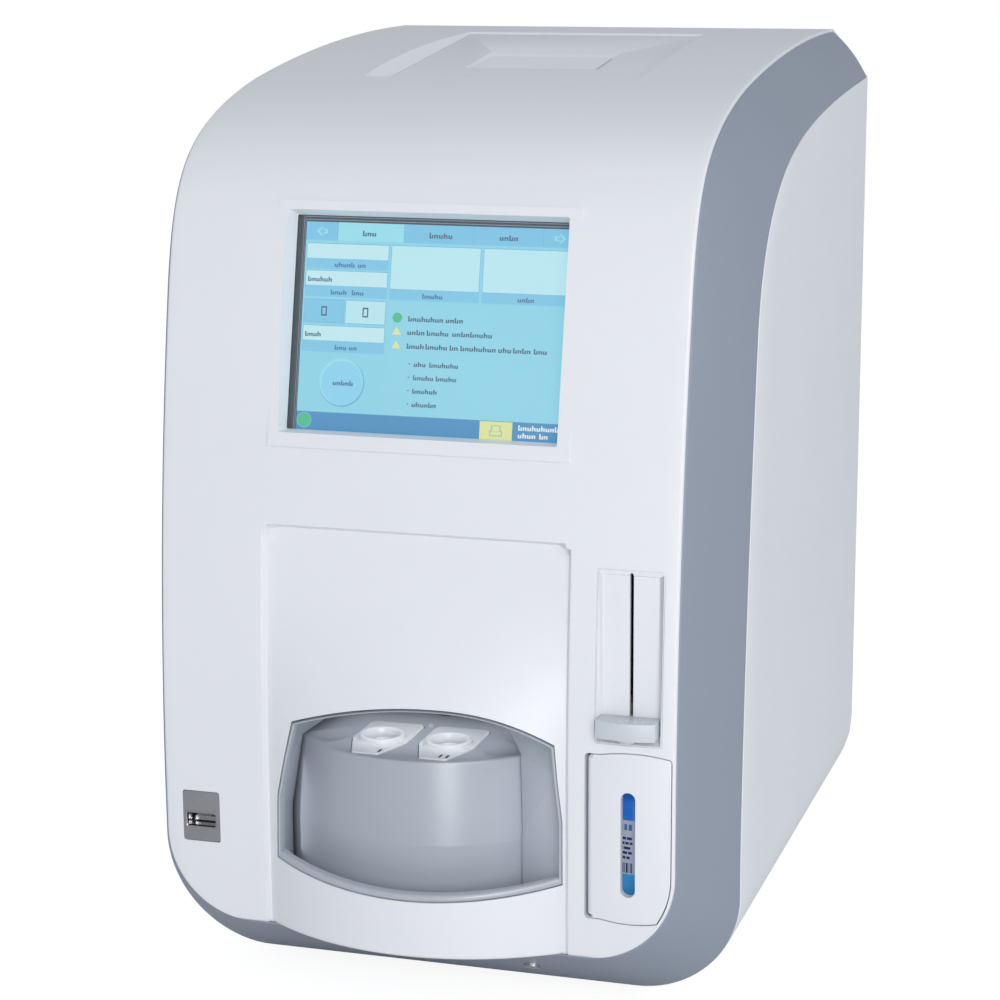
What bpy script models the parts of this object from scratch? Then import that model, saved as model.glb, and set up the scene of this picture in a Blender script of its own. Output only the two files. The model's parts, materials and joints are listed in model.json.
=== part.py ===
"""Bench coagulation analyser: hooded housing, cassette carousel, reagent door and lever, printer."""
import math

import bmesh
import bpy
from mathutils import Matrix, Vector

# Body, in metres: X right, Y back, Z up from the floor
BODY_WIDTH = 0.2612
BODY_HEIGHT = 0.4035
FACE_DEPTH = 0.320
APRON_REACH = 0.020
FOOT_HEIGHT = 0.004
FASCIA_BOTTOM = 0.034
BAND_INSET = 0.0178
HOOD_WALL = 0.0035
PANEL_WALL = 0.0026
BAND_WALL = 0.003
REAR_WALL = 0.003
SEAM = 0.0004
SEAT = 0.0003
WELD = 0.000002
OVERRUN = 0.010
FASCIA_CORNER = 0.038
BODY_CORNER = 0.045
BAND_SETBACK = 0.0465
BAND_BULGE = 0.0016
HOOD_PROUD = 0.0010

# Centre column and apron
COLUMN_WIDTH = 0.134
SCREEN_TO_COLUMN = 0.0815
COLUMN_CORNER = 0.006
COLUMN_SINK = 0.003
COLUMN_FLANGE = 0.003
APRON_RADIUS = 0.116
APRON_FULL_TOP = 0.060
APRON_FADE_DROP = 0.007
APRON_FLOOR = 0.0025

# Screen
GLASS_WIDTH = 0.1225
GLASS_HEIGHT = 0.0945
GLASS_THICKNESS = 0.0012
DISPLAY_WIDTH = 0.1240
DISPLAY_HEIGHT = 0.0960
DISPLAY_DEPTH = 0.007
SCREEN_TILT = math.radians(12)
SCREEN_SINK = 0.0097
SCREEN_DROP = 0.113
SCREEN_MOUTH_WIDTH = 0.1185
SCREEN_MOUTH_HEIGHT = 0.0900
SCREEN_FLARE = 0.0016
SCREEN_COLLAR = 0.005
SCREEN_COLLAR_DEPTH = 0.0058
BRACKET_WALL = 0.0015

# Carousel
CAROUSEL_X = -0.0084
CAROUSEL_DEPTH = 0.0725
DRUM_TOP = 0.112
DRUM_BOTTOM = 0.049
DRUM_BREAK = 0.076
DRUM_RADIUS = 0.073
DRUM_TOP_RADIUS = 0.070
DRUM_EDGE = 0.001
DRUM_WALL = 0.003
DRUM_PLATE = 0.008
HUB_RADIUS = 0.013
HUB_BOTTOM = 0.060
SHAFT_RADIUS = 0.005
SHAFT_BOTTOM = 0.0125
RUNNING_GAP = 0.0012
DENT_RADIUS = 0.008
DENT_SINK = 0.0008
DENT_OFFSET = 0.036
DENT_REACH = 0.047

# Opening of the carousel, about its own centre line
OPENING_X = 0.002
OPENING_BOTTOM_CORNER = 0.065
OPENING_BOTTOM_CENTRE = 0.0575
OPENING_SIDE_TOP = 0.0955
OPENING_TOP_CORNER = 0.126
OPENING_TOP_CENTRE = 0.1355
OPENING_HALF_WIDTH = 0.0632
OPENING_TOP_HALF_WIDTH = 0.0585
BEZEL_WALL = 0.002
BEZEL_SINK = 0.0002
BEZEL_EDGE = 0.0007
OPENING_STEPS_ABOVE = 8
OPENING_STEPS_BELOW = 12
WELL_LEFT_X = -0.057
WELL_RIGHT_X = 0.0404
WELL_FLOOR = 0.055
WELL_FACET_LOW = 0.080
WELL_FACET_HIGH = 0.1155
WELL_CEILING = 0.1300
WELL_CEILING_CORNER = 0.1205
WELL_BACK_DEPTH = 0.076
WELL_TAPER = 0.009

# Cassettes
CASSETTE_WIDTH = 0.0245
CASSETTE_LENGTH = 0.048
CASSETTE_HEIGHT = 0.0058
CASSETTE_PROUD = 0.0006
CASSETTE_PITCH = 0.0296
CASSETTE_FRONT_REACH = 0.0665
CUP_RADIUS = 0.0087
CUP_BORE = 0.0066
CUP_RIM = 0.0014
CUP_FLOOR = 0.0010
CUP_OFFSET = 0.0235
MARK_WIDTH = 0.0008
MARK_LENGTH = 0.0032
MARK_SINK = 0.0010
MARK_OFFSET_X = 0.0048
MARK_OFFSET_Y = 0.0050
MARK_PITCH = 0.0030

# Carousel drive
GEAR_MODULE = 0.00125
GEAR_TEETH = 48
PINION_TEETH = 12
GEAR_BOTTOM = 0.040
GEAR_WIDTH = 0.006
GEAR_HUB = 0.009
MESH_GAP = 0.0004
TOOTH_TIP_SHARE = 0.85
TOOTH_ROOT_SHARE = 1.15
TOOTH_BASE_HALF_SHARE = 0.30
TOOTH_TOP_HALF_SHARE = 0.13
BEARING_FLANGE = 0.016
BEARING_FLANGE_THICKNESS = 0.004
BEARING_BOSS = 0.011
MOTOR_SIDE = 0.040
MOTOR_SHAFT = 0.0025
PINION_LIFT = 0.002
INCUBATOR_WIDTH = 0.100
INCUBATOR_DEPTH = 0.022
INCUBATOR_HEIGHT = 0.095
INCUBATOR_NEAR_SHARE = 0.9

# Reagent door, bay and bottle
DOOR_MARGIN = 0.0018
DOOR_WIDTH = 0.036
DOOR_BOTTOM = 0.0523
DOOR_TOP = 0.1229
DOOR_ARCH = 0.0013
DOOR_BOW = 0.0013
DOOR_CORNER = 0.0012
DOOR_GAP = 0.0005
DOOR_BARREL = 0.0026
BARREL_TRIM = 0.0004
DOOR_PIN = 0.0010
PIN_CLEARANCE = 0.0003
PIN_OVERLAP = 0.003
SLOT_WIDTH = 0.0062
SLOT_RISE = 0.0102
SLOT_DROP = 0.0151
BAY_WALL = 0.0015
BAY_DEPTH = 0.042
BOTTLE_SHIFT = 0.001
BOTTLE_DEPTH = 0.0245
BOTTLE_RADIUS = 0.0135
BOTTLE_WALL = 0.0012
BOTTLE_BODY = 0.046
BOTTLE_SHOULDER = 0.006
BOTTLE_NECK = 0.0075
BOTTLE_NECK_HEIGHT = 0.005
CAP_RADIUS = 0.0095
CAP_HEIGHT = 0.0075
CAP_WALL = 0.0013

# Lever
TRACK_SHIFT = 0.0003
TRACK_WIDTH = 0.0286
TRACK_RISE = 0.0035
TRACK_LENGTH = 0.0726
TRACK_SINK_TOP = 0.0006
TRACK_SINK_BOTTOM = 0.0050
TRACK_RIM = 0.0010
TRACK_BACK = 0.0025
SLIT_WIDTH = 0.0018
SLIT_RISE = 0.0058
SLIT_DROP = 0.0013
BLADE_WIDTH = 0.0010
BLADE_HEIGHT = 0.005
KNOB_CLEARANCE = 0.0018
KNOB_HEIGHT = 0.0074
KNOB_RISE = 0.0039
KNOB_HEADROOM = 0.0043
KNOB_BACK_DEPTH = 0.0050
KNOB_DEPTH = 0.0112
KNOB_CROWN = 0.0025
KNOB_BEVEL = 0.0012
KNOB_TAB_RADIUS = 0.0042
KNOB_TAB_THICKNESS = 0.0018
CARRIAGE_WIDTH = 0.018
CARRIAGE_DEPTH = 0.012
CARRIAGE_HEIGHT = 0.010
CARRIAGE_FRONT_DEPTH = 0.0165
GUIDE_RADIUS = 0.0020
GUIDE_SHIFT = 0.0065
TUBE_RADIUS = 0.0009
TUBE_WALL = 0.0003
TUBE_RISE = 0.0040
GUIDE_SHELF = 0.003
GUIDE_BOSS = 0.005

# Printer in the roof
LID_FRONT_DEPTH = 0.1300
LID_LENGTH = 0.1370
LID_WIDTH = 0.1170
LID_THICKNESS = 0.0032
LID_TILT = math.radians(7.3)
LID_REAR_SINK = 0.0008
LID_GAP = 0.0005
LID_FLARE = 0.011
LID_HINGE = 0.0016
LID_PIN = 0.0008
LID_LEDGE = 0.010
LID_COLLAR = 0.009
COLLAR_MARGIN = 0.006
SCOOP_WIDTH = 0.061
SCOOP_LENGTH = 0.040
SCOOP_FRONT = 0.044
SCOOP_SINK = 0.0018
SCOOP_SLIT = 0.0022
PAPER_WIDTH = 0.0575
PAPER_THICKNESS = 0.0003
PAPER_LENGTH = 0.036
PAPER_LEG = 0.004
ROLL_RADIUS = 0.0200
ROLL_CORE = 0.0060
ROLL_OFFSET = 0.058
BUCKET_WIDTH = 0.072
BUCKET_LENGTH = 0.100
BUCKET_DROP = 0.044
BUCKET_WALL = 0.002
BUCKET_FRONT = 0.014
PLATEN_RADIUS = 0.0050
PLATEN_SHAFT = 0.0015
PLATEN_OFFSET = 0.091
PLATEN_LUG = 0.0025
PLATEN_LUG_HEIGHT = 0.013
HEAD_HEIGHT = 0.006
HEAD_LENGTH = 0.010

# USB port
USB_INSET = 0.008
USB_WIDTH = 0.0165
USB_BOTTOM = 0.0685
USB_TOP = 0.0906
USB_PLATE_THICKNESS = 0.0014
USB_SINK = 0.0003
USB_CORNER = 0.0012
PORT_INSET = 0.016
PORT_Z = 0.0778
PORT_WIDTH = 0.0132
PORT_HEIGHT = 0.0058
PORT_WALL = 0.0005
PORT_DEPTH = 0.014
TONGUE_WIDTH = 0.0110
TONGUE_HEIGHT = 0.0019
TONGUE_SINK = 0.0046

# Base, frame and inner blocks
BASE_THICKNESS = 0.0026
FOOT_RADIUS = 0.009
FOOT_TOE_RADIUS = 0.0081
FOOT_SIDE_INSET = 0.0626
FOOT_FRONT_DEPTH = 0.070
FOOT_REAR_INSET = 0.025
SCREW_RADIUS = 0.0035
SCREW_HEAD = 0.0016
SCREW_LENGTH = 0.008
SCREW_DEPTH = 0.020
SCREW_X = 0.0462
SCREW_BOSS = 0.004
FRAME_WALL = 0.002
FRAME_FLOOR_INSET = 0.0456
FRAME_SIDE_INSET = 0.0156
FRAME_BEND_Z = 0.045
FRAME_TOP = 0.250
FRAME_FRONT_DEPTH = 0.052
FRAME_REAR_INSET = 0.015
BOARD_THICKNESS = 0.0016
BOARD_STANDOFF = 0.006
BOARD_STANDOFF_RADIUS = 0.003
BOARD_FRONT_DEPTH = 0.170
BOARD_REAR_INSET = 0.025
BOARD_BOTTOM = 0.075
BOARD_TOP = 0.215
SUPPLY_SIZE = (0.070, 0.100, 0.045)
SUPPLY_X = -0.045
SUPPLY_DEPTH = 0.235
PUMP_RADIUS = 0.022
PUMP_LENGTH = 0.060
PUMP_FOOT = 0.006
PUMP_FOOT_SIDE = 0.0352
PUMP_X = 0.050
PUMP_DEPTH = 0.235

# Rear panel, fan and mains
FAN_SIDE = 0.060
FAN_THICKNESS = 0.015
FAN_BORE = 0.0280
FAN_SLOT_REACH = 0.0252
FAN_SLOT_PITCH = 0.00737
FAN_HUB = 0.011
FAN_INSET = 0.0706
FAN_Z = 0.290
FAN_BLADES = 7
FAN_BLADE_WIDTH = 0.0165
FAN_BLADE_THICKNESS = 0.0012
FAN_BLADE_HEIGHT = 0.009
FAN_BLADE_PITCH = math.radians(38)
FAN_STRUT = 0.003
FAN_STRUT_DEPTH = 0.002
FAN_PLATE_RADIUS = 0.010
SLOT_ROWS = 7
VENT_SLOT_HEIGHT = 0.0036
INLET_INSET = 0.0556
INLET_Z = 0.062
INLET_WIDTH = 0.0270
INLET_HEIGHT = 0.0198
INLET_DEPTH = 0.022
INLET_WALL = 0.0015
INLET_FLANGE = 0.005
INLET_FLANGE_THICKNESS = 0.002
INLET_PIN_WIDTH = 0.002
INLET_PIN_HEIGHT = 0.004
INLET_PIN_PITCH = 0.007
INLET_PIN_SINK = 0.0055
SWITCH_FLANGE = 0.0025
SWITCH_Z = 0.098
SWITCH_WIDTH = 0.0220
SWITCH_HEIGHT = 0.0150
SWITCH_WALL = 0.0015
SWITCH_DEPTH = 0.014
ROCKER_GAP = 0.0011
ROCKER_THICKNESS = 0.0060
ROCKER_TILT = math.radians(8)
VENT_INSET = 0.0356
VENT_WIDTH = 0.080
VENT_BOTTOM = 0.270
VENT_PITCH = 0.009
VENT_ROWS = 6

# Outlines as shares of the size they follow
HOOD_PATH_SHARES = (
    ((1.0, 1.0), (0.7813, 1.0), (0.5469, 0.9827), (0.3688, 0.9579)),
    ((0.3688, 0.9579), (0.1359, 0.9209), (0.0916, 0.8751), (0.0644, 0.7633)),
    ((0.0644, 0.7633), (0.0216, 0.5866), (0.0, 0.4097), (0.0, 0.2330)),
)
SIDE_PATH_SHARES = (
    ((1.0, 0.9430), (0.7969, 0.9331), (0.5844, 0.9207), (0.4500, 0.8922)),
    ((0.4500, 0.8922), (0.3109, 0.8637), (0.2250, 0.8069), (0.2063, 0.7088)),
    ((0.2063, 0.7088), (0.1844, 0.5898), (0.1516, 0.3717), (0.1453, 0.1636)),
)
PATH_STEPS = (5, 8, 7)
CASSETTE_OUTLINE_SHARES = (
    (-0.27, 0.0), (0.27, 0.0), (0.5, 0.40), (0.5, 0.86),
    (0.25, 1.0), (-0.25, 1.0), (-0.5, 0.86), (-0.5, 0.40),
)

FASCIA_Y = -(FACE_DEPTH + APRON_REACH) / 2 + APRON_REACH
REAR_Y = FASCIA_Y + FACE_DEPTH
SHELL_REAR_Y = REAR_Y - REAR_WALL - SEAM
SHELL_DEPTH = SHELL_REAR_Y - FASCIA_Y
HALF_BODY = BODY_WIDTH / 2
HALF_HOOD = HALF_BODY - BAND_INSET
BASE_FLOOR = FOOT_HEIGHT + BASE_THICKNESS
FRAME_FLOOR_TOP = BASE_FLOOR + SEAT + FRAME_WALL
FRAME_HALF = HALF_BODY - FRAME_SIDE_INSET
FRAME_FLOOR_HALF = HALF_BODY - FRAME_FLOOR_INSET
FOOT_X = HALF_BODY - FOOT_SIDE_INSET
FAN_X = HALF_BODY - FAN_INSET
INLET_X = INLET_INSET - HALF_BODY
VENT_LEFT = VENT_INSET - HALF_BODY
VENT_RIGHT = VENT_LEFT + VENT_WIDTH
USB_LEFT = USB_INSET - HALF_HOOD
USB_RIGHT = USB_LEFT + USB_WIDTH
PORT_X = PORT_INSET - HALF_HOOD
FOOT_REAR_DEPTH = FACE_DEPTH - FOOT_REAR_INSET
FRAME_REAR_DEPTH = FACE_DEPTH - FRAME_REAR_INSET
BOARD_REAR_DEPTH = FACE_DEPTH - BOARD_REAR_INSET
SCREEN_CENTRE_Z = BODY_HEIGHT - SCREEN_DROP
COLUMN_TOP = SCREEN_CENTRE_Z - SCREEN_TO_COLUMN
APRON_FADE_TOP = COLUMN_TOP - APRON_FADE_DROP
DOOR_RIGHT = HALF_HOOD - DOOR_MARGIN
DOOR_LEFT = DOOR_RIGHT - DOOR_WIDTH
SLOT_X = DOOR_RIGHT - DOOR_WIDTH / 2
SLOT_BOTTOM = DOOR_BOTTOM + SLOT_RISE
SLOT_TOP = DOOR_TOP - SLOT_DROP
BOTTLE_X = SLOT_X - BOTTLE_SHIFT
GUIDE_X = BOTTLE_X + GUIDE_SHIFT
BOTTLE_FLOOR = DOOR_BOTTOM - DOOR_GAP + SEAM + SEAT
TUBE_LOW = BOTTLE_FLOOR + TUBE_RISE
TRACK_X = SLOT_X - TRACK_SHIFT
TRACK_LEFT = TRACK_X - TRACK_WIDTH / 2
TRACK_RIGHT = TRACK_X + TRACK_WIDTH / 2
TRACK_BOTTOM = DOOR_TOP + DOOR_ARCH + TRACK_RISE
TRACK_TOP = TRACK_BOTTOM + TRACK_LENGTH
SLIT_BOTTOM = TRACK_BOTTOM + SLIT_RISE
SLIT_TOP = TRACK_TOP - SLIT_DROP
KNOB_WIDTH = TRACK_WIDTH - 2 * KNOB_CLEARANCE
KNOB_BOTTOM = TRACK_BOTTOM + KNOB_RISE
LEVER_TRAVEL = TRACK_LENGTH - KNOB_RISE - KNOB_HEIGHT - KNOB_HEADROOM


def depth(distance):
    """World Y of a place that lies this far behind the lower fascia."""
    return FASCIA_Y + distance


# Finishes
def finish(name, colour, roughness, metallic=0.0):
    material = bpy.data.materials.new(name)
    material.use_nodes = True
    shader = material.node_tree.nodes["Principled BSDF"]
    shader.inputs["Base Color"].default_value = (*colour, 1.0)
    shader.inputs["Roughness"].default_value = roughness
    shader.inputs["Metallic"].default_value = metallic
    return material


def make_finishes():
    return {
        "white": finish("white_moulding", (0.76, 0.78, 0.83), 0.42),
        "panel": finish("side_moulding", (0.60, 0.62, 0.68), 0.45),
        "grey": finish("grey_moulding", (0.25, 0.30, 0.37), 0.45),
        "drum": finish("drum_grey", (0.38, 0.42, 0.48), 0.35),
        "knob": finish("knob_grey", (0.58, 0.64, 0.68), 0.4),
        "cassette": finish("cassette_white", (0.84, 0.85, 0.87), 0.4),
        "glass": finish("screen_glass", (0.38, 0.73, 0.85), 0.1),
        "display": finish("display_metal", (0.35, 0.40, 0.45), 0.4, 0.6),
        "steel": finish("bright_steel", (0.62, 0.62, 0.63), 0.3, 1.0),
        "sheet": finish("plated_sheet", (0.50, 0.52, 0.53), 0.45, 0.9),
        "aluminium": finish("milled_aluminium", (0.70, 0.71, 0.72), 0.4, 1.0),
        "black": finish("black_moulding", (0.02, 0.02, 0.022), 0.5),
        "rubber": finish("foot_rubber", (0.03, 0.03, 0.03), 0.85),
        "blue": finish("reagent_blue", (0.05, 0.22, 0.65), 0.2),
        "paper": finish("thermal_paper", (0.88, 0.88, 0.86), 0.8),
        "board": finish("board_green", (0.02, 0.16, 0.07), 0.5),
        "nylon": finish("natural_nylon", (0.75, 0.72, 0.62), 0.5),
    }


# Scene and modelling helpers
def clear_scene():
    for item in list(bpy.data.objects):
        bpy.data.objects.remove(item)


def make_collection(name):
    group = bpy.data.collections.new(name)
    bpy.context.scene.collection.children.link(group)
    return group


def add_object(name, mesh, material=None):
    """A new object in the parts, or in the cutters where it has no material."""
    item = bpy.data.objects.new(name, mesh)
    if material is None:
        CUTTERS.objects.link(item)
        item.hide_render = True
        item.display_type = "WIRE"
    else:
        PARTS.objects.link(item)
        mesh.materials.append(material)
    return item


def put(item, location=(0, 0, 0), rotation=(0, 0, 0)):
    item.location = location
    item.rotation_euler = rotation
    return item


def block(name, low, high, material=None):
    """A box between two corners."""
    form = bmesh.new()
    bmesh.ops.create_cube(form, size=1)
    size = [top - bottom for bottom, top in zip(low, high)]
    centre = [(top + bottom) / 2 for bottom, top in zip(low, high)]
    bmesh.ops.scale(form, vec=size, verts=form.verts)
    bmesh.ops.translate(form, vec=centre, verts=form.verts)
    mesh = bpy.data.meshes.new(name)
    form.to_mesh(mesh)
    form.free()
    return add_object(name, mesh, material)


def tapered_block(name, low_half, high_half, low_z, high_z, material=None):
    """A box about the Z axis whose top has another size than its bottom."""
    form = bmesh.new()
    bmesh.ops.create_cube(form, size=1)
    for vertex in form.verts:
        half, level = (high_half, high_z) if vertex.co.z > 0 else (low_half, low_z)
        across = math.copysign(half[0], vertex.co.x)
        vertex.co = Vector((across, math.copysign(half[1], vertex.co.y), level))
    mesh = bpy.data.meshes.new(name)
    form.to_mesh(mesh)
    form.free()
    return add_object(name, mesh, material)


PLANE_TURNS = {
    "XY": (0, 0, 0),
    "XZ": (math.pi / 2, 0, 0),
    "YZ": (math.pi / 2, 0, math.pi / 2),
}


def mesh_of(item):
    """The closed mesh of a curve object, in world space, with its caps welded."""
    bpy.context.view_layer.update()
    graph = bpy.context.evaluated_depsgraph_get()
    mesh = bpy.data.meshes.new_from_object(item.evaluated_get(graph))
    mesh.transform(item.matrix_world)
    form = bmesh.new()
    form.from_mesh(mesh)
    bmesh.ops.remove_doubles(form, verts=form.verts, dist=WELD)
    form.to_mesh(mesh)
    form.free()
    return mesh


def plate(name, loops, low, high, plane="XY", material=None):
    """A flat outline, with any holes, drawn in a world plane and extruded across it."""
    curve = bpy.data.curves.new(name, "CURVE")
    curve.dimensions = "2D"
    curve.fill_mode = "BOTH"
    curve.extrude = (high - low) / 2
    for loop in loops:
        spline = curve.splines.new("POLY")
        spline.points.add(len(loop) - 1)
        for point, place in zip(spline.points, loop):
            point.co = (*place, 0, 1)
        spline.use_cyclic_u = True
    guide = bpy.data.objects.new(name + "_outline", curve)
    CUTTERS.objects.link(guide)
    middle = (low + high) / 2
    across = {"XY": (0, 0, middle), "XZ": (0, middle, 0), "YZ": (middle, 0, 0)}[plane]
    put(guide, across, PLANE_TURNS[plane])
    mesh = mesh_of(guide)
    bpy.data.objects.remove(guide)
    return add_object(name, mesh, material)


def turned(name, profile, material=None, steps=32, closed=False):
    """A profile of (radius, height) points, run down its outer side, turned about Z."""
    mesh = bpy.data.meshes.new(name)
    points = [(radius, 0, height) for radius, height in profile]
    edges = [(index, index + 1) for index in range(len(points) - 1)]
    if closed:
        edges.append((len(points) - 1, 0))
    mesh.from_pydata(points, edges, [])
    item = add_object(name, mesh, material)
    screw = item.modifiers.new("turn", "SCREW")
    screw.steps = steps
    screw.render_steps = steps
    screw.use_merge_vertices = True
    screw.merge_threshold = WELD
    screw.use_smooth_shade = True
    return item


def rod(name, radius, low, high, material=None, steps=20):
    return turned(name, [(0, high), (radius, high), (radius, low), (0, low)], material, steps)


def ring(name, radius, bore, low, high, material=None, steps=32):
    profile = [(radius, high), (radius, low), (bore, low), (bore, high)]
    return turned(name, profile, material, steps, closed=True)


def combine(target, tool, operation):
    step = target.modifiers.new(tool.name, "BOOLEAN")
    step.operation = operation
    step.solver = "EXACT"
    step.object = tool
    return target


def cut(target, *tools):
    for tool in tools:
        combine(target, tool, "DIFFERENCE")
    return target


def join(target, *tools):
    for tool in tools:
        combine(target, tool, "UNION")
    return target


def round_edges(item, width, segments=2, angle=math.radians(40)):
    bevel = item.modifiers.new("edges", "BEVEL")
    bevel.width = width
    bevel.segments = segments
    bevel.limit_method = "ANGLE"
    bevel.angle_limit = angle
    return item


def pivot(name, location):
    """An empty on a joint's axis, which carries the pieces that turn or slide about it."""
    empty = bpy.data.objects.new(name, None)
    PARTS.objects.link(empty)
    empty.location = location
    return empty


def carry(empty, *items):
    for item in items:
        item.parent = empty
        item.matrix_parent_inverse = Matrix.Translation(empty.location).inverted()


# Outline helpers
def arc(centre, radius, start, end, steps):
    """Points of an arc, both ends included, angles in radians."""
    points = []
    for index in range(steps + 1):
        angle = start + (end - start) * index / steps
        points.append((centre[0] + radius * math.cos(angle), centre[1] + radius * math.sin(angle)))
    return points


def bezier(control, steps):
    """Points of a cubic curve, without its last point."""
    points = []
    for index in range(steps):
        t = index / steps
        weights = ((1 - t) ** 3, 3 * t * (1 - t) ** 2, 3 * t * t * (1 - t), t ** 3)
        points.append(tuple(sum(w * p[axis] for w, p in zip(weights, control)) for axis in (0, 1)))
    return points


def rounded_rectangle(left, right, bottom, top, radius, steps=4):
    quarter = math.pi / 2
    corners = (
        (right - radius, top - radius), (left + radius, top - radius),
        (left + radius, bottom + radius), (right - radius, bottom + radius),
    )
    points = []
    for turn, centre in enumerate(corners):
        points += arc(centre, radius, turn * quarter, (turn + 1) * quarter, steps)
    return points


def slot_outline(left, right, bottom, height):
    """A slot along X with round ends."""
    radius = height / 2
    points = arc((right - radius, bottom + radius), radius, -math.pi / 2, math.pi / 2, 6)
    return points + arc((left + radius, bottom + radius), radius, math.pi / 2, 3 * math.pi / 2, 6)


def shifted(points, distance):
    """An open path moved sideways, to the left of its direction of travel."""
    moved = []
    for index, point in enumerate(points):
        before = points[max(index - 1, 0)]
        after = points[min(index + 1, len(points) - 1)]
        run = Vector((after[0] - before[0], after[1] - before[1])).normalized()
        moved.append((point[0] - run.y * distance, point[1] + run.x * distance))
    return moved


def path_from(shares):
    """A side path in world (y, z), from the rear of the roof to the foot of the face."""
    points = []
    for control, steps in zip(shares, PATH_STEPS):
        scaled = [(depth(y * SHELL_DEPTH), z * BODY_HEIGHT) for y, z in control]
        points += bezier(scaled, steps)
    last = shares[-1][-1]
    points.append((depth(last[0] * SHELL_DEPTH), last[1] * BODY_HEIGHT))
    return points


def face_y(z):
    """World Y of the hood's outer face at a height."""
    path = path_from(HOOD_PATH_SHARES)
    for above, below in zip(path, path[1:]):
        if below[1] <= z <= above[1]:
            share = (z - below[1]) / (above[1] - below[1])
            return below[0] + share * (above[0] - below[0])
    return FASCIA_Y


def fascia_outline(inset=0.0):
    """The front outline of the hood: square above, rounded at its two lower corners."""
    half = HALF_HOOD - inset
    low = FASCIA_BOTTOM + inset
    radius = FASCIA_CORNER - inset
    top = BODY_HEIGHT + OVERRUN
    right = arc((half - radius, low + radius), radius, 0, -math.pi / 2, 8)
    left = arc((radius - half, low + radius), radius, -math.pi / 2, -math.pi, 8)
    return [(half, top)] + right + left + [(-half, top)]


# Hood
def hood_band(name, material, outer, inner, half_width, centre_x):
    """The wall of the hood between two depths under its outer face, extruded along X."""
    path = path_from(HOOD_PATH_SHARES)
    path = path + [(FASCIA_Y, FASCIA_BOTTOM - OVERRUN)]
    near = shifted(path, outer) if outer else path
    far = shifted(path, inner)
    near[0] = (SHELL_REAR_Y, near[0][1])
    far[0] = (SHELL_REAR_Y, far[0][1])
    loop = near + far[::-1]
    return plate(name, [loop], centre_x - half_width, centre_x + half_width, "YZ", material)


def apron_bulge(x, z):
    """How far the apron stands out of the sunk column at a place on it."""
    edge = COLUMN_WIDTH / 2
    if abs(x) >= edge:
        return 0.0
    chord = math.sqrt(APRON_RADIUS ** 2 - edge ** 2)
    share = (math.sqrt(APRON_RADIUS ** 2 - x ** 2) - chord) / (APRON_RADIUS - chord)
    fade = min(max((z - APRON_FULL_TOP) / (APRON_FADE_TOP - APRON_FULL_TOP), 0.0), 1.0)
    return (COLUMN_SINK + APRON_REACH) * share * (1 - fade * fade * (3 - 2 * fade))


def apron_y(x, z):
    return face_y(z) + COLUMN_SINK - apron_bulge(x, z)


def apron_shell():
    """The sunk column and the apron below it: one curved sheet with a wall."""
    half = COLUMN_WIDTH / 2
    inner = [half * math.sin(math.pi / 2 * index / 9) for index in range(-9, 10)]
    columns = [-half - COLUMN_FLANGE] + inner + [half + COLUMN_FLANGE]
    top = COLUMN_TOP + COLUMN_FLANGE
    bottom = FASCIA_BOTTOM - COLUMN_FLANGE
    rows = [bottom] + [APRON_FULL_TOP + (top - APRON_FULL_TOP) * index / 10 for index in range(11)]
    mesh = bpy.data.meshes.new("apron_shell")
    points = [(x, apron_y(x, z), z) for z in rows for x in columns]
    width = len(columns)
    faces = []
    for row in range(len(rows) - 1):
        for column in range(width - 1):
            first = row * width + column
            faces.append((first, first + 1, first + width + 1, first + width))
    mesh.from_pydata(points, [], faces)
    shell = add_object("apron_shell", mesh)
    wall = shell.modifiers.new("wall", "SOLIDIFY")
    wall.thickness = HOOD_WALL
    wall.offset = -1
    wall.use_even_offset = True
    return shell


def apron_floor():
    """The D-shaped floor that closes the apron from below."""
    half = COLUMN_WIDTH / 2
    inset = HOOD_WALL / 2
    front = []
    for index in range(13):
        x = -half + 2 * half * index / 12
        front.append((x, apron_y(x, FASCIA_BOTTOM) + inset))
    back = depth(COLUMN_SINK + HOOD_WALL)
    outline = front + [(half, back), (-half, back)]
    return plate("apron_floor", [outline], FASCIA_BOTTOM - SEAM, FASCIA_BOTTOM + APRON_FLOOR)


def column_window():
    half = COLUMN_WIDTH / 2
    level = COLUMN_TOP - COLUMN_CORNER
    outline = arc((half - COLUMN_CORNER, level), COLUMN_CORNER, 0, math.pi / 2, 4)
    outline += arc((COLUMN_CORNER - half, level), COLUMN_CORNER, math.pi / 2, math.pi, 4)
    low = FASCIA_BOTTOM - 2 * OVERRUN
    outline += [(-half, low), (half, low)]
    return plate("column_window", [outline], depth(-OVERRUN), depth(2 * OVERRUN), "XZ")


def opening_outline(inset=0.0):
    """The carousel opening, clockwise from its lower left corner, as a list of (x, z)."""
    low = OPENING_BOTTOM_CORNER + inset
    side = OPENING_HALF_WIDTH - inset
    top_side = OPENING_TOP_HALF_WIDTH - inset
    points = [(-side, low), (-side, OPENING_SIDE_TOP), (-side, OPENING_SIDE_TOP + SEAM)]
    rise = OPENING_TOP_CENTRE - OPENING_TOP_CORNER
    drop = OPENING_BOTTOM_CORNER - OPENING_BOTTOM_CENTRE
    for index in range(OPENING_STEPS_ABOVE + 1):
        t = 2 * index / OPENING_STEPS_ABOVE - 1
        points.append((t * top_side, OPENING_TOP_CORNER - inset + rise * (1 - t * t)))
    points += [(side, OPENING_SIDE_TOP + SEAM), (side, OPENING_SIDE_TOP), (side, low)]
    for index in range(1, OPENING_STEPS_BELOW):
        t = 1 - 2 * index / OPENING_STEPS_BELOW
        points.append((t * side, low - drop * (1 - t * t)))
    return [(OPENING_X + x, z) for x, z in points]


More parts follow.
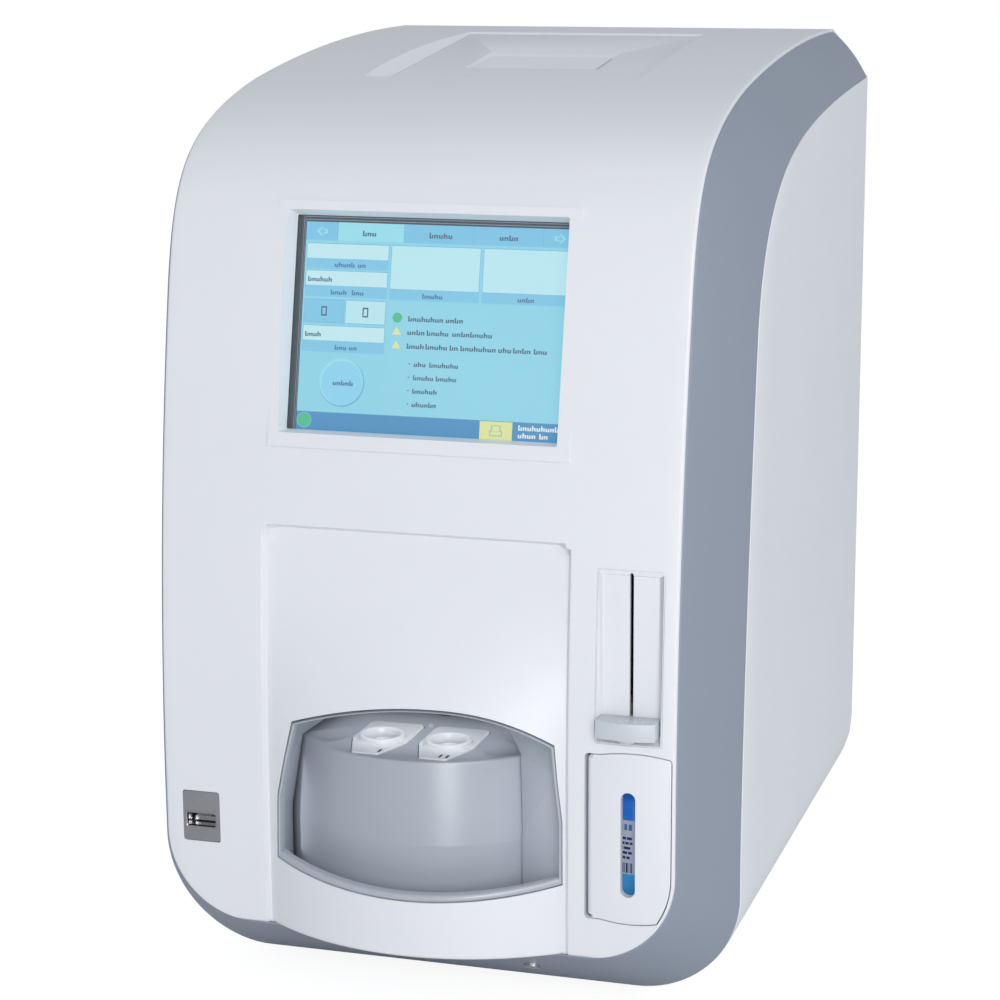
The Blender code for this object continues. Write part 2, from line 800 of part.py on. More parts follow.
def door_outline(grow=0.0, flat_floor=False):
    """The reagent door's outline, grown or shrunk all round, as a list of (x, z).

    Both its ends are level at the hinge and bowed beyond it, so that the opened door clears the fascia.
    """
    left = DOOR_LEFT - grow
    right = DOOR_RIGHT + grow
    bottom = DOOR_BOTTOM - grow
    top = DOOR_TOP + grow
    corner = DOOR_CORNER + grow
    margin = HALF_HOOD - DOOR_RIGHT
    centre = (HALF_HOOD - FASCIA_CORNER, FASCIA_BOTTOM + FASCIA_CORNER)
    radius = FASCIA_CORNER - margin + grow
    angle = -math.asin((centre[1] - bottom) / radius)
    points = arc(centre, radius, 0, angle, 5)
    hinge_side = DOOR_LEFT + 2 * (DOOR_GAP + DOOR_BARREL)
    bow_start = points[-1][0]
    for index in range(1, 1 if flat_floor else 6):
        t = index / 5
        points.append((bow_start + (hinge_side - bow_start) * t, bottom - DOOR_BOW * 4 * t * (1 - t)))
    points += arc((left + corner, bottom + corner), corner, -math.pi / 2, -math.pi, 3)
    points += arc((left + corner, top - corner), corner, math.pi, math.pi / 2, 3)
    arch_end = right - corner
    for index in range(6):
        t = index / 6
        points.append((hinge_side + (arch_end - hinge_side) * t, top + DOOR_ARCH * 4 * t * (1 - t)))
    return points + arc((arch_end, top - corner), corner, math.pi / 2, 0, 3)


def screen_place():
    return (0, face_y(SCREEN_CENTRE_Z) + SCREEN_SINK, SCREEN_CENTRE_Z), (-SCREEN_TILT, 0, 0)


def screen_collar():
    half = GLASS_WIDTH / 2 + SCREEN_COLLAR
    tall = GLASS_HEIGHT / 2 + SCREEN_COLLAR
    back = -GLASS_THICKNESS - 2 * SEAT
    collar = block("screen_collar", (-half, back - SCREEN_COLLAR_DEPTH, -tall), (half, back, tall))
    return put(collar, *screen_place())


def screen_tunnel():
    """The bevelled tunnel in front of the glass; its Z axis is the screen's normal, pointing in."""
    wide = SCREEN_MOUTH_WIDTH / 2
    tall = SCREEN_MOUTH_HEIGHT / 2
    flare = SCREEN_FLARE * 2
    mouth = (wide + flare, tall + flare)
    tunnel = tapered_block("screen_tunnel", mouth, (wide, tall), -2 * OVERRUN, SEAT)
    location, rotation = screen_place()
    return put(tunnel, location, (rotation[0] - math.pi / 2, 0, 0))


def lid_hinge_place():
    """Where the lid's hinge axis crosses the middle plane, and the tilt of all printer pieces."""
    roof = depth(LID_FRONT_DEPTH + LID_LENGTH * math.cos(LID_TILT))
    path = path_from(HOOD_PATH_SHARES)
    for behind, ahead in zip(path, path[1:]):
        if ahead[0] <= roof <= behind[0]:
            share = (roof - ahead[0]) / (behind[0] - ahead[0])
            level = ahead[1] + share * (behind[1] - ahead[1])
    y = roof - LID_HINGE * math.cos(LID_TILT)
    return (0, y, level - LID_REAR_SINK - LID_HINGE), (LID_TILT, 0, 0)


def printer_collar():
    half = LID_WIDTH / 2 + COLLAR_MARGIN
    rear = LID_HINGE + COLLAR_MARGIN
    top = LID_HINGE - LID_REAR_SINK
    front = rear - LID_LENGTH - 2 * COLLAR_MARGIN
    collar = block("printer_collar", (-half, front, top - LID_COLLAR), (half, rear, top))
    return put(collar, *lid_hinge_place())


def lid_recess():
    """The flared recess over the lid, the lid's own seat, and the hole down to the paper bucket."""
    half = LID_WIDTH / 2 + LID_GAP
    front = LID_HINGE - LID_LENGTH - LID_GAP
    rear = LID_HINGE + LID_GAP
    seat_low = (-half, front, LID_HINGE - LID_THICKNESS - SEAT)
    seat = block("lid_seat", seat_low, (half, rear, LID_HINGE + SEAT))
    long_half = (rear - front) / 2
    mouth = (half + LID_FLARE, long_half + LID_FLARE)
    flare = tapered_block("lid_flare", (half, long_half), mouth, LID_HINGE, LID_HINGE + LID_FLARE)
    ledge = LID_LEDGE
    hole_low = (ledge - half, front + ledge, -OVERRUN - LID_COLLAR)
    hole = block("bucket_hole", hole_low, (half - ledge, rear - ledge, SEAT))
    place, turn = lid_hinge_place()
    put(seat, place, turn)
    put(hole, place, turn)
    middle = (front + rear) / 2
    offset = Vector((0, middle * math.cos(LID_TILT), middle * math.sin(LID_TILT)))
    put(flare, Vector(place) + offset, turn)
    return seat, flare, hole


def pin_bore(name, radius, half_length):
    """A bore along the lid's hinge axis."""
    bore = rod(name, radius, -half_length, half_length, steps=12)
    return put(bore, lid_hinge_place()[0], (0, math.pi / 2, 0))


def track_window(near, far):
    outline = [
        (TRACK_LEFT, TRACK_BOTTOM), (TRACK_RIGHT, TRACK_BOTTOM),
        (TRACK_RIGHT, TRACK_TOP), (TRACK_LEFT, TRACK_TOP),
    ]
    return plate("track_opening", [outline], near, far, "XZ")


def make_hood(white):
    hood = hood_band("front_hood", white, 0.0, HOOD_WALL, HALF_HOOD, 0)
    cut(hood, column_window())
    join(hood, apron_shell(), apron_floor(), screen_collar(), printer_collar())
    near = depth(-2 * APRON_REACH)
    outline = plate("hood_outline", [fascia_outline()], near, REAR_Y + OVERRUN, "XZ")
    combine(hood, outline, "INTERSECT")
    cut(hood, plate("carousel_opening", [opening_outline()], near, depth(OVERRUN), "XZ"))
    door = plate("door_opening", [door_outline(DOOR_GAP)], near, depth(OVERRUN), "XZ")
    cut(hood, door, door_pin_grooves())
    cut(hood, track_window(near, depth(2 * OVERRUN)))
    left, right = USB_LEFT - SEAT, USB_RIGHT + SEAT
    usb = rounded_rectangle(left, right, USB_BOTTOM - SEAT, USB_TOP + SEAT, USB_CORNER)
    cut(hood, plate("usb_opening", [usb], near, depth(OVERRUN), "XZ"))
    cut(hood, screen_tunnel(), *lid_recess())
    cut(hood, pin_bore("lid_pin_bore", LID_PIN + PIN_CLEARANCE, LID_WIDTH / 2 + LID_GAP + PIN_OVERLAP))
    return hood


# Surround band, side panels, base and rear
def band_stations():
    """Matching places on the hood's edge and the side panel's edge, right half, top rear to bottom centre.

    Each station is (outer hood edge, inner hood edge, inner side edge, outer side edge).
    """
    hood_path = path_from(HOOD_PATH_SHARES)
    side_path = path_from(SIDE_PATH_SHARES)
    hood_out = shifted(hood_path, HOOD_PROUD)
    hood_in = shifted(hood_path, HOOD_PROUD + BAND_WALL)
    stations = []
    edge_x = HALF_HOOD + SEAM
    for near, far, side in zip(hood_out, hood_in, side_path):
        stations.append((
            (edge_x, near[0], near[1]), (edge_x, far[0], far[1]),
            (HALF_BODY - BAND_WALL, side[0], side[1]), (HALF_BODY, side[0], side[1]),
        ))
    stations[0] = tuple((x, SHELL_REAR_Y, z) for x, _, z in stations[0])
    front = depth(HOOD_PROUD)
    low = FASCIA_BOTTOM - SEAM
    radius = FASCIA_CORNER + SEAM
    hood_centre = (edge_x - radius, low + radius)
    body_centre = (HALF_BODY - BODY_CORNER, FOOT_HEIGHT + BODY_CORNER)
    turns = 7
    for index in range(turns + 1):
        angle = -math.pi / 2 * index / turns
        c, s = math.cos(angle), math.sin(angle)
        hx, hz = hood_centre[0] + radius * c, hood_centre[1] + radius * s
        inner = BODY_CORNER - BAND_WALL
        ox, oz = body_centre[0] + BODY_CORNER * c, body_centre[1] + BODY_CORNER * s
        ix, iz = body_centre[0] + inner * c, body_centre[1] + inner * s
        stations.append((
            (hx, front, hz), (hx, front + BAND_WALL, hz),
            (ix, depth(BAND_SETBACK), iz), (ox, depth(BAND_SETBACK), oz),
        ))
    last = stations[-1]
    stations.append(tuple((0.0, y, z) for _, y, z in last))
    return stations


def band_section(station):
    """Points of the band's closed cross-section at one station, bulged between its edges."""
    hood_out, hood_in, side_in, side_out = (Vector(point) for point in station)
    steps = 3
    outer = []
    inner = []
    lean = (hood_out - hood_in).normalized() + (side_out - side_in).normalized()
    for index in range(steps + 1):
        t = index / steps
        swell = lean.normalized() * BAND_BULGE * 4 * t * (1 - t)
        outer.append(hood_out.lerp(side_out, t) + swell)
        inner.append(hood_in.lerp(side_in, t) + swell)
    return outer + inner[::-1]


def make_surround(grey):
    """The grey chamfer band round the hood: a loft between unlike edges, mirrored."""
    stations = band_stations()
    sections = [band_section(station) for station in stations]
    count = len(sections[0])
    points = [tuple(point) for section in sections for point in section]
    faces = [tuple(range(count))]
    for row in range(len(sections) - 1):
        for index in range(count):
            after = (index + 1) % count
            low = row * count
            faces.append((low + index, low + after, low + count + after, low + count + index))
    mesh = bpy.data.meshes.new("surround_band")
    mesh.from_pydata(points, [], faces)
    form = bmesh.new()
    form.from_mesh(mesh)
    bmesh.ops.recalc_face_normals(form, faces=form.faces)
    form.to_mesh(mesh)
    form.free()
    band = add_object("surround_band", mesh, grey)
    mirror = band.modifiers.new("other_side", "MIRROR")
    mirror.use_clip = True
    mirror.merge_threshold = WELD
    return add_screw_boss(band)


def side_section(sign):
    """Cross-section of a side panel: upright wall and the quarter turn under it."""
    centre = (HALF_BODY - BODY_CORNER, FOOT_HEIGHT + BODY_CORNER)
    face = HALF_BODY - PANEL_WALL
    outer = [(HALF_BODY, BODY_HEIGHT)] + arc(centre, BODY_CORNER, 0, -math.pi / 2, 10)
    inner = [(face, BODY_HEIGHT)] + arc(centre, BODY_CORNER - PANEL_WALL, 0, -math.pi / 2, 10)
    return [(sign * x, z) for x, z in outer + inner[::-1]]


def make_side_panel(name, sign, panel):
    front = depth(BAND_SETBACK)
    item = plate(name, [side_section(sign)], front, SHELL_REAR_Y, "XZ", panel)
    path = shifted(path_from(SIDE_PATH_SHARES), SEAM)
    path[0] = (SHELL_REAR_Y + OVERRUN, path[0][1])
    foot = -OVERRUN
    edge = front + SEAM
    outline = path + [(edge, FOOT_HEIGHT + BODY_CORNER), (edge, foot), (SHELL_REAR_Y + OVERRUN, foot)]
    near = sign * (HALF_BODY + OVERRUN)
    far = sign * (HALF_BODY - BODY_CORNER - OVERRUN)
    trim = plate(name + "_trim", [outline], min(near, far), max(near, far), "YZ")
    combine(item, trim, "INTERSECT")
    return item


def make_base(grey):
    half = HALF_BODY - BODY_CORNER - SEAM
    front = depth(BAND_SETBACK) + SEAM
    outline = [(-half, front), (half, front), (half, SHELL_REAR_Y), (-half, SHELL_REAR_Y)]
    slots = []
    for row in range(SLOT_ROWS):
        y = depth(FOOT_REAR_DEPTH) - (row + 2) * VENT_PITCH
        slots.append(slot_outline(-half / 3, half / 3, y, VENT_SLOT_HEIGHT))
    plate("base_tray", [outline] + slots, FOOT_HEIGHT, BASE_FLOOR, "XY", grey)


def screw_place():
    """The middle of the screw's head seat on the sloping underside, and the slope."""
    low = FASCIA_BOTTOM - SEAM
    run = BAND_SETBACK - HOOD_PROUD
    drop = low - FOOT_HEIGHT
    share = (SCREW_DEPTH - HOOD_PROUD) / run
    swell = BAND_BULGE * 4 * share * (1 - share) * math.sqrt(0.5)
    place = (SCREW_X, depth(SCREW_DEPTH) - swell, low - drop * share - swell)
    return place, (-math.atan2(drop, run), 0, 0)


def add_screw_boss(band):
    """A boss behind the band's underside, with the screw's bore and a flat for its head."""
    place, turn = screw_place()
    boss = rod("screw_boss", SCREW_BOSS, BAND_WALL / 4, SCREW_LENGTH + BAND_WALL, steps=20)
    flat = rod("screw_flat", SCREW_RADIUS + SEAT, -OVERRUN, SCREW_HEAD / 2, steps=20)
    bore = rod("screw_bore", SCREW_RADIUS / 2 + SEAT, -OVERRUN, SCREW_LENGTH + SEAT, steps=12)
    for item in (boss, flat, bore):
        put(item, place, turn)
    join(band, boss)
    return cut(band, flat, bore)


def make_base_screw(steel):
    shank = SCREW_RADIUS / 2
    seat = SCREW_HEAD / 2 - SEAT
    head = seat - SCREW_HEAD
    profile = [
        (0, SCREW_LENGTH), (shank, SCREW_LENGTH), (shank, seat),
        (SCREW_RADIUS, seat), (SCREW_RADIUS, head), (0, head),
    ]
    screw = turned("base_screw", profile, steel, 20)
    return put(screw, *screw_place())


def make_feet(rubber):
    for name, x, place in (
        ("foot_front_left", -FOOT_X, FOOT_FRONT_DEPTH), ("foot_front_right", FOOT_X, FOOT_FRONT_DEPTH),
        ("foot_rear_left", -FOOT_X, FOOT_REAR_DEPTH), ("foot_rear_right", FOOT_X, FOOT_REAR_DEPTH),
    ):
        top = FOOT_HEIGHT - SEAT
        profile = [(0, top), (FOOT_RADIUS, top), (FOOT_RADIUS, top / 2), (FOOT_TOE_RADIUS, 0), (0, 0)]
        foot = turned(name, profile, rubber, 20)
        put(foot, (x, depth(place), 0))


def rear_outline():
    centre = (HALF_BODY - BODY_CORNER, FOOT_HEIGHT + BODY_CORNER)
    shoulder = SIDE_PATH_SHARES[0][0][1] * BODY_HEIGHT
    right = [(HALF_HOOD, BODY_HEIGHT), (HALF_BODY, shoulder)] + arc(centre, BODY_CORNER, 0, -math.pi / 2, 8)
    return right + [(-x, z) for x, z in right[::-1]]


def fan_slots():
    """Rows of slots over the fan, cut to its round bore."""
    rows = []
    for index in range(SLOT_ROWS):
        z = (index - (SLOT_ROWS - 1) / 2) * FAN_SLOT_PITCH
        half = math.sqrt(FAN_BORE ** 2 - z ** 2) * FAN_SLOT_REACH / FAN_BORE
        low = FAN_Z + z - VENT_SLOT_HEIGHT / 2
        rows.append(slot_outline(FAN_X - half, FAN_X + half, low, VENT_SLOT_HEIGHT))
    return rows


def vent_slots():
    rows = []
    for index in range(VENT_ROWS):
        low = VENT_BOTTOM + index * VENT_PITCH
        rows.append(slot_outline(VENT_LEFT, VENT_RIGHT, low, VENT_SLOT_HEIGHT))
    return rows


def rectangle(x, z, width, height, grow=0.0):
    wide = width / 2 + grow
    tall = height / 2 + grow
    return [(x - wide, z - tall), (x + wide, z - tall), (x + wide, z + tall), (x - wide, z + tall)]


def make_rear_panel(panel):
    loops = [rear_outline()] + fan_slots() + vent_slots()
    loops.append(rectangle(INLET_X, INLET_Z, INLET_WIDTH, INLET_HEIGHT, SEAT))
    loops.append(rectangle(INLET_X, SWITCH_Z, SWITCH_WIDTH, SWITCH_HEIGHT, SEAT))
    return plate("rear_panel", loops, SHELL_REAR_Y + SEAM, REAR_Y, "XZ", panel)


# Screen
def make_screen(glass, display, sheet):
    place, turn = screen_place()
    wide = GLASS_WIDTH / 2
    tall = GLASS_HEIGHT / 2
    pane = block("touch_glass", (-wide, -GLASS_THICKNESS - SEAT, -tall), (wide, -SEAT, tall), glass)
    put(pane, place, turn)
    wide = DISPLAY_WIDTH / 2
    tall = DISPLAY_HEIGHT / 2
    module = block("display_module", (-wide, 0, -tall), (wide, DISPLAY_DEPTH, tall), display)
    put(round_edges(module, SEAM, 1), place, turn)
    near = DISPLAY_DEPTH + SEAT
    lug = SCREEN_COLLAR + GLASS_WIDTH / 2
    bracket = block("display_bracket", (-lug, near, -tall), (lug, near + BRACKET_WALL, tall), sheet)
    edge = lug - BRACKET_WALL
    front = -GLASS_THICKNESS - SEAT
    for name, low, high in (("left_flange", -lug, -edge), ("right_flange", edge, lug)):
        flange = block(name, (low, front, -tall), (high, near + SEAT, tall))
        put(flange, place, turn)
        join(bracket, flange)
    window_high = (wide / 2, near + 2 * BRACKET_WALL, tall / 2)
    window = block("bracket_window", (-wide / 2, near - SEAT, -tall / 2), window_high)
    put(window, place, turn)
    cut(bracket, window)
    put(bracket, place, turn)


# Carousel
def drum_radius(z):
    if z <= DRUM_BREAK:
        return DRUM_RADIUS
    share = (z - DRUM_BREAK) / (DRUM_TOP - DRUM_BREAK)
    return DRUM_RADIUS + share * (DRUM_TOP_RADIUS - DRUM_RADIUS)


def well_front_depth(x, z):
    """Depth of the well's front edge at a place: just clear of the drum's skin."""
    reach = drum_radius(z) + RUNNING_GAP
    return CAROUSEL_DEPTH - math.sqrt(reach ** 2 - (x - CAROUSEL_X) ** 2)


def cassette_outline(grow=0.0):
    """Outline of a cassette about its own centre line, front edge at zero."""
    points = []
    for across, along in CASSETTE_OUTLINE_SHARES:
        x = across * CASSETTE_WIDTH
        y = along * CASSETTE_LENGTH
        stretch_x = 1 + 2 * grow / CASSETTE_WIDTH
        stretch_y = 1 + 2 * grow / CASSETTE_LENGTH
        middle = CASSETTE_LENGTH / 2
        points.append((x * stretch_x, middle + (y - middle) * stretch_y))
    return points


def cassette_places():
    """The two cassettes' names, centre lines and mark counts."""
    half = CASSETTE_PITCH / 2
    return (("cassette_one", CAROUSEL_X - half, 1), ("cassette_two", CAROUSEL_X + half, 2))


def make_drum(grey):
    inner = DRUM_RADIUS - DRUM_WALL
    plate_low = DRUM_TOP - DRUM_PLATE
    inner_top = drum_radius(plate_low) - DRUM_WALL
    bore = SHAFT_RADIUS + SEAT
    profile = [
        (bore, DRUM_TOP), (DRUM_TOP_RADIUS - DRUM_EDGE, DRUM_TOP), (DRUM_TOP_RADIUS, DRUM_TOP - DRUM_EDGE),
        (DRUM_RADIUS, DRUM_BREAK), (DRUM_RADIUS, DRUM_BOTTOM), (inner, DRUM_BOTTOM), (inner, DRUM_BREAK),
        (inner_top, plate_low), (HUB_RADIUS, plate_low), (HUB_RADIUS, HUB_BOTTOM), (bore, HUB_BOTTOM),
    ]
    drum = turned("carousel_drum", profile, grey, 64, closed=True)
    put(drum, (CAROUSEL_X, depth(CAROUSEL_DEPTH), 0))
    front = depth(CAROUSEL_DEPTH - CASSETTE_FRONT_REACH)
    floor = DRUM_TOP + CASSETTE_PROUD - CASSETTE_HEIGHT - SEAT
    for name, x, _ in cassette_places():
        outline = [(x + px, front + py) for px, py in cassette_outline(SEAT)]
        cut(drum, plate(name + "_pocket", [outline], floor, DRUM_TOP + OVERRUN, "XY"))
    for name, sign in (("left_dent", -1), ("right_dent", 1)):
        dent = rod(name, DENT_RADIUS, DRUM_TOP - DENT_SINK, DRUM_TOP + OVERRUN, steps=20)
        put(dent, (CAROUSEL_X + sign * DENT_OFFSET, depth(CAROUSEL_DEPTH - DENT_REACH), 0))
        cut(drum, dent)
    return drum


def make_cassette(name, x, marks, white):
    """A cassette: an elongated plate with a raised cup, two pin dimples and its slot marks."""
    top = DRUM_TOP + CASSETTE_PROUD
    front = depth(CAROUSEL_DEPTH - CASSETTE_FRONT_REACH)
    outline = [(x + px, front + py) for px, py in cassette_outline()]
    body = plate(name, [outline], top - CASSETTE_HEIGHT, top, "XY", white)
    steps = 24
    cup = rod(name + "_rim", CUP_RADIUS, top - CUP_RIM, top + CUP_RIM, steps=steps)
    bore = rod(name + "_bore", CUP_BORE, top - CASSETTE_HEIGHT + CUP_FLOOR, top + OVERRUN, steps=steps)
    put(cup, (x, front + CUP_OFFSET, 0))
    put(bore, (x, front + CUP_OFFSET, 0), (0, 0, math.pi / steps))
    join(body, cup)
    cut(body, bore)
    for index in range(marks):
        mark_x = x + MARK_OFFSET_X - (marks - 1) * MARK_PITCH / 2 + index * MARK_PITCH - MARK_PITCH / 2
        mark_y = front + MARK_OFFSET_Y
        low = (mark_x - MARK_WIDTH / 2, mark_y - MARK_LENGTH / 2, top - MARK_SINK)
        high = (mark_x + MARK_WIDTH / 2, mark_y + MARK_LENGTH / 2, top + OVERRUN)
        cut(body, block(f"{name}_mark_{index}", low, high))
    return body


def bezel_rings():
    """Rings of the carousel bezel, each from its lower left corner: rim, collar, shelf and back."""
    outline = opening_outline(BEZEL_WALL + SEAM)
    rim = [(x, apron_y(x, z) + BEZEL_SINK, z) for x, z in outline]
    collar = [(x, y + HOOD_WALL + 2 * SEAM, z) for x, y, z in rim]
    sill = OPENING_STEPS_BELOW - 1
    arch = OPENING_STEPS_ABOVE + 1
    left, right = WELL_LEFT_X, WELL_RIGHT_X
    levels = (WELL_FLOOR, WELL_FACET_LOW, WELL_FACET_HIGH)
    shelf = [(left, depth(well_front_depth(left, z)), z) for z in levels]
    for index in range(arch):
        t = 2 * index / (arch - 1) - 1
        x = (left + right + t * (right - left)) / 2
        edge = left if t < 0 else right
        rise = (WELL_CEILING - WELL_CEILING_CORNER) * (1 - t * t)
        shelf.append((x, depth(well_front_depth(edge, WELL_FACET_HIGH)), WELL_CEILING_CORNER + rise))
    shelf += [(right, depth(well_front_depth(right, z)), z) for z in levels[::-1]]
    for index in range(1, sill + 1):
        x = right + (left - right) * index / (sill + 1)
        shelf.append((x, depth(well_front_depth(x, WELL_FLOOR)), WELL_FLOOR))
    first = len(levels) - 1
    last = len(levels) + arch
    back = []
    for index in range(first, last + 1):
        x, _, z = shelf[index]
        middle = (left + right) / 2
        narrow = 1 - 2 * WELL_TAPER / (right - left)
        back.append((middle + (x - middle) * narrow, depth(WELL_BACK_DEPTH), z))
    return rim, collar, shelf, back, first, last


def make_bezel(grey):
    """The faceted funnel round the drum: its lip follows the apron, its hood covers the drum's rear."""
    rim, collar, shelf, back, first, last = bezel_rings()
    count = len(rim)
    points = rim + collar + shelf + back
    faces = []
    for ring_start in (0, count):
        for index in range(count):
            after = (index + 1) % count
            near, far = ring_start, ring_start + count
            faces.append((near + index, near + after, far + after, far + index))
    shelf_start = 2 * count
    back_start = 3 * count
    for index in range(first, last):
        near = shelf_start + index
        far = back_start + index - first
        faces.append((near, near + 1, far + 1, far))
    faces.append(tuple(range(back_start, back_start + len(back))))
    mesh = bpy.data.meshes.new("carousel_bezel")
    mesh.from_pydata(points, [], faces)
    form = bmesh.new()
    form.from_mesh(mesh)
    bmesh.ops.recalc_face_normals(form, faces=form.faces)
    form.faces.ensure_lookup_table()
    if form.faces[-1].normal.y > 0:
        bmesh.ops.reverse_faces(form, faces=form.faces)
    form.to_mesh(mesh)
    form.free()
    bezel = add_object("carousel_bezel", mesh, grey)
    wall = bezel.modifiers.new("wall", "SOLIDIFY")
    wall.thickness = BEZEL_WALL
    wall.offset = -1
    wall.use_even_offset = True
    return round_edges(bezel, BEZEL_EDGE, 2, math.radians(75))


def gear_outline(teeth, phase):
    """A spur gear's outline with straight-flanked teeth and full-depth roots."""
    pitch = GEAR_MODULE * teeth / 2
    tip = pitch + GEAR_MODULE * TOOTH_TIP_SHARE
    root = pitch - GEAR_MODULE * TOOTH_ROOT_SHARE
    base, crest = TOOTH_BASE_HALF_SHARE, TOOTH_TOP_HALF_SHARE
    step = 2 * math.pi / teeth
    points = []
    for index in range(teeth):
        middle = index * step + phase
        for radius, share in ((root, -base), (tip, -crest), (tip, crest), (root, base)):
            angle = middle + share * step
            points.append((radius * math.cos(angle), radius * math.sin(angle)))
    return points


def make_carousel_drive(steel, nylon, aluminium, black):
    centre = (CAROUSEL_X, depth(CAROUSEL_DEPTH), 0)
    shaft_top = DRUM_TOP - DENT_SINK
    shaft = rod("carousel_shaft", SHAFT_RADIUS, SHAFT_BOTTOM, shaft_top, steel)
    put(shaft, centre)
    bore = SHAFT_RADIUS + SEAT
    hole = arc((0, 0), bore, 0, 2 * math.pi * 23 / 24, 23)
    gear_top = GEAR_BOTTOM + GEAR_WIDTH
    gear = plate("carousel_gear", [gear_outline(GEAR_TEETH, 0), hole], GEAR_BOTTOM, gear_top, "XY", nylon)
    put(gear, centre)
    collar = ring("gear_collar", GEAR_HUB, bore, gear_top - SEAM, HUB_BOTTOM - SEAT, steps=24)
    put(collar, centre)
    join(gear, collar)
    low = FRAME_FLOOR_TOP + SEAT
    high = GEAR_BOTTOM - SEAT
    shelf = low + BEARING_FLANGE_THICKNESS
    foot = SHAFT_BOTTOM - SEAT
    profile = [
        (0, foot), (bore, foot), (bore, high), (BEARING_BOSS, high),
        (BEARING_BOSS, shelf), (BEARING_FLANGE, shelf), (BEARING_FLANGE, low), (0, low),
    ]
    housing = turned("bearing_housing", profile, aluminium, 32)
    put(housing, centre)
    distance = GEAR_MODULE * (GEAR_TEETH + PINION_TEETH) / 2 + MESH_GAP
    axis = (CAROUSEL_X, depth(CAROUSEL_DEPTH) + distance, 0)
    phase = math.pi / 2 + math.pi / PINION_TEETH
    pin_hole = arc((0, 0), MOTOR_SHAFT + SEAT, 0, 2 * math.pi * 15 / 16, 15)
    pinion_loops = [gear_outline(PINION_TEETH, phase), pin_hole]
    pinion = plate("motor_pinion", pinion_loops, GEAR_BOTTOM, gear_top, "XY", steel)
    put(pinion, axis)
    motor_top = GEAR_BOTTOM - PINION_LIFT
    half = MOTOR_SIDE / 2
    motor = block("drive_motor", (-half, -half, low), (half, half, motor_top), black)
    round_edges(motor, PINION_LIFT, 2)
    boss = rod("motor_boss", MOTOR_SHAFT * 2, low + PINION_LIFT, GEAR_BOTTOM - SEAT)
    spindle = rod("motor_spindle", MOTOR_SHAFT, low + PINION_LIFT, gear_top)
    for item in (motor, boss, spindle):
        put(item, axis)
    join(motor, boss, spindle)
    return shaft, gear, pinion, axis


def make_incubator(aluminium):
    """The heated block that the drum turns past, hollowed to the drum's radius."""
    half = INCUBATOR_WIDTH / 2
    reach = DRUM_RADIUS + RUNNING_GAP
    front = depth(CAROUSEL_DEPTH) + reach * INCUBATOR_NEAR_SHARE
    back = depth(CAROUSEL_DEPTH) + reach + INCUBATOR_DEPTH
    low = FRAME_FLOOR_TOP + SEAT
    high = low + INCUBATOR_HEIGHT
    corner = (CAROUSEL_X - half, front, low)
    item = block("incubator_block", corner, (CAROUSEL_X + half, back, high), aluminium)
    hollow = rod("incubator_hollow", reach, low - OVERRUN, high + OVERRUN, steps=64)
    put(hollow, (CAROUSEL_X, depth(CAROUSEL_DEPTH), 0))
    return cut(item, hollow)


# Reagent door, bay and bottle
def door_axis():
    return (DOOR_LEFT + DOOR_GAP + DOOR_BARREL, depth(DOOR_BARREL))


def door_slot():
    radius = SLOT_WIDTH / 2
    points = arc((SLOT_X, SLOT_TOP - radius), radius, 0, math.pi, 8)
    points += arc((SLOT_X, SLOT_BOTTOM + radius), radius, math.pi, 2 * math.pi, 8)
    return points


def make_door(white, steel):
    """The reagent door: flush with the fascia, with a rolled hinge edge round its pin."""
    x, y = door_axis()
    near = depth(-OVERRUN)
    far = depth(OVERRUN)
    half = (DOOR_RIGHT - x) / 2 + OVERRUN
    door = hood_band("reagent_door", white, 0.0, HOOD_WALL, half, x + half)
    combine(door, plate("door_form", [door_outline()], near, far, "XZ"), "INTERSECT")
    steps = 24
    taper = DOOR_BARREL - DOOR_CORNER
    foot, head = DOOR_BOTTOM + BARREL_TRIM, DOOR_TOP - BARREL_TRIM
    low, high = foot + DOOR_CORNER, head - DOOR_CORNER
    profile = [(0, head), (taper, head), (DOOR_BARREL, high), (DOOR_BARREL, low), (taper, foot), (0, foot)]
    barrel = turned("door_barrel", profile, steps=steps)
    put(barrel, (x, y, 0), (0, 0, math.pi / steps))
    join(door, barrel)
    cut(door, plate("door_window", [door_slot()], near, far, "XZ"))
    bore = rod("door_bore", DOOR_PIN + PIN_CLEARANCE, DOOR_BOTTOM - OVERRUN, DOOR_TOP + OVERRUN, steps=12)
    put(bore, (x, y, 0))
    cut(door, bore)
    pin = rod("door_hinge_pin", DOOR_PIN, DOOR_BOTTOM - PIN_OVERLAP, DOOR_TOP + PIN_OVERLAP, steel, 12)
    put(pin, (x, y, 0))
    return door


def door_pin_grooves():
    """The grooves in the back of the fascia that the ends of the door's pin lie in."""
    x, y = door_axis()
    reach = PIN_OVERLAP + SEAT
    groove = rod("pin_grooves", DOOR_PIN + PIN_CLEARANCE, DOOR_BOTTOM - reach, DOOR_TOP + reach, steps=12)
    return put(groove, (x, y, 0))


def bay_front():
    return face_y(DOOR_TOP + DOOR_ARCH + BAY_WALL) + HOOD_WALL + SEAT


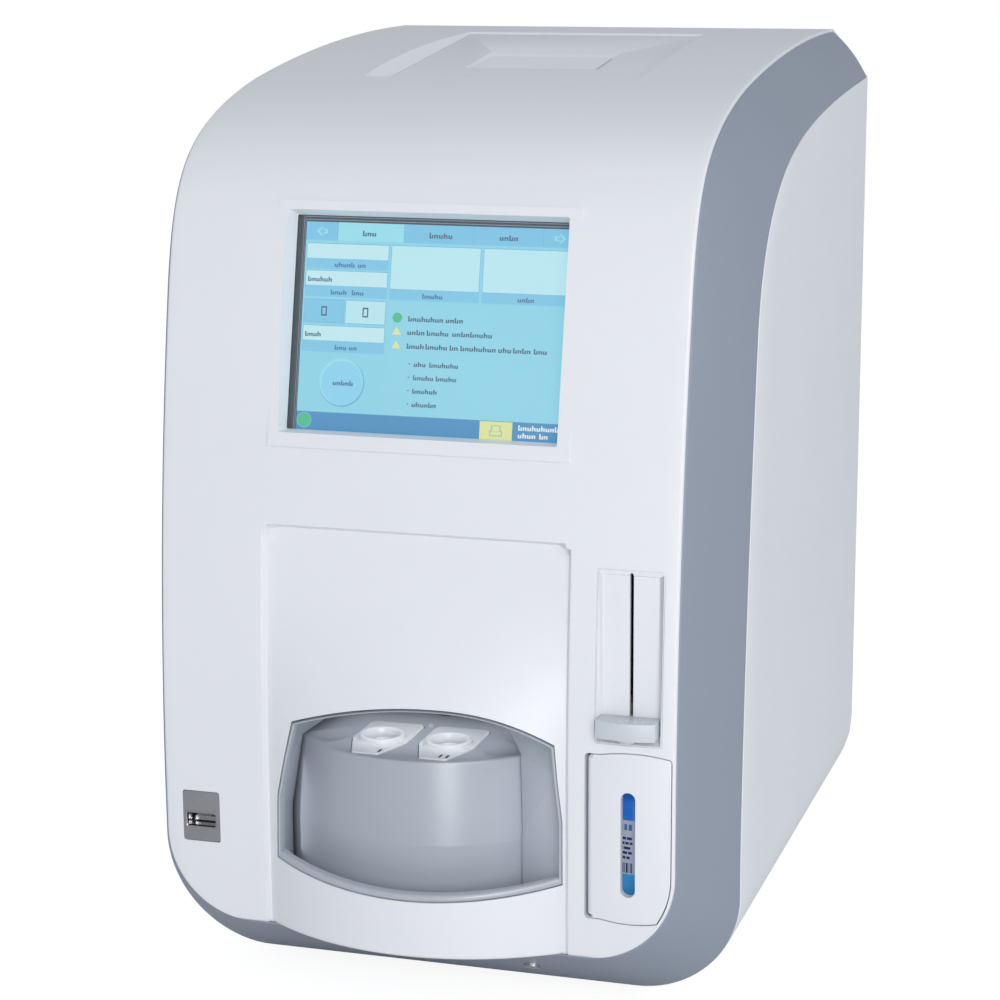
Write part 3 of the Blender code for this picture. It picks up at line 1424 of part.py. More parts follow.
def make_bay(grey):
    """The reagent bay: a cup with the door's outline, and the guide rod's socket on top."""
    back = bay_front() + BAY_DEPTH
    outer = door_outline(DOOR_GAP + BAY_WALL - SEAM, True)
    inner = door_outline(DOOR_GAP - SEAM, True)
    bay = plate("reagent_bay", [outer], bay_front(), back, "XZ", grey)
    cut(bay, plate("bay_hollow", [inner], depth(-OVERRUN), back - BAY_WALL, "XZ"))
    hole = rod("sipper_hole", TUBE_RADIUS * 2, DOOR_BOTTOM + OVERRUN, DOOR_TOP + 2 * OVERRUN, steps=12)
    put(hole, (BOTTLE_X, depth(BOTTLE_DEPTH), 0))
    cut(bay, hole)
    post = rod("guide_socket", GUIDE_RADIUS + SEAT, DOOR_TOP, DOOR_TOP + 2 * OVERRUN, steps=12)
    put(post, (GUIDE_X, depth(BOTTLE_DEPTH), 0))
    boss_top = DOOR_TOP + DOOR_ARCH + BAY_WALL + GUIDE_SHELF
    boss = rod("guide_boss", GUIDE_BOSS, DOOR_TOP + DOOR_ARCH, boss_top, steps=16)
    put(boss, (GUIDE_X, depth(BOTTLE_DEPTH), 0))
    join(bay, boss)
    cut(bay, post)
    return bay


def make_bottle(blue, white):
    floor = BOTTLE_FLOOR
    wall = BOTTLE_WALL
    body = floor + BOTTLE_BODY
    shoulder = body + BOTTLE_SHOULDER
    neck = shoulder + BOTTLE_NECK_HEIGHT
    radius = BOTTLE_RADIUS
    profile = [
        (0, floor + wall), (radius - wall, floor + 2 * wall), (radius - wall, body - wall / 2),
        (BOTTLE_NECK - wall, shoulder - wall / 2), (BOTTLE_NECK - wall, neck), (BOTTLE_NECK, neck),
        (BOTTLE_NECK, shoulder), (radius, body), (radius, floor + wall), (radius - wall, floor), (0, floor),
    ]
    bottle = turned("reagent_bottle", profile, blue, 28)
    hole = TUBE_RADIUS * 2
    cap_low = shoulder + SEAT
    cap_top = cap_low + CAP_HEIGHT
    under = neck + SEAT
    bore = BOTTLE_NECK + SEAT
    cap_profile = [
        (hole, cap_top), (CAP_RADIUS - CAP_WALL / 2, cap_top), (CAP_RADIUS, cap_top - CAP_WALL / 2),
        (CAP_RADIUS, cap_low), (bore, cap_low), (bore, under), (hole, under),
    ]
    cap = turned("bottle_cap", cap_profile, white, 28, closed=True)
    for item in (bottle, cap):
        put(item, (BOTTLE_X, depth(BOTTLE_DEPTH), 0))


# Lever and sipper
def track_y(z):
    """World Y of the track's sloping face at a height."""
    share = (z - TRACK_BOTTOM) / TRACK_LENGTH
    bottom = face_y(TRACK_BOTTOM) + TRACK_SINK_BOTTOM
    top = face_y(TRACK_TOP) + TRACK_SINK_TOP
    return bottom + share * (top - bottom)


def make_track(white):
    """The lever's track: a tray sunk deepest at its foot, with the slit down its middle."""
    front = face_y(TRACK_BOTTOM)
    deep = track_y(TRACK_BOTTOM) + TRACK_BACK
    back = max(track_y(TRACK_TOP) + TRACK_BACK, deep)
    left, right = TRACK_LEFT + SEAT, TRACK_RIGHT - SEAT
    low, high = TRACK_BOTTOM + SEAT, TRACK_TOP - SEAT
    middle = (low + high) / 2
    section = [(front, low), (deep, low), (back, high), (face_y(high), high), (face_y(middle), middle)]
    track = plate("lever_track", [section], left, right, "YZ", white)
    floor_low = low + TRACK_RIM
    floor_high = high - TRACK_RIM
    wedge = [
        (front - OVERRUN, floor_low), (track_y(floor_low), floor_low),
        (track_y(floor_high), floor_high), (front - OVERRUN, floor_high),
    ]
    cut(track, plate("track_floor", [wedge], left + TRACK_RIM, right - TRACK_RIM, "YZ"))
    half = SLIT_WIDTH / 2
    slit_low = (TRACK_X - half, front - OVERRUN, SLIT_BOTTOM)
    slit_high = (TRACK_X + half, deep + 3 * OVERRUN, SLIT_TOP)
    cut(track, block("track_slit", slit_low, slit_high))


def make_lever(grey, nylon, steel):
    """Knob with its blade, carriage on the guide rod, and the tube that it lowers into the bottle."""
    back = depth(KNOB_BACK_DEPTH)
    front = back - KNOB_DEPTH
    left = TRACK_X - KNOB_WIDTH / 2
    right = TRACK_X + KNOB_WIDTH / 2
    crown = []
    for index in range(7):
        t = index / 6
        crown.append((left + (right - left) * t, front + KNOB_CROWN * (1 - 4 * t * (1 - t))))
    outline = crown + [(right, back), (left, back)]
    top = KNOB_BOTTOM + KNOB_HEIGHT
    knob = plate("lever_knob", [outline], KNOB_BOTTOM, top, "XY", grey)
    round_edges(knob, KNOB_BEVEL, 2, math.radians(50))
    tab_low = KNOB_BOTTOM - KNOB_TAB_THICKNESS
    tab = rod("knob_tab", KNOB_TAB_RADIUS, tab_low, KNOB_BOTTOM + KNOB_TAB_THICKNESS)
    put(tab, (TRACK_X, back - KNOB_TAB_RADIUS - KNOB_BEVEL, 0))
    join(knob, tab)
    half = BLADE_WIDTH / 2
    blade_low = SLIT_BOTTOM + SEAT
    carriage_front = depth(CARRIAGE_FRONT_DEPTH)
    blade_back = carriage_front + CARRIAGE_DEPTH / 4
    blade_top = (TRACK_X + half, blade_back, blade_low + BLADE_HEIGHT)
    join(knob, block("lever_blade", (TRACK_X - half, back - KNOB_BEVEL, blade_low), blade_top))
    left = BOTTLE_X - CARRIAGE_WIDTH / 3
    low = blade_low - CARRIAGE_HEIGHT / 4
    high = low + CARRIAGE_HEIGHT
    carriage_high = (left + CARRIAGE_WIDTH, carriage_front + CARRIAGE_DEPTH, high)
    carriage = block("lever_carriage", (left, carriage_front, low), carriage_high, nylon)
    notch_low = (TRACK_X - half - SEAT, carriage_front - SEAT, blade_low - SEAT)
    notch_high = (TRACK_X + half + SEAT, blade_back + SEAT, blade_low + BLADE_HEIGHT + SEAT)
    cut(carriage, block("blade_notch", notch_low, notch_high))
    place = depth(BOTTLE_DEPTH)
    guide_bore = rod("carriage_bore", GUIDE_RADIUS + SEAT, low - OVERRUN, high + OVERRUN, steps=12)
    put(guide_bore, (GUIDE_X, place, 0))
    tube_bore = rod("tube_bore", TUBE_RADIUS + SEAT, low - OVERRUN, high + OVERRUN, steps=12)
    put(tube_bore, (BOTTLE_X, place, 0))
    cut(carriage, guide_bore, tube_bore)
    tube = ring("sipper_tube", TUBE_RADIUS, TUBE_RADIUS - TUBE_WALL, TUBE_LOW, high, steel, 12)
    put(tube, (BOTTLE_X, place, 0))
    rod_low = DOOR_TOP + DOOR_ARCH + BAY_WALL / 2
    rod_high = high + LEVER_TRAVEL + GUIDE_SHELF
    guide = rod("guide_rod", GUIDE_RADIUS, rod_low, rod_high, steel, 12)
    put(guide, (GUIDE_X, place, 0))
    return knob, carriage, tube


# Printer
def make_printer(white, black, paper, steel):
    place, turn = lid_hinge_place()
    half = LID_WIDTH / 2
    top = LID_HINGE
    under = LID_HINGE - LID_THICKNESS
    front = LID_HINGE - LID_LENGTH
    lid = block("printer_lid", (-half, front, under), (half, 0, top), white)
    barrel = rod("lid_barrel", LID_HINGE, -half, half, steps=16)
    put(barrel, place, (0, math.pi / 2, 0))
    scoop_low = front + SCOOP_FRONT
    wide = SCOOP_WIDTH / 2
    floor = top - SCOOP_SINK
    scoop = block("lid_scoop", (-wide, scoop_low, floor), (wide, scoop_low + SCOOP_LENGTH, top + OVERRUN))
    slit_high = (wide, scoop_low + SCOOP_SLIT, top + OVERRUN)
    slit = block("lid_slit", (-wide, scoop_low, under - OVERRUN), slit_high)
    join(lid, barrel)
    lugs = []
    lug_x = PAPER_WIDTH / 2 + 2 * SEAT
    roller_y = -PLATEN_OFFSET + PLATEN_RADIUS
    roller_z = under - SEAT - PLATEN_RADIUS
    for name, sign in (("left_lug", -1), ("right_lug", 1)):
        near, far = sorted((sign * lug_x, sign * (lug_x + PLATEN_LUG)))
        low_z = under - PLATEN_LUG_HEIGHT
        lug_high = (far, roller_y + PLATEN_RADIUS, under + SEAM)
        lug = block(name, (near, roller_y - PLATEN_RADIUS, low_z), lug_high)
        lugs.append(put(lug, place, turn))
    for item in (lid, scoop, slit):
        put(item, place, turn)
    join(lid, *lugs)
    roller_place = printer_point(roller_y, roller_z)
    shaft_half = lug_x + PLATEN_LUG
    bore_half = shaft_half + OVERRUN
    lug_bore = rod("lug_axle_bore", PLATEN_SHAFT + SEAT, -bore_half, bore_half, steps=12)
    put(lug_bore, roller_place, (0, math.pi / 2, 0))
    cut(lid, scoop, slit, lug_bore, pin_bore("lid_bore", LID_PIN + PIN_CLEARANCE, half + OVERRUN))
    pin = rod("lid_hinge_pin", LID_PIN, -half - PIN_OVERLAP, half + PIN_OVERLAP, steel, 12)
    put(pin, place, (0, math.pi / 2, 0))
    face = PAPER_WIDTH / 2
    profile = [
        (0, shaft_half), (PLATEN_SHAFT, shaft_half), (PLATEN_SHAFT, face), (PLATEN_RADIUS, face),
        (PLATEN_RADIUS, -face), (PLATEN_SHAFT, -face), (PLATEN_SHAFT, -shaft_half), (0, -shaft_half),
    ]
    put(turned("platen_roller", profile, black, 20), roller_place, (0, math.pi / 2, 0))
    sheet_low = floor + SEAT
    start = scoop_low + SCOOP_SLIT / 2
    outline = [
        (start, sheet_low - PAPER_LEG), (start + PAPER_THICKNESS, sheet_low - PAPER_LEG),
        (start + PAPER_THICKNESS, sheet_low), (start + PAPER_LENGTH, sheet_low),
        (start + PAPER_LENGTH, sheet_low + PAPER_THICKNESS), (start, sheet_low + PAPER_THICKNESS),
    ]
    strip = plate("paper_strip", [outline], -face, face, "YZ", paper)
    put(strip, place, turn)
    return lid, strip


def printer_point(y, z):
    """World place of a point given along and across the tilted lid, from its hinge axis."""
    place, _ = lid_hinge_place()
    c, s = math.cos(LID_TILT), math.sin(LID_TILT)
    return (0, place[1] + y * c - z * s, place[2] + y * s + z * c)


def make_paper_bucket(black, paper, grey):
    """The bucket that hangs from the roof's collar, the roll that lies in it, and the print head."""
    place, turn = lid_hinge_place()
    top = LID_HINGE - LID_REAR_SINK - LID_COLLAR - SEAT
    half = BUCKET_WIDTH / 2
    rear = -BUCKET_FRONT
    front = rear - BUCKET_LENGTH
    bottom = top - BUCKET_DROP
    wall = BUCKET_WALL
    bucket = block("printer_bucket", (-half, front, bottom), (half, rear, top), grey)
    hollow_low = (wall - half, front + wall, bottom + wall)
    hollow = block("bucket_hollow", hollow_low, (half - wall, rear - wall, top + OVERRUN))
    for item in (bucket, hollow):
        put(item, place, turn)
    cut(bucket, hollow)
    lip = 2 * wall
    flange = block("bucket_flange", (-half - lip, front - lip, top - wall), (half + lip, rear + lip, top))
    opening_low = (wall - half, front + wall, top - lip)
    opening = block("flange_opening", opening_low, (half - wall, rear - wall, top + wall))
    for item in (flange, opening):
        put(item, place, turn)
    join(bucket, flange)
    cut(bucket, opening)
    face = PAPER_WIDTH / 2
    roll = ring("paper_roll", ROLL_RADIUS, ROLL_CORE, -face, face, paper, 32)
    roll_place = printer_point(-ROLL_OFFSET, bottom + wall + SEAT + ROLL_RADIUS)
    put(roll, roll_place, (0, math.pi / 2, 0))
    under = LID_HINGE - LID_THICKNESS
    head_top = under - 2 * PLATEN_RADIUS - 3 * SEAT
    head_y = -PLATEN_OFFSET + PLATEN_RADIUS
    head_low = (-face, head_y - HEAD_LENGTH / 2, bottom + wall + SEAT)
    head = block("print_head", head_low, (face, head_y + HEAD_LENGTH / 2, head_top), black)
    put(head, place, turn)


# USB port
def make_usb(steel):
    near = depth(USB_SINK)
    far = near + USB_PLATE_THICKNESS
    outline = rounded_rectangle(USB_LEFT, USB_RIGHT, USB_BOTTOM, USB_TOP, USB_CORNER)
    hole = rectangle(PORT_X, PORT_Z, PORT_WIDTH, PORT_HEIGHT)
    plate("usb_plate", [outline, hole], near, far, "XZ", steel)
    back = far + SEAT
    shell = rectangle(PORT_X, PORT_Z, PORT_WIDTH, PORT_HEIGHT, PORT_WALL)
    socket = plate("usb_socket", [shell], back, back + PORT_DEPTH, "XZ", steel)
    cavity = rectangle(PORT_X, PORT_Z, PORT_WIDTH, PORT_HEIGHT)
    cut(socket, plate("usb_cavity", [cavity], back - OVERRUN, back + PORT_DEPTH - PORT_WALL, "XZ"))
    high = PORT_Z - TONGUE_HEIGHT / 4
    low = high - TONGUE_HEIGHT
    half = TONGUE_WIDTH / 2
    root = back + PORT_DEPTH - PORT_WALL / 2
    join(socket, block("usb_tongue", (PORT_X - half, back + TONGUE_SINK, low), (PORT_X + half, root, high)))


# Inner frame and blocks
def make_frame(sheet):
    """The bent sheet frame: floor, two slanted bends and two upright sides."""
    floor = BASE_FLOOR + SEAT
    outer = [
        (-FRAME_HALF, FRAME_TOP), (-FRAME_HALF, FRAME_BEND_Z), (-FRAME_FLOOR_HALF, floor),
        (FRAME_FLOOR_HALF, floor), (FRAME_HALF, FRAME_BEND_Z), (FRAME_HALF, FRAME_TOP),
    ]
    inner = shifted(outer, FRAME_WALL)
    inner = [(x, max(z, floor + FRAME_WALL)) for x, z in inner]
    return plate(
        "inner_frame", [outer + inner[::-1]], depth(FRAME_FRONT_DEPTH), depth(FRAME_REAR_DEPTH), "XZ", sheet
    )


def make_inner_blocks(board, sheet, black):
    low = FRAME_FLOOR_TOP + SEAT
    wall_x = -FRAME_HALF + FRAME_WALL + SEAT
    board_x = wall_x + BOARD_STANDOFF
    near, far = depth(BOARD_FRONT_DEPTH), depth(BOARD_REAR_DEPTH)
    board_high = (board_x + BOARD_THICKNESS, far, BOARD_TOP)
    main = block("main_board", (board_x, near, BOARD_BOTTOM), board_high, board)
    inset = BOARD_STANDOFF
    for row, z in enumerate((BOARD_BOTTOM + inset, BOARD_TOP - inset)):
        for column, y in enumerate((near + inset, far - inset)):
            post = rod(f"standoff_{row}_{column}", BOARD_STANDOFF_RADIUS, wall_x, board_x + SEAT, steps=10)
            put(post, (0, y, z), (0, math.pi / 2, 0))
            join(main, post)
    chip = BOARD_STANDOFF * 3
    face = board_x + BOARD_THICKNESS - SEAT
    for index in range(3):
        y = near + chip + index * 2 * chip
        z = BOARD_BOTTOM + chip
        join(main, block(f"chip_{index}", (face, y, z), (face + BOARD_STANDOFF / 2, y + chip, z + chip)))
    width, length, height = SUPPLY_SIZE
    y = depth(SUPPLY_DEPTH)
    supply_low = (SUPPLY_X - width / 2, y - length / 2, low)
    supply = block("power_supply", supply_low, (SUPPLY_X + width / 2, y + length / 2, low + height), sheet)
    round_edges(supply, FRAME_WALL, 1)
    end, edge = PUMP_LENGTH / 2, PUMP_RADIUS - FRAME_WALL
    pump_profile = [
        (0, end), (edge, end), (PUMP_RADIUS, end - FRAME_WALL),
        (PUMP_RADIUS, FRAME_WALL - end), (edge, -end), (0, -end),
    ]
    pump = turned("vacuum_pump", pump_profile, black, 24)
    centre_z = low + PUMP_FOOT + PUMP_RADIUS
    y = depth(PUMP_DEPTH)
    put(pump, (PUMP_X, y, centre_z), (math.pi / 2, 0, 0))
    half = PUMP_FOOT_SIDE / 2
    foot_high = (PUMP_X + half, y + half, centre_z - PUMP_RADIUS / 2)
    foot = block("pump_foot", (PUMP_X - half, y - half, low), foot_high)
    join(pump, foot)


# Rear: fan, inlet and switch
def make_fan(black):
    back = SHELL_REAR_Y + SEAM - SEAT
    front = back - FAN_THICKNESS
    half = FAN_SIDE / 2
    outline = rounded_rectangle(FAN_X - half, FAN_X + half, FAN_Z - half, FAN_Z + half, FAN_STRUT, 3)
    bore = arc((FAN_X, FAN_Z), FAN_BORE, 0, 2 * math.pi * 39 / 40, 39)
    frame = plate("fan_frame", [outline, bore], front, back, "XZ", black)
    centre = (FAN_X, front + FAN_STRUT_DEPTH, FAN_Z)
    hub = rod("fan_motor", FAN_PLATE_RADIUS, -FAN_STRUT_DEPTH, 0, steps=20)
    put(hub, centre, (-math.pi / 2, 0, 0))
    join(frame, hub)
    for index in range(3):
        strut_high = (FAN_BORE + FAN_STRUT / 2, FAN_STRUT_DEPTH - SEAM, FAN_STRUT / 2)
        strut = block(f"fan_strut_{index}", (0, SEAM, -FAN_STRUT / 2), strut_high)
        put(strut, (FAN_X, front, FAN_Z), (0, math.radians(120) * index + math.pi / 6, 0))
        join(frame, strut)
    start = front + FAN_STRUT_DEPTH + SEAT
    length = back - start - FAN_STRUT_DEPTH
    rotor = rod("fan_rotor", FAN_HUB, 0, length, black, 20)
    put(rotor, (FAN_X, start, FAN_Z), (-math.pi / 2, 0, 0))
    for index in range(FAN_BLADES):
        blade = block(
            f"fan_blade_{index}", (FAN_HUB - SEAM, -FAN_BLADE_HEIGHT / 2, -FAN_BLADE_THICKNESS / 2),
            (FAN_HUB - SEAM + FAN_BLADE_WIDTH - SEAM, FAN_BLADE_HEIGHT / 2, FAN_BLADE_THICKNESS / 2),
        )
        turn = Matrix.Rotation(2 * math.pi * index / FAN_BLADES, 4, "Y")
        pitch = Matrix.Rotation(FAN_BLADE_PITCH, 4, "X")
        blade.matrix_world = Matrix.Translation((FAN_X, start + length / 2, FAN_Z)) @ turn @ pitch
        join(rotor, blade)


def make_mains(black):
    """The mains inlet with its three pins, and the rocker switch above it."""
    outer = SHELL_REAR_Y + SEAM
    shell = rectangle(INLET_X, INLET_Z, INLET_WIDTH, INLET_HEIGHT)
    inlet = plate("power_inlet", [shell], outer - INLET_DEPTH, REAR_Y, "XZ", black)
    flange = rectangle(INLET_X, INLET_Z, INLET_WIDTH, INLET_HEIGHT, INLET_FLANGE)
    near = outer - SEAT - INLET_FLANGE_THICKNESS
    join(inlet, plate("inlet_flange", [flange], near, outer - SEAT, "XZ"))
    cavity = rectangle(INLET_X, INLET_Z, INLET_WIDTH, INLET_HEIGHT, -INLET_WALL)
    cut(inlet, plate("inlet_cavity", [cavity], outer - INLET_DEPTH + INLET_WALL, REAR_Y + OVERRUN, "XZ"))
    for index in (-1, 0, 1):
        x = INLET_X + index * INLET_PIN_PITCH
        root = outer - INLET_DEPTH + INLET_WALL / 2
        low = (x - INLET_PIN_WIDTH / 2, root, INLET_Z - INLET_PIN_HEIGHT / 2)
        high = (x + INLET_PIN_WIDTH / 2, REAR_Y - INLET_PIN_SINK, INLET_Z + INLET_PIN_HEIGHT / 2)
        join(inlet, block(f"inlet_pin_{index + 1}", low, high))
    case = rectangle(INLET_X, SWITCH_Z, SWITCH_WIDTH, SWITCH_HEIGHT)
    housing = plate("switch_housing", [case], outer - SWITCH_DEPTH, REAR_Y, "XZ", black)
    flange = rectangle(INLET_X, SWITCH_Z, SWITCH_WIDTH, SWITCH_HEIGHT, SWITCH_FLANGE)
    join(housing, plate("switch_flange", [flange], near, outer - SEAT, "XZ"))
    hollow = rectangle(INLET_X, SWITCH_Z, SWITCH_WIDTH, SWITCH_HEIGHT, -SWITCH_WALL)
    floor = outer - SWITCH_DEPTH + SWITCH_WALL
    cut(housing, plate("switch_cavity", [hollow], floor, REAR_Y + OVERRUN, "XZ"))
    make_rocker(black)


def rocker_axis():
    return (INLET_X, REAR_Y - ROCKER_THICKNESS, SWITCH_Z)


def make_rocker(black):
    """The rocker: two faces that meet in a shallow V over its pivot, tipped to its off side."""
    half = SWITCH_WIDTH / 2 - SWITCH_WALL - ROCKER_GAP
    tall = SWITCH_HEIGHT / 2 - SWITCH_WALL - ROCKER_GAP / 2
    rise = half * math.tan(ROCKER_TILT)
    crest = ROCKER_THICKNESS / 2
    keel = SHELL_REAR_Y + SEAM - SWITCH_DEPTH + SWITCH_WALL + SEAT - rocker_axis()[1]
    nib = SWITCH_WALL
    outline = [
        (-half, crest + rise), (0, crest), (half, crest - rise), (half, -crest / 2), (nib, -crest),
        (nib, keel), (-nib, keel), (-nib, -crest), (-half, -crest / 2),
    ]
    rocker = plate("power_rocker", [outline[::-1]], SWITCH_Z - tall, SWITCH_Z + tall, "XY", black)
    axis = rocker_axis()
    put(rocker, (axis[0], axis[1], 0))


def build():
    finishes = make_finishes()
    white, grey, steel, black = (finishes[key] for key in ("white", "grey", "steel", "black"))
    make_hood(white)
    make_surround(grey)
    make_side_panel("left_side_panel", -1, finishes["panel"])
    make_side_panel("right_side_panel", 1, finishes["panel"])
    make_base(grey)
    make_base_screw(steel)
    make_feet(finishes["rubber"])
    make_rear_panel(finishes["panel"])
    make_screen(finishes["glass"], finishes["display"], finishes["sheet"])
    drum = make_drum(finishes["drum"])
    cassettes = [make_cassette(*place, finishes["cassette"]) for place in cassette_places()]
    make_bezel(finishes["drum"])
    drive = make_carousel_drive(steel, finishes["nylon"], finishes["aluminium"], black)
    shaft, gear, pinion, motor_axis = drive
    carousel = pivot("carousel_pivot", (CAROUSEL_X, depth(CAROUSEL_DEPTH), DRUM_TOP))
    carry(carousel, drum, shaft, gear, *cassettes)
    carry(pivot("pinion_pivot", (motor_axis[0], motor_axis[1], GEAR_BOTTOM)), pinion)
    make_incubator(finishes["aluminium"])
    door = make_door(white, steel)
    carry(pivot("door_pivot", (*door_axis(), DOOR_BOTTOM)), door)
    make_bay(finishes["drum"])
    make_bottle(finishes["blue"], white)
    make_track(white)
    lever = make_lever(finishes["knob"], finishes["nylon"], steel)
    carry(pivot("lever_pivot", (TRACK_X, depth(TRACK_SINK_BOTTOM), SLIT_BOTTOM)), *lever)
    lid, strip = make_printer(white, black, finishes["paper"], steel)
    carry(pivot("lid_pivot", lid_hinge_place()[0]), lid, strip)
    make_paper_bucket(black, finishes["paper"], grey)
    make_usb(steel)
    make_frame(finishes["sheet"])
    make_inner_blocks(finishes["board"], finishes["sheet"], black)
    make_fan(black)
    make_mains(black)


clear_scene()
PARTS = make_collection("coagulation_analyser")
CUTTERS = make_collection("cutters")
build()
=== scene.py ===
"""Bench coagulation analyser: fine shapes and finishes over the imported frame, floor, lights and camera."""

import json
import logging
import math
from contextlib import contextmanager
from dataclasses import dataclass, field
from enum import Enum
from typing import Iterable, Iterator, Optional, Sequence, Union

import bmesh
import bpy
from mathutils import Matrix, Vector


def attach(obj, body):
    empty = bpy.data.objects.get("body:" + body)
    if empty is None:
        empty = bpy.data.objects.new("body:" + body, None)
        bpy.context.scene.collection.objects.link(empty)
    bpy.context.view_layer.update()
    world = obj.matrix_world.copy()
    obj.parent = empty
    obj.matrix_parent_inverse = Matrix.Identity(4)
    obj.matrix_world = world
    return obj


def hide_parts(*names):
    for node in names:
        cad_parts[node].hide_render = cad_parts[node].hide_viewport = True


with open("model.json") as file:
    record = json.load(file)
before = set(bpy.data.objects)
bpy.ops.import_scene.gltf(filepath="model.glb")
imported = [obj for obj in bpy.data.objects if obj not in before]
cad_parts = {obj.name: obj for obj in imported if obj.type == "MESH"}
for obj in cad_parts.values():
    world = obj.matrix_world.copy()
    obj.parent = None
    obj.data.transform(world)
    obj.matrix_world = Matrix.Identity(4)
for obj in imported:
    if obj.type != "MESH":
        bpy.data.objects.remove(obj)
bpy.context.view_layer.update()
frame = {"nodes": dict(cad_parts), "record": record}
LOG = logging.getLogger("analyser")

Vec2 = tuple[float, float]
Vec3 = tuple[float, float, float]
Object = bpy.types.Object
Material = bpy.types.Material
Rect = tuple[float, float, float, float]
Value = Union["Wire", float, Sequence[float], bpy.types.ID]
ORIGIN: Vec3 = (0.0, 0.0, 0.0)
ACROSS: Vec3 = (1.0, 0.0, 0.0)
BACKWARDS: Vec3 = (0.0, 1.0, 0.0)
UPWARDS: Vec3 = (0.0, 0.0, 1.0)
WHITE: Vec3 = (1.0, 1.0, 1.0)


class Body(Enum):
    """The moving bodies that pieces ride on."""

    HOUSING = "housing"
    CAROUSEL = "carousel"
    FIRST_CASSETTE = "first_cassette"
    SECOND_CASSETTE = "second_cassette"
    DOOR = "door"
    LEVER = "lever"
    LID = "lid"
    FAN = "fan"


class Plane(Enum):
    """World planes for flat outlines: the axis across each one, and the turn that brings it there."""

    XY = (2, ORIGIN)
    XZ = (1, (math.pi / 2, 0.0, 0.0))
    YZ = (0, (math.pi / 2, 0.0, math.pi / 2))


class Join(Enum):
    """How one solid is combined with others."""

    ADD = "UNION"
    CUT = "DIFFERENCE"


# Materials


class Wire:
    """A shader value that adds Math nodes when it is used in an expression."""

    def __init__(self, tree: "NodeTree", socket: Optional[bpy.types.NodeSocket]) -> None:
        """Wraps an output socket of a tree."""
        self.tree = tree
        self.socket = socket

    def _math(self, operation: str, first: Value, second: Value) -> "Wire":
        """Adds a Math node for one operation on two operands."""
        return self.tree.node("ShaderNodeMath", {"operation": operation}, {0: first, 1: second})

    def __add__(self, other: Value) -> "Wire":
        """self + other."""
        return self._math("ADD", self, other)

    def __rsub__(self, other: Value) -> "Wire":
        """other - self."""
        return self._math("SUBTRACT", other, self)

    def __mul__(self, other: Value) -> "Wire":
        """self * other."""
        return self._math("MULTIPLY", self, other)


class NodeTree:
    """The nodes of a material, a world or a group, with one method that makes every node."""

    def __init__(self, tree: bpy.types.NodeTree) -> None:
        """Takes over a tree."""
        self.tree = tree

    def node(self, kind: str, settings: Optional[dict] = None, inputs: Optional[dict] = None,
             output: Union[int, str] = 0) -> Wire:
        """Adds a node, sets it, fills its sockets and gives one of its outputs.

        Args:
            kind: The node's type.
            settings: Its properties.
            inputs: Values or wires for sockets, by name or number.
            output: The output to hand back.

        Returns:
            The chosen output as a value, without a socket where the node has none.
        """
        made = self.tree.nodes.new(kind)
        for key, value in (settings or {}).items():
            setattr(made, key, value)
        for key, value in (inputs or {}).items():
            self.feed(made.inputs[key], value)
        return Wire(self, made.outputs[output] if made.outputs else None)

    def feed(self, socket: bpy.types.NodeSocket, value: Value) -> None:
        """Links a wire to a socket, or sets its value.

        Args:
            socket: The input.
            value: A wire, number, colour, vector or data block.
        """
        if isinstance(value, Wire):
            self.tree.links.new(value.socket, socket)
            return
        colour = isinstance(value, tuple) and len(value) == 3 and len(socket.default_value) == 4
        socket.default_value = (*value, 1.0) if colour else value

    def place(self) -> Wire:
        """The point on the piece, in its own coordinates."""
        return self.node("ShaderNodeTexCoord", output="Object")

    def stretched(self, scale: Vec3) -> Wire:
        """The point on the piece, scaled along each axis."""
        sockets = {"Vector": self.place(), "Scale": scale}
        return self.node("ShaderNodeMapping", {"vector_type": "POINT"}, sockets)

    def noise(self, scale: float, detail: float = 2.0, place: Optional[Wire] = None,
              rough: float = 0.5) -> Wire:
        """Smooth noise from 0 to 1.

        Args:
            scale: Waves per metre.
            detail: Octaves.
            place: Where it is read, the piece's own coordinates if left out.
            rough: Share of the finer octaves.

        Returns:
            The noise value.
        """
        sockets = {"Vector": place or self.place(), "Scale": scale, "Detail": detail, "Roughness": rough}
        return self.node("ShaderNodeTexNoise", None, sockets)

    def blend(self, share: Value, first: Value, second: Value) -> Wire:
        """A colour between two colours.

        Args:
            share: 0 for the first, 1 for the second.
            first: A colour.
            second: Another colour.

        Returns:
            The mixed colour.
        """
        settings = {"data_type": "RGBA", "clamp_factor": True}
        return self.node("ShaderNodeMix", settings, {0: share, 6: first, 7: second}, output=2)

    def bump(self, height: Wire, distance: float) -> Wire:
        """A normal raised by a height from 0 to 1, where 1 stands for a distance in metres."""
        return self.node("ShaderNodeBump", None, {"Height": height, "Distance": distance, "Strength": 1.0})

    def dress(self, **sockets: Value) -> None:
        """Fills the Principled shader's sockets, named with underscores for spaces."""
        for key, value in sockets.items():
            self.feed(self.tree.nodes["Principled BSDF"].inputs[key.replace("_", " ")], value)

    def show(self, end: str, share: Wire, first: Wire, second: Wire) -> None:
        """Ends the tree in a mix of two shaders.

        Args:
            end: The output node.
            share: 0 for the first shader, 1 for the second.
            first: A shader.
            second: Another shader.
        """
        mix = self.node("ShaderNodeMixShader", None, {0: share, 1: first, 2: second})
        self.feed(self.tree.nodes[end].inputs["Surface"], mix)

    def rays(self, kind: str) -> Wire:
        """One for rays of a kind, else zero."""
        return self.node("ShaderNodeLightPath", output=kind)


def dimmed(colour: Vec3, share: float) -> Vec3:
    """A colour with a share of its light taken away."""
    return tuple(level * (1 - share) for level in colour)


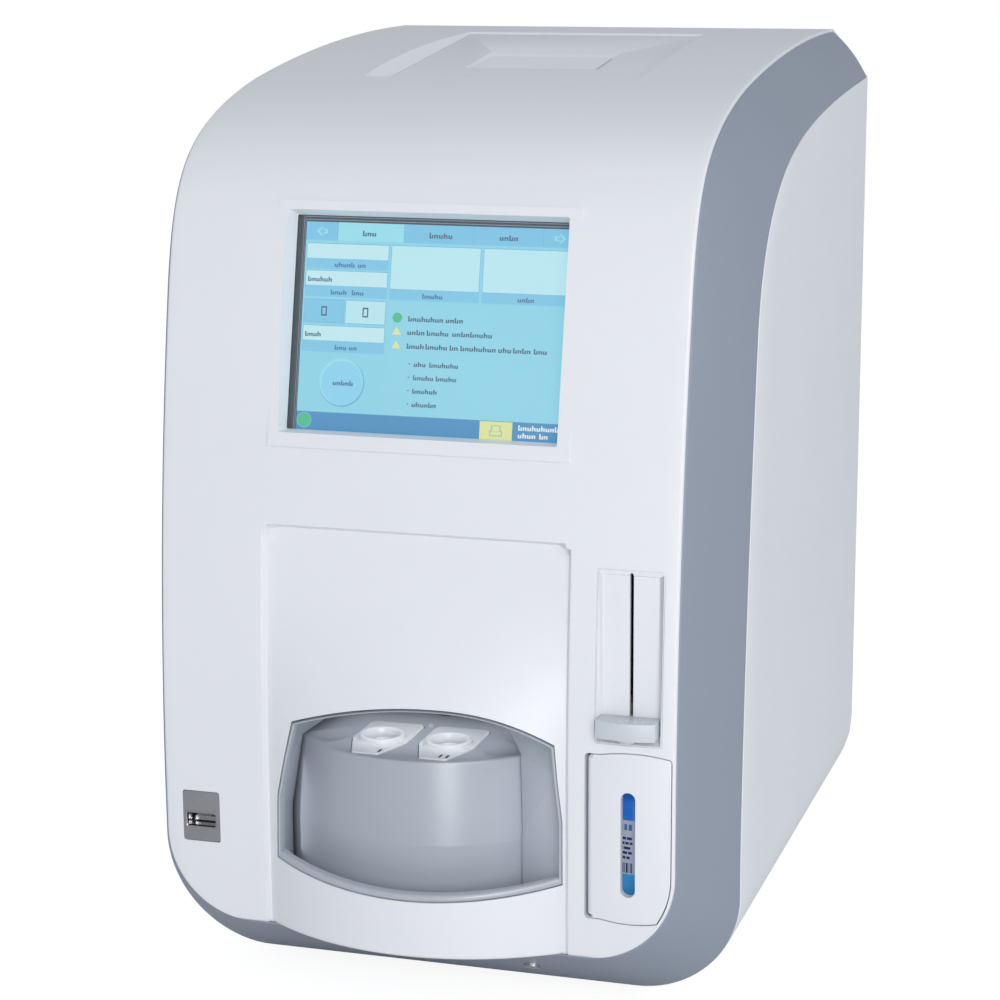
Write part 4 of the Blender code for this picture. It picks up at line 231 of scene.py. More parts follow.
@dataclass(frozen=True)
class Finish:
    """What every finish has: a name, a colour, and a method that gives its material."""

    name: str
    colour: Vec3

    def material(self) -> Material:
        """The material, built when it is first asked for.

        Returns:
            The material.
        """
        made = bpy.data.materials.get(self.name)
        if made is None:
            made = bpy.data.materials.new(self.name)
            made.use_nodes = True
            self.shade(NodeTree(made.node_tree))
        return made

    def shade(self, tree: NodeTree) -> None:
        """Fills the material's nodes, which each kind of finish does in its own way."""
        raise NotImplementedError


@dataclass(frozen=True)
class MouldedPlastic(Finish):
    """A satin moulding with spark-eroded grain, faint flow mottle and a little dust in its tone."""

    roughness: float = 0.42
    grain: float = 2400.0
    depth: float = 0.00002
    mottle: float = 0.05
    coat: float = 0.0

    def shade(self, tree: NodeTree) -> None:
        """Grain in the bump and roughness, mottle and flow lines in the colour.

        Args:
            tree: The material's nodes.
        """
        fine = tree.noise(self.grain, 2.0)
        broad = tree.noise(16.0, 3.0)
        flow = tree.noise(5.0, 2.0, tree.stretched((1.0, 1.0, 3.0)))
        tone = tree.blend(broad * 0.6 + flow * 0.4, self.colour, dimmed(self.colour, self.mottle))
        roughness = fine * 0.10 + broad * 0.08 + (self.roughness - 0.09)
        tree.dress(Base_Color=tone, Roughness=roughness, Normal=tree.bump(fine, self.depth),
                   Coat_Weight=self.coat, Coat_Roughness=0.2)


@dataclass(frozen=True)
class SheetMetal(Finish):
    """Rolled or brushed metal with a run of fine lines along one axis."""

    roughness: float = 0.32
    run: Vec3 = (30.0, 900.0, 900.0)
    depth: float = 0.000012
    stain: float = 0.12

    def shade(self, tree: NodeTree) -> None:
        """Fine lines in the bump and roughness, a cloudy stain in the colour.

        Args:
            tree: The material's nodes.
        """
        lines = tree.noise(2.0, 3.0, tree.stretched(self.run), 0.6)
        cloud = tree.noise(35.0, 3.0)
        tone = tree.blend(cloud, self.colour, dimmed(self.colour, self.stain))
        roughness = lines * 0.18 + cloud * 0.10 + (self.roughness - 0.14)
        bump = tree.bump(lines, self.depth)
        tree.dress(Base_Color=tone, Roughness=roughness, Metallic=1.0, Normal=bump)


@dataclass(frozen=True)
class ClearPane(Finish):
    """A clear cover that keeps only its gloss and a breath of tint."""

    alpha: float = 0.06
    roughness: float = 0.12

    def shade(self, tree: NodeTree) -> None:
        """Finger smears in the roughness.

        Args:
            tree: The material's nodes.
        """
        roughness = tree.noise(22.0, 4.0) * 0.06 + self.roughness
        tree.dress(Base_Color=self.colour, Roughness=roughness, Alpha=self.alpha,
                   Specular_IOR_Level=0.35)


@dataclass(frozen=True)
class LitInk(Finish):
    """One colour of the lit picture, with the faint unevenness of its backlight."""

    strength: float = 0.86
    unlit: Vec3 = (0.012, 0.014, 0.016)

    def shade(self, tree: NodeTree) -> None:
        """A cloudy glow over a dark ground.

        Args:
            tree: The material's nodes.
        """
        glow = tree.blend(tree.noise(9.0, 1.0), self.colour, tuple(level * 0.93 for level in self.colour))
        tree.dress(Base_Color=self.unlit, Roughness=0.5, Emission_Color=glow,
                   Emission_Strength=self.strength)


@dataclass(frozen=True)
class Reagent(Finish):
    """Blue translucent bottle wall with the liquid's depth seen through it."""

    shade_colour: Vec3 = (0.09, 0.52, 0.95)
    fill_z: float = 0.0695
    edge: float = 900.0
    spread: Vec3 = (0.002, 0.004, 0.009)

    def shade(self, tree: NodeTree) -> None:
        """The liquid's colour under its level, the wall's above, with a faint painted glow that brightens
        both.

        Args:
            tree: The material's nodes.
        """
        cloud = tree.noise(60.0, 2.0)
        height = tree.node("ShaderNodeSeparateXYZ", None, {0: tree.place()}, output="Z")
        level = tree.node("ShaderNodeClamp", None, {0: (self.fill_z - height) * self.edge})
        tone = tree.blend(level * 0.75 + cloud * 0.2, self.colour, self.shade_colour)
        # The emission is painted light: a faint glow in the bottle's own colour, which brightens it though it
        # is no lamp.
        tree.dress(Base_Color=tone, Roughness=cloud * 0.05 + 0.12, Coat_Weight=0.4,
                   Subsurface_Weight=0.15, Subsurface_Radius=self.spread, Subsurface_Scale=0.5,
                   Emission_Color=tone, Emission_Strength=0.14)


@dataclass(frozen=True)
class SoftRubber(Finish):
    """Matt rubber with a dusty bloom."""

    bloom: float = 0.03

    def shade(self, tree: NodeTree) -> None:
        """Bloom in the colour and roughness, a fine nap in the bump.

        Args:
            tree: The material's nodes.
        """
        bloom = tree.noise(180.0, 4.0)
        pale = tuple(level + self.bloom for level in self.colour)
        nap = tree.bump(tree.noise(1500.0, 2.0), 0.00004)
        tone = tree.blend(bloom * 0.7, self.colour, pale)
        tree.dress(Base_Color=tone, Roughness=bloom * 0.15 + 0.75, Normal=nap)


@dataclass(frozen=True)
class CoatedPaper(Finish):
    """Smooth coated paper with a faint fibre."""

    def shade(self, tree: NodeTree) -> None:
        """Fibre in colour, roughness and bump.

        Args:
            tree: The material's nodes.
        """
        fibre = tree.noise(700.0, 4.0)
        tone = tree.blend(fibre * 0.5, self.colour, tuple(level * 0.93 for level in self.colour))
        tree.dress(Base_Color=tone, Roughness=fibre * 0.1 + 0.6, Normal=tree.bump(fibre, 0.00002))


@dataclass(frozen=True)
class LacqueredBoard(Finish):
    """Green lacquer with copper runs under it."""

    copper: Vec3 = (0.03, 0.20, 0.08)
    pale_cell: Vec3 = (0.6, 0.6, 0.6)
    cells: Vec3 = (1.0, 150.0, 150.0)

    def shade(self, tree: NodeTree) -> None:
        """A grid of runs in the colour.

        Args:
            tree: The material's nodes.
        """
        sockets = {"Vector": tree.stretched(self.cells), "Scale": 1.0, "Mortar Size": 0.06,
                   "Color1": WHITE, "Color2": self.pale_cell}
        runs = tree.node("ShaderNodeTexBrick", {"offset": 0.5}, sockets)
        tone = tree.blend(runs, self.copper, self.colour)
        tree.dress(Base_Color=tone, Roughness=tree.noise(400.0) * 0.1 + 0.3, Coat_Weight=0.5)


class Look(Enum):
    """Every finish. A slot of the record wears the one of its own name."""

    WHITE = MouldedPlastic("white_moulding", (0.80, 0.81, 0.85), 0.40, coat=0.05)
    PANEL = MouldedPlastic("side_moulding", (0.79, 0.80, 0.84), 0.45)
    GREY = MouldedPlastic("grey_moulding", (0.27, 0.31, 0.38), 0.46, mottle=0.07)
    DRUM = MouldedPlastic("drum_moulding", (0.41, 0.445, 0.505), 0.30, grain=1800.0, coat=0.15)
    BEZEL = MouldedPlastic("bezel_moulding", (0.44, 0.48, 0.54), 0.33, grain=1800.0, coat=0.1)
    KNOB = MouldedPlastic("knob_moulding", (0.59, 0.64, 0.685), 0.38)
    CASSETTE = MouldedPlastic("cassette_moulding", (0.77, 0.785, 0.82), 0.32, grain=900.0, coat=0.2)
    MEMBRANE = MouldedPlastic("cup_membrane", (0.70, 0.72, 0.75), 0.5, grain=5000.0)
    GLASS = ClearPane("screen_glass", (0.65, 0.80, 0.88))
    DISPLAY = MouldedPlastic("display_case", (0.03, 0.035, 0.04), 0.35)
    STEEL = SheetMetal("bright_steel", (0.60, 0.60, 0.61), 0.26)
    SATIN = SheetMetal("satin_steel", (0.40, 0.39, 0.41), 0.30)
    SHEET = SheetMetal("plated_sheet", (0.52, 0.54, 0.56), 0.42, (400.0, 20.0, 400.0))
    ALUMINIUM = SheetMetal("milled_aluminium", (0.68, 0.69, 0.70), 0.38, (700.0, 700.0, 60.0))
    BLACK = MouldedPlastic("black_moulding", (0.018, 0.018, 0.020), 0.48)
    RUBBER = SoftRubber("foot_rubber", (0.028, 0.028, 0.030))
    BLUE = Reagent("reagent_blue", (0.03, 0.21, 0.86))
    LABEL = CoatedPaper("bottle_label", (0.80, 0.86, 1.0))
    LABEL_PRINT = MouldedPlastic("label_print", (0.03, 0.05, 0.22), 0.5)
    LABEL_TITLE = MouldedPlastic("label_title", (0.08, 0.26, 0.62), 0.5)
    PAPER = CoatedPaper("thermal_paper", (0.86, 0.87, 0.88))
    BOARD = LacqueredBoard("board_lacquer", (0.012, 0.11, 0.05))
    NYLON = MouldedPlastic("natural_nylon", (0.72, 0.69, 0.58), 0.45, mottle=0.1)
    INK = MouldedPlastic("mark_ink", (0.05, 0.055, 0.065), 0.6)


# Mesh making


def shares(count: int) -> list[float]:
    """Evenly spaced shares from 0 to 1, both ends included."""
    return [index / count for index in range(count + 1)]


@contextmanager
def opened(mesh: bpy.types.Mesh) -> Iterator[bmesh.types.BMesh]:
    """Opens a mesh for editing and writes it back at the end.

    Args:
        mesh: The mesh.

    Returns:
        The form to edit.
    """
    form = bmesh.new()
    form.from_mesh(mesh)
    yield form
    form.to_mesh(mesh)
    form.free()


class Outline:
    """Flat outlines and spacings."""

    @staticmethod
    def arc(centre: Vec2, radius: float, start: float, end: float, steps: int) -> list[Vec2]:
        """Points of an arc, both ends included, angles in degrees."""
        angles = [math.radians(start + (end - start) * index / steps) for index in range(steps + 1)]
        return [(centre[0] + radius * math.cos(a), centre[1] + radius * math.sin(a)) for a in angles]

    @classmethod
    def rounded(cls, rect: Rect, radius: float, steps: int = 6, grow: float = 0.0) -> list[Vec2]:
        """A rectangle with round corners, counter-clockwise.

        Args:
            rect: Its left, right, low and high edges.
            radius: Its corners' radius.
            steps: Segments of each corner.
            grow: How far every edge is moved outwards.

        Returns:
            The outline.
        """
        left, right, low, high = rect[0] - grow, rect[1] + grow, rect[2] - grow, rect[3] + grow
        corners = ((right - radius, high - radius), (left + radius, high - radius),
                   (left + radius, low + radius), (right - radius, low + radius))
        points: list[Vec2] = []
        for turn, centre in enumerate(corners):
            points += cls.arc(centre, radius, 90 * turn, 90 * turn + 90, steps)
        return points

    @staticmethod
    def softened(points: Sequence[Vec2], cut: float) -> list[Vec2]:
        """An outline with each corner rounded over a length of its edges.

        Args:
            points: The points of the outline or path.
            cut: How much of each edge the rounding takes.

        Returns:
            The new outline.
        """
        soft = []
        for index, point in enumerate(points):
            here = Vector(point)
            before = here + (Vector(points[index - 1]) - here).normalized() * cut
            after = here + (Vector(points[(index + 1) % len(points)]) - here).normalized() * cut
            for t in (0.0, 0.33, 0.67, 1.0):
                soft.append(tuple(before * (1 - t) ** 2 + here * 2 * t * (1 - t) + after * t * t))
        return soft

    @staticmethod
    def inset(points: Sequence[Vec2], distance: float) -> list[Vec2]:
        """A counter-clockwise convex outline, moved inwards by a distance.

        Args:
            points: The points of the outline or path.
            distance: How far it is moved.

        Returns:
            The new outline.
        """
        moved = []
        for index, point in enumerate(points):
            here = Vector(point)
            first = (here - Vector(points[index - 1])).normalized()
            second = (Vector(points[(index + 1) % len(points)]) - here).normalized()
            lean = Vector((-first.y - second.y, first.x + second.x))
            moved.append(tuple(here + lean * distance / (1 + first.dot(second))))
        return moved

    @staticmethod
    def runs(points: Sequence[Vec2]) -> list[Vector]:
        """The direction of a path at each of its points.

        Args:
            points: The path.

        Returns:
            One direction of length 1 for each point.
        """
        ends = [points[0], *points, points[-1]]
        return [Vector((after[0] - before[0], after[1] - before[1])).normalized()
                for before, after in zip(ends, ends[2:])]

    @staticmethod
    def graded(stops: Sequence[tuple[float, float]]) -> list[float]:
        """Values from the first stop on, with a step length up to each later stop.

        Args:
            stops: Pairs of value and the step that leads up to it.

        Returns:
            The values.
        """
        values = [stops[0][0]]
        for (start, _), (end, step) in zip(stops, stops[1:]):
            count = max(1, round(abs(end - start) / step))
            values += [start + (end - start) * index / count for index in range(1, count + 1)]
        return values


class Workshop:
    """Mesh making that every sub-assembly shares."""

    @staticmethod
    def link(name: str, data: bpy.types.ID) -> Object:
        """Puts a mesh, curve, lamp or camera in the scene as an object at the origin.

        Args:
            name: The piece's name.
            data: Its mesh, curve, lamp or camera.

        Returns:
            The new object.
        """
        piece = bpy.data.objects.new(name, data)
        bpy.context.scene.collection.objects.link(piece)
        return piece

    @classmethod
    def from_faces(cls, name: str, points: Iterable[Sequence[float]], faces: Sequence[Sequence[int]],
                   outward: bool = True) -> Object:
        """A piece from points and faces.

        Args:
            name: The piece's name.
            points: Its points.
            faces: Its faces, as numbers of points.
            outward: Whether to turn a closed form's faces outwards.

        Returns:
            The new object.
        """
        mesh = bpy.data.meshes.new(name)
        mesh.from_pydata([tuple(point) for point in points], [], [tuple(face) for face in faces])
        piece = cls.link(name, mesh)
        return cls.face_out(piece) if outward else piece

    @staticmethod
    def face_out(piece: Object, weld: float = 1e-6) -> Object:
        """Welds doubles and turns the faces of a closed form outwards.

        Args:
            piece: The piece.
            weld: Points closer than this become one.

        Returns:
            The piece.
        """
        with opened(piece.data) as form:
            bmesh.ops.remove_doubles(form, verts=form.verts, dist=weld)
            bmesh.ops.recalc_face_normals(form, faces=form.faces)
            if form.calc_volume(signed=True) < 0:
                bmesh.ops.reverse_faces(form, faces=form.faces)
        return piece

    @classmethod
    def skin(cls, name: str, outer: Sequence[Sequence[Vec3]], inner: Sequence[Sequence[Vec3]]) -> Object:
        """A closed shell between two grids of points of the same size.

        Args:
            name: The piece's name.
            outer: Rows of points of the outer face.
            inner: Rows of points of the inner face.

        Returns:
            The new object.
        """
        rows, columns = len(outer), len(outer[0])
        points = [point for grid in (outer, inner) for row in grid for point in row]
        size = rows * columns
        faces = []
        for row in range(rows - 1):
            for column in range(columns - 1):
                first = row * columns + column
                quad = (first, first + 1, first + columns + 1, first + columns)
                faces.append(quad)
                faces.append(tuple(size + index for index in quad[::-1]))
        edge = list(range(columns))
        edge += [row * columns + columns - 1 for row in range(1, rows)]
        edge += [(rows - 1) * columns + column for column in range(columns - 2, -1, -1)]
        edge += [row * columns for row in range(rows - 2, 0, -1)]
        faces += [(after, here, size + here, size + after) for here, after in zip(edge, edge[1:] + edge[:1])]
        return cls.from_faces(name, points, faces)

    @classmethod
    def loft(cls, name: str, rings: Sequence[Sequence[Vec3]], closed: bool = False) -> Object:
        """A form through closed rings of points.

        Args:
            name: The piece's name.
            rings: Rings with the same number of points.
            closed: Whether the last ring joins the first; else the end rings are filled.

        Returns:
            The new object.
        """
        count, last = len(rings[0]), len(rings) - 1
        pairs = [(index, index + 1) for index in range(last)] + ([(last, 0)] if closed else [])
        faces = []
        for here, after in pairs:
            for index in range(count):
                a, b = index, (index + 1) % count
                faces.append((here * count + a, here * count + b, after * count + b, after * count + a))
        if not closed:
            faces.append(tuple(range(count)))
            faces.append(tuple(range(last * count, (last + 1) * count))[::-1])
        return cls.from_faces(name, [point for ring in rings for point in ring], faces)

    @classmethod
    def lathe(cls, name: str, profile: Sequence[Vec2], centre: Vec3, steps: int = 96,
              axis: Vec3 = UPWARDS, closed: bool = False) -> Object:
        """A turned form.

        Args:
            name: The piece's name.
            profile: Points of (radius, height).
            centre: Where height zero of the axis lies.
            steps: Facets round it.
            axis: The direction of height.
            closed: Whether the profile is a loop off the axis.

        Returns:
            The new object.
        """
        turn = Vector(UPWARDS).rotation_difference(Vector(axis)).to_matrix()
        rings = []
        for radius, height in profile:
            ring = []
            for index in range(steps):
                angle = 2 * math.pi * index / steps
                spot = Vector((radius * math.cos(angle), radius * math.sin(angle), height))
                ring.append(tuple(turn @ spot + Vector(centre)))
            rings.append(ring)
        piece = cls.loft(name, rings, closed)
        with opened(piece.data) as form:
            bmesh.ops.dissolve_degenerate(form, edges=form.edges, dist=1e-7)
        return piece

    @classmethod
    def pin(cls, radius: float, low: float, high: float, centre: Vec3 = ORIGIN, steps: int = 16,
            axis: Vec3 = UPWARDS) -> Object:
        """A plain cylinder.

        Args:
            radius: Its radius.
            low: Where it starts on its axis.
            high: Where it ends.
            centre: Where height zero of the axis lies.
            steps: Facets round it.
            axis: Its direction.

        Returns:
            The new object.
        """
        return cls.lathe("pin", [(0, low), (radius, low), (radius, high), (0, high)], centre, steps, axis)

    @classmethod
    def plate(cls, name: str, outline: Sequence[Vec2], low: float, high: float, plane: Plane) -> Object:
        """A flat outline, extruded across its plane.

        Args:
            name: The piece's name.
            outline: The outline.
            low: Where it starts, across the plane.
            high: Where it ends.
            plane: The plane that the outline lies in.

        Returns:
            The new object.
        """
        curve = bpy.data.curves.new(name, "CURVE")
        curve.dimensions = "2D"
        curve.fill_mode = "BOTH"
        curve.extrude = (high - low) / 2
        spline = curve.splines.new("POLY")
        spline.points.add(len(outline) - 1)
        for point, spot in zip(spline.points, outline):
            point.co = (*spot, 0.0, 1.0)
        spline.use_cyclic_u = True
        guide = cls.link(name + "_guide", curve)
        across, guide.rotation_euler = plane.value
        guide.location[across] = (low + high) / 2
        mesh = cls.evaluated(guide)
        mesh.transform(guide.matrix_world)
        bpy.data.objects.remove(guide)
        return cls.face_out(cls.link(name, mesh))

    @classmethod
    def box(cls, name: str, low: Vec3, high: Vec3) -> Object:
        """A block between two corners.

        Args:
            name: The piece's name.
            low: The corner with the least X, Y and Z.
            high: The opposite corner.

        Returns:
            The new object.
        """
        x_ends, y_ends, z_ends = zip(low, high)
        spots = [(x, y, z) for x in x_ends for y in y_ends for z in z_ends]
        sides = [(0, 1, 3, 2), (4, 6, 7, 5), (0, 4, 5, 1), (2, 3, 7, 6), (0, 2, 6, 4), (1, 5, 7, 3)]
        return cls.from_faces(name, spots, sides)

    @staticmethod
    def evaluated(piece: Object) -> bpy.types.Mesh:
        """A new mesh of a piece as its modifiers leave it."""
        bpy.context.view_layer.update()
        return bpy.data.meshes.new_from_object(piece.evaluated_get(bpy.context.evaluated_depsgraph_get()))

    @classmethod
    def settle(cls, piece: Object) -> Object:
        """Applies a piece's modifiers, so that only its mesh is left.

        Args:
            piece: The piece.

        Returns:
            The piece.
        """
        mesh = cls.evaluated(piece)
        piece.modifiers.clear()
        piece.data = mesh
        return piece

    @classmethod
    def combine(cls, target: Object, how: Join, tools: Sequence[Object]) -> Object:
        """Adds or cuts solids, one after the other, and removes the tools.

        Args:
            target: The solid that is changed.
            how: What is done with it.
            tools: The other solids.

        Returns:
            The target.
        """
        for tool in tools:
            step = target.modifiers.new("combine", "BOOLEAN")
            step.operation = how.value
            step.solver = "EXACT"
            step.object = tool
        cls.settle(target)
        for tool in tools:
            bpy.data.objects.remove(tool)
        return target

    @classmethod
    def round_over(cls, piece: Object, width: float, segments: int = 3, angle: float = 60.0) -> Object:
        """Rounds the edges of a piece that are sharper than an angle in degrees.

        Args:
            piece: The piece.
            width: The rounding's width.
            segments: Steps across it.
            angle: The least angle that is rounded.

        Returns:
            The piece.
        """
        bevel = piece.modifiers.new("round", "BEVEL")
        bevel.width = width
        bevel.segments = segments
        bevel.limit_method = "ANGLE"
        bevel.angle_limit = math.radians(angle)
        return cls.settle(piece)

    @staticmethod
    def move(piece: Object, location: Vec3, turn: Vec3) -> Object:
        """Turns and moves a piece's mesh, with its object left at the origin.

        Args:
            piece: The piece.
            location: Where it goes.
            turn: Its turn about X, Y and Z.

        Returns:
            The piece.
        """
        rotation = Matrix.Identity(4)
        for angle, axis in zip(turn, "XYZ"):
            rotation = Matrix.Rotation(angle, 4, axis) @ rotation
        piece.data.transform(Matrix.Translation(location) @ rotation)
        return piece

    @staticmethod
    def flat(loop: Sequence[Vec2], z: float) -> list[Vec3]:
        """A loop of (x, y) at a height."""
        return [(x, y, z) for x, y in loop]

    @staticmethod
    def upright(loop: Sequence[Vec2], y: float) -> list[Vec3]:
        """A loop of (x, z) at a depth."""
        return [(x, y, z) for x, z in loop]

    @staticmethod
    def mirrored(row: Sequence[Vec3]) -> list[Vec3]:
        """The same points on the other side of the body."""
        return [(-x, y, z) for x, y, z in row]

    @staticmethod
    def paint(piece: Object, look: Look) -> Object:
        """Gives a piece one finish.

        Args:
            piece: The piece.
            look: The finish.

        Returns:
            The piece.
        """
        piece.data.materials.clear()
        piece.data.materials.append(look.value.material())
        return piece

    @classmethod
    def merge(cls, name: str, pieces: Sequence[Object]) -> Object:
        """Puts several meshes into one piece, with their materials kept.

        Args:
            name: The piece's name.
            pieces: The meshes, which are removed.

        Returns:
            The new piece.
        """
        mesh = bpy.data.meshes.new(name)
        finishes: list[Material] = []
        with opened(mesh) as form:
            for piece in pieces:
                start = len(form.faces)
                form.from_mesh(piece.data)
                form.faces.ensure_lookup_table()
                finishes += [made for made in piece.data.materials if made not in finishes]
                table = [finishes.index(made) for made in piece.data.materials] or [0]
                for face in form.faces[start:]:
                    face.material_index = table[face.material_index]
                bpy.data.objects.remove(piece)
        for made in finishes:
            mesh.materials.append(made)
        return cls.link(name, mesh)

    @classmethod
    def hand_over(cls, piece: Object, body: Body, slot: str, replaces: Sequence[str] = (),
                  look: Optional[Look] = None, sharp: float = 32.0) -> Object:
        """Shades a piece, dresses it unless it is dressed, parents it to its body's empty and hides the CAD
        nodes that it stands for.

        Args:
            piece: The finished piece.
            body: The body that it rides on.
            slot: The record's slot of its finish.
            replaces: CAD nodes that it stands for.
            look: Its finish, where it isn't the slot's own.
            sharp: Edges over this angle in degrees stay sharp.

        Returns:
            The piece.
        """
        if look or not any(piece.data.materials):
            cls.paint(piece, look or Look[slot.upper()])
        for face in piece.data.polygons:
            face.use_smooth = True
        piece.data.set_sharp_from_angle(angle=math.radians(sharp))
        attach(piece, body.value)
        if replaces:
            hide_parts(*replaces)
        LOG.info("%s rides on %s with %d faces", piece.name, body.value, len(piece.data.polygons))
        return piece


@dataclass
class BodyForm:
    """The outer form of the housing, from its two side paths."""

    fascia_y: float = -0.150
    height: float = 0.4035
    rear_y: float = 0.1666
    half_hood: float = 0.1128
    half_body: float = 0.1306
    fascia_bottom: float = 0.034
    fascia_corner: float = 0.038
    body_corner: float = 0.045
    floor: float = 0.004
    setback: float = 0.0465
    column_half: float = 0.067
    column_top: float = 0.209
    column_sink: float = 0.003
    column_corner: float = 0.006
    column_blend: Vec2 = (0.0006, 0.0019)
    apron_reach: float = 0.023
    apron_radius: float = 0.116
    apron_full: float = 0.060
    apron_fade: float = 0.202
    hood_shares: tuple = (
        ((1.0, 1.0), (0.7813, 1.0), (0.5469, 0.9827), (0.3688, 0.9579)),
        ((0.3688, 0.9579), (0.1359, 0.9209), (0.0916, 0.8751), (0.0644, 0.7633)),
        ((0.0644, 0.7633), (0.0216, 0.5866), (0.0, 0.4097), (0.0, 0.2330)),
    )
    side_shares: tuple = (
        ((1.0, 0.9430), (0.7969, 0.9331), (0.5844, 0.9207), (0.4500, 0.8922)),
        ((0.4500, 0.8922), (0.3109, 0.8637), (0.2250, 0.8069), (0.2063, 0.7088)),
        ((0.2063, 0.7088), (0.1844, 0.5898), (0.1516, 0.3717), (0.1453, 0.1636)),
    )
    face_steps: tuple = (30, 40, 120)

    def __post_init__(self) -> None:
        """Draws the face's path once."""
        self.face = self.path(self.hood_shares, self.face_steps)

    def path(self, curves: tuple, steps: Sequence[int]) -> list[Vec2]:
        """A side path as (y, z), from the rear of the roof to the foot of the face.

        Args:
            curves: Its control points, as shares of depth and height.
            steps: Points on each of its three curves.

        Returns:
            The path.
        """
        spots: list[Vec2] = []
        for control, count in zip(curves, steps):
            for t in shares(count)[:-1]:
                weights = ((1 - t) ** 3, 3 * t * (1 - t) ** 2, 3 * t * t * (1 - t), t ** 3)
                spots.append(tuple(sum(w * spot[k] for w, spot in zip(weights, control)) for k in (0, 1)))
        spots.append(curves[-1][-1])
        return [(self.fascia_y + y * (self.rear_y - self.fascia_y), z * self.height) for y, z in spots]

    @staticmethod
    def shifted(points: Sequence[Vec2], distance: float) -> list[Vec2]:
        """A path moved inwards, with its rear end kept at the rear.

        Args:
            points: The path.
            distance: How far it is moved.

        Returns:
            The moved path.
        """
        moved = [(y - run.y * distance, z + run.x * distance)
                 for (y, z), run in zip(points, Outline.runs(points))]
        return [(points[0][0], moved[0][1]), *moved[1:]]

    def face_y(self, z: float) -> float:
        """World Y of the hood's plain face at a height.

        Args:
            z: The height.

        Returns:
            World Y.
        """
        if z <= self.face[-1][1]:
            return self.fascia_y
        for above, below in zip(self.face, self.face[1:]):
            if below[1] <= z <= above[1]:
                return below[0] + (z - below[1]) / (above[1] - below[1]) * (above[0] - below[0])
        return self.face[0][0]

    def bulge(self, x: float, z: float) -> float:
        """How far the apron stands out of the sunk column.

        Args:
            x: The place across.
            z: The height.

        Returns:
            A distance forwards.
        """
        edge = self.column_half
        if abs(x) >= edge:
            return 0.0
        chord = math.sqrt(self.apron_radius ** 2 - edge ** 2)
        share = (math.sqrt(self.apron_radius ** 2 - x ** 2) - chord) / (self.apron_radius - chord)
        fade = min(max((z - self.apron_full) / (self.apron_fade - self.apron_full), 0.0), 1.0)
        return self.apron_reach * share * (1 - fade * fade * (3 - 2 * fade))

    def sink(self, x: float, z: float) -> float:
        """How deep the column's step is at a place, with rounded lips.

        Args:
            x: The place across.
            z: The height.

        Returns:
            A distance backwards.
        """
        dx = abs(x) - (self.column_half - self.column_corner)
        dz = z - (self.column_top - self.column_corner)
        outside = math.hypot(max(dx, 0.0), max(dz, 0.0)) + min(max(dx, dz), 0.0) - self.column_corner
        start, span = self.column_blend
        share = min(max((start - outside) / span, 0.0), 1.0)
        return self.column_sink * share * share * (3 - 2 * share)

    def front_y(self, x: float, z: float) -> float:
        """World Y of the front face with column and apron."""
        return self.face_y(z) + self.sink(x, z) - self.bulge(x, z)

    def half_width(self, z: float) -> float:
        """Half width of the fascia at a height, narrower round its lower corners.

        Args:
            z: The height.

        Returns:
            The half width.
        """
        centre = self.fascia_bottom + self.fascia_corner
        if z >= centre:
            return self.half_hood
        rise = min(centre - z, self.fascia_corner)
        return self.half_hood - self.fascia_corner + math.sqrt(self.fascia_corner ** 2 - rise ** 2)


FORM = BodyForm()


# Housing


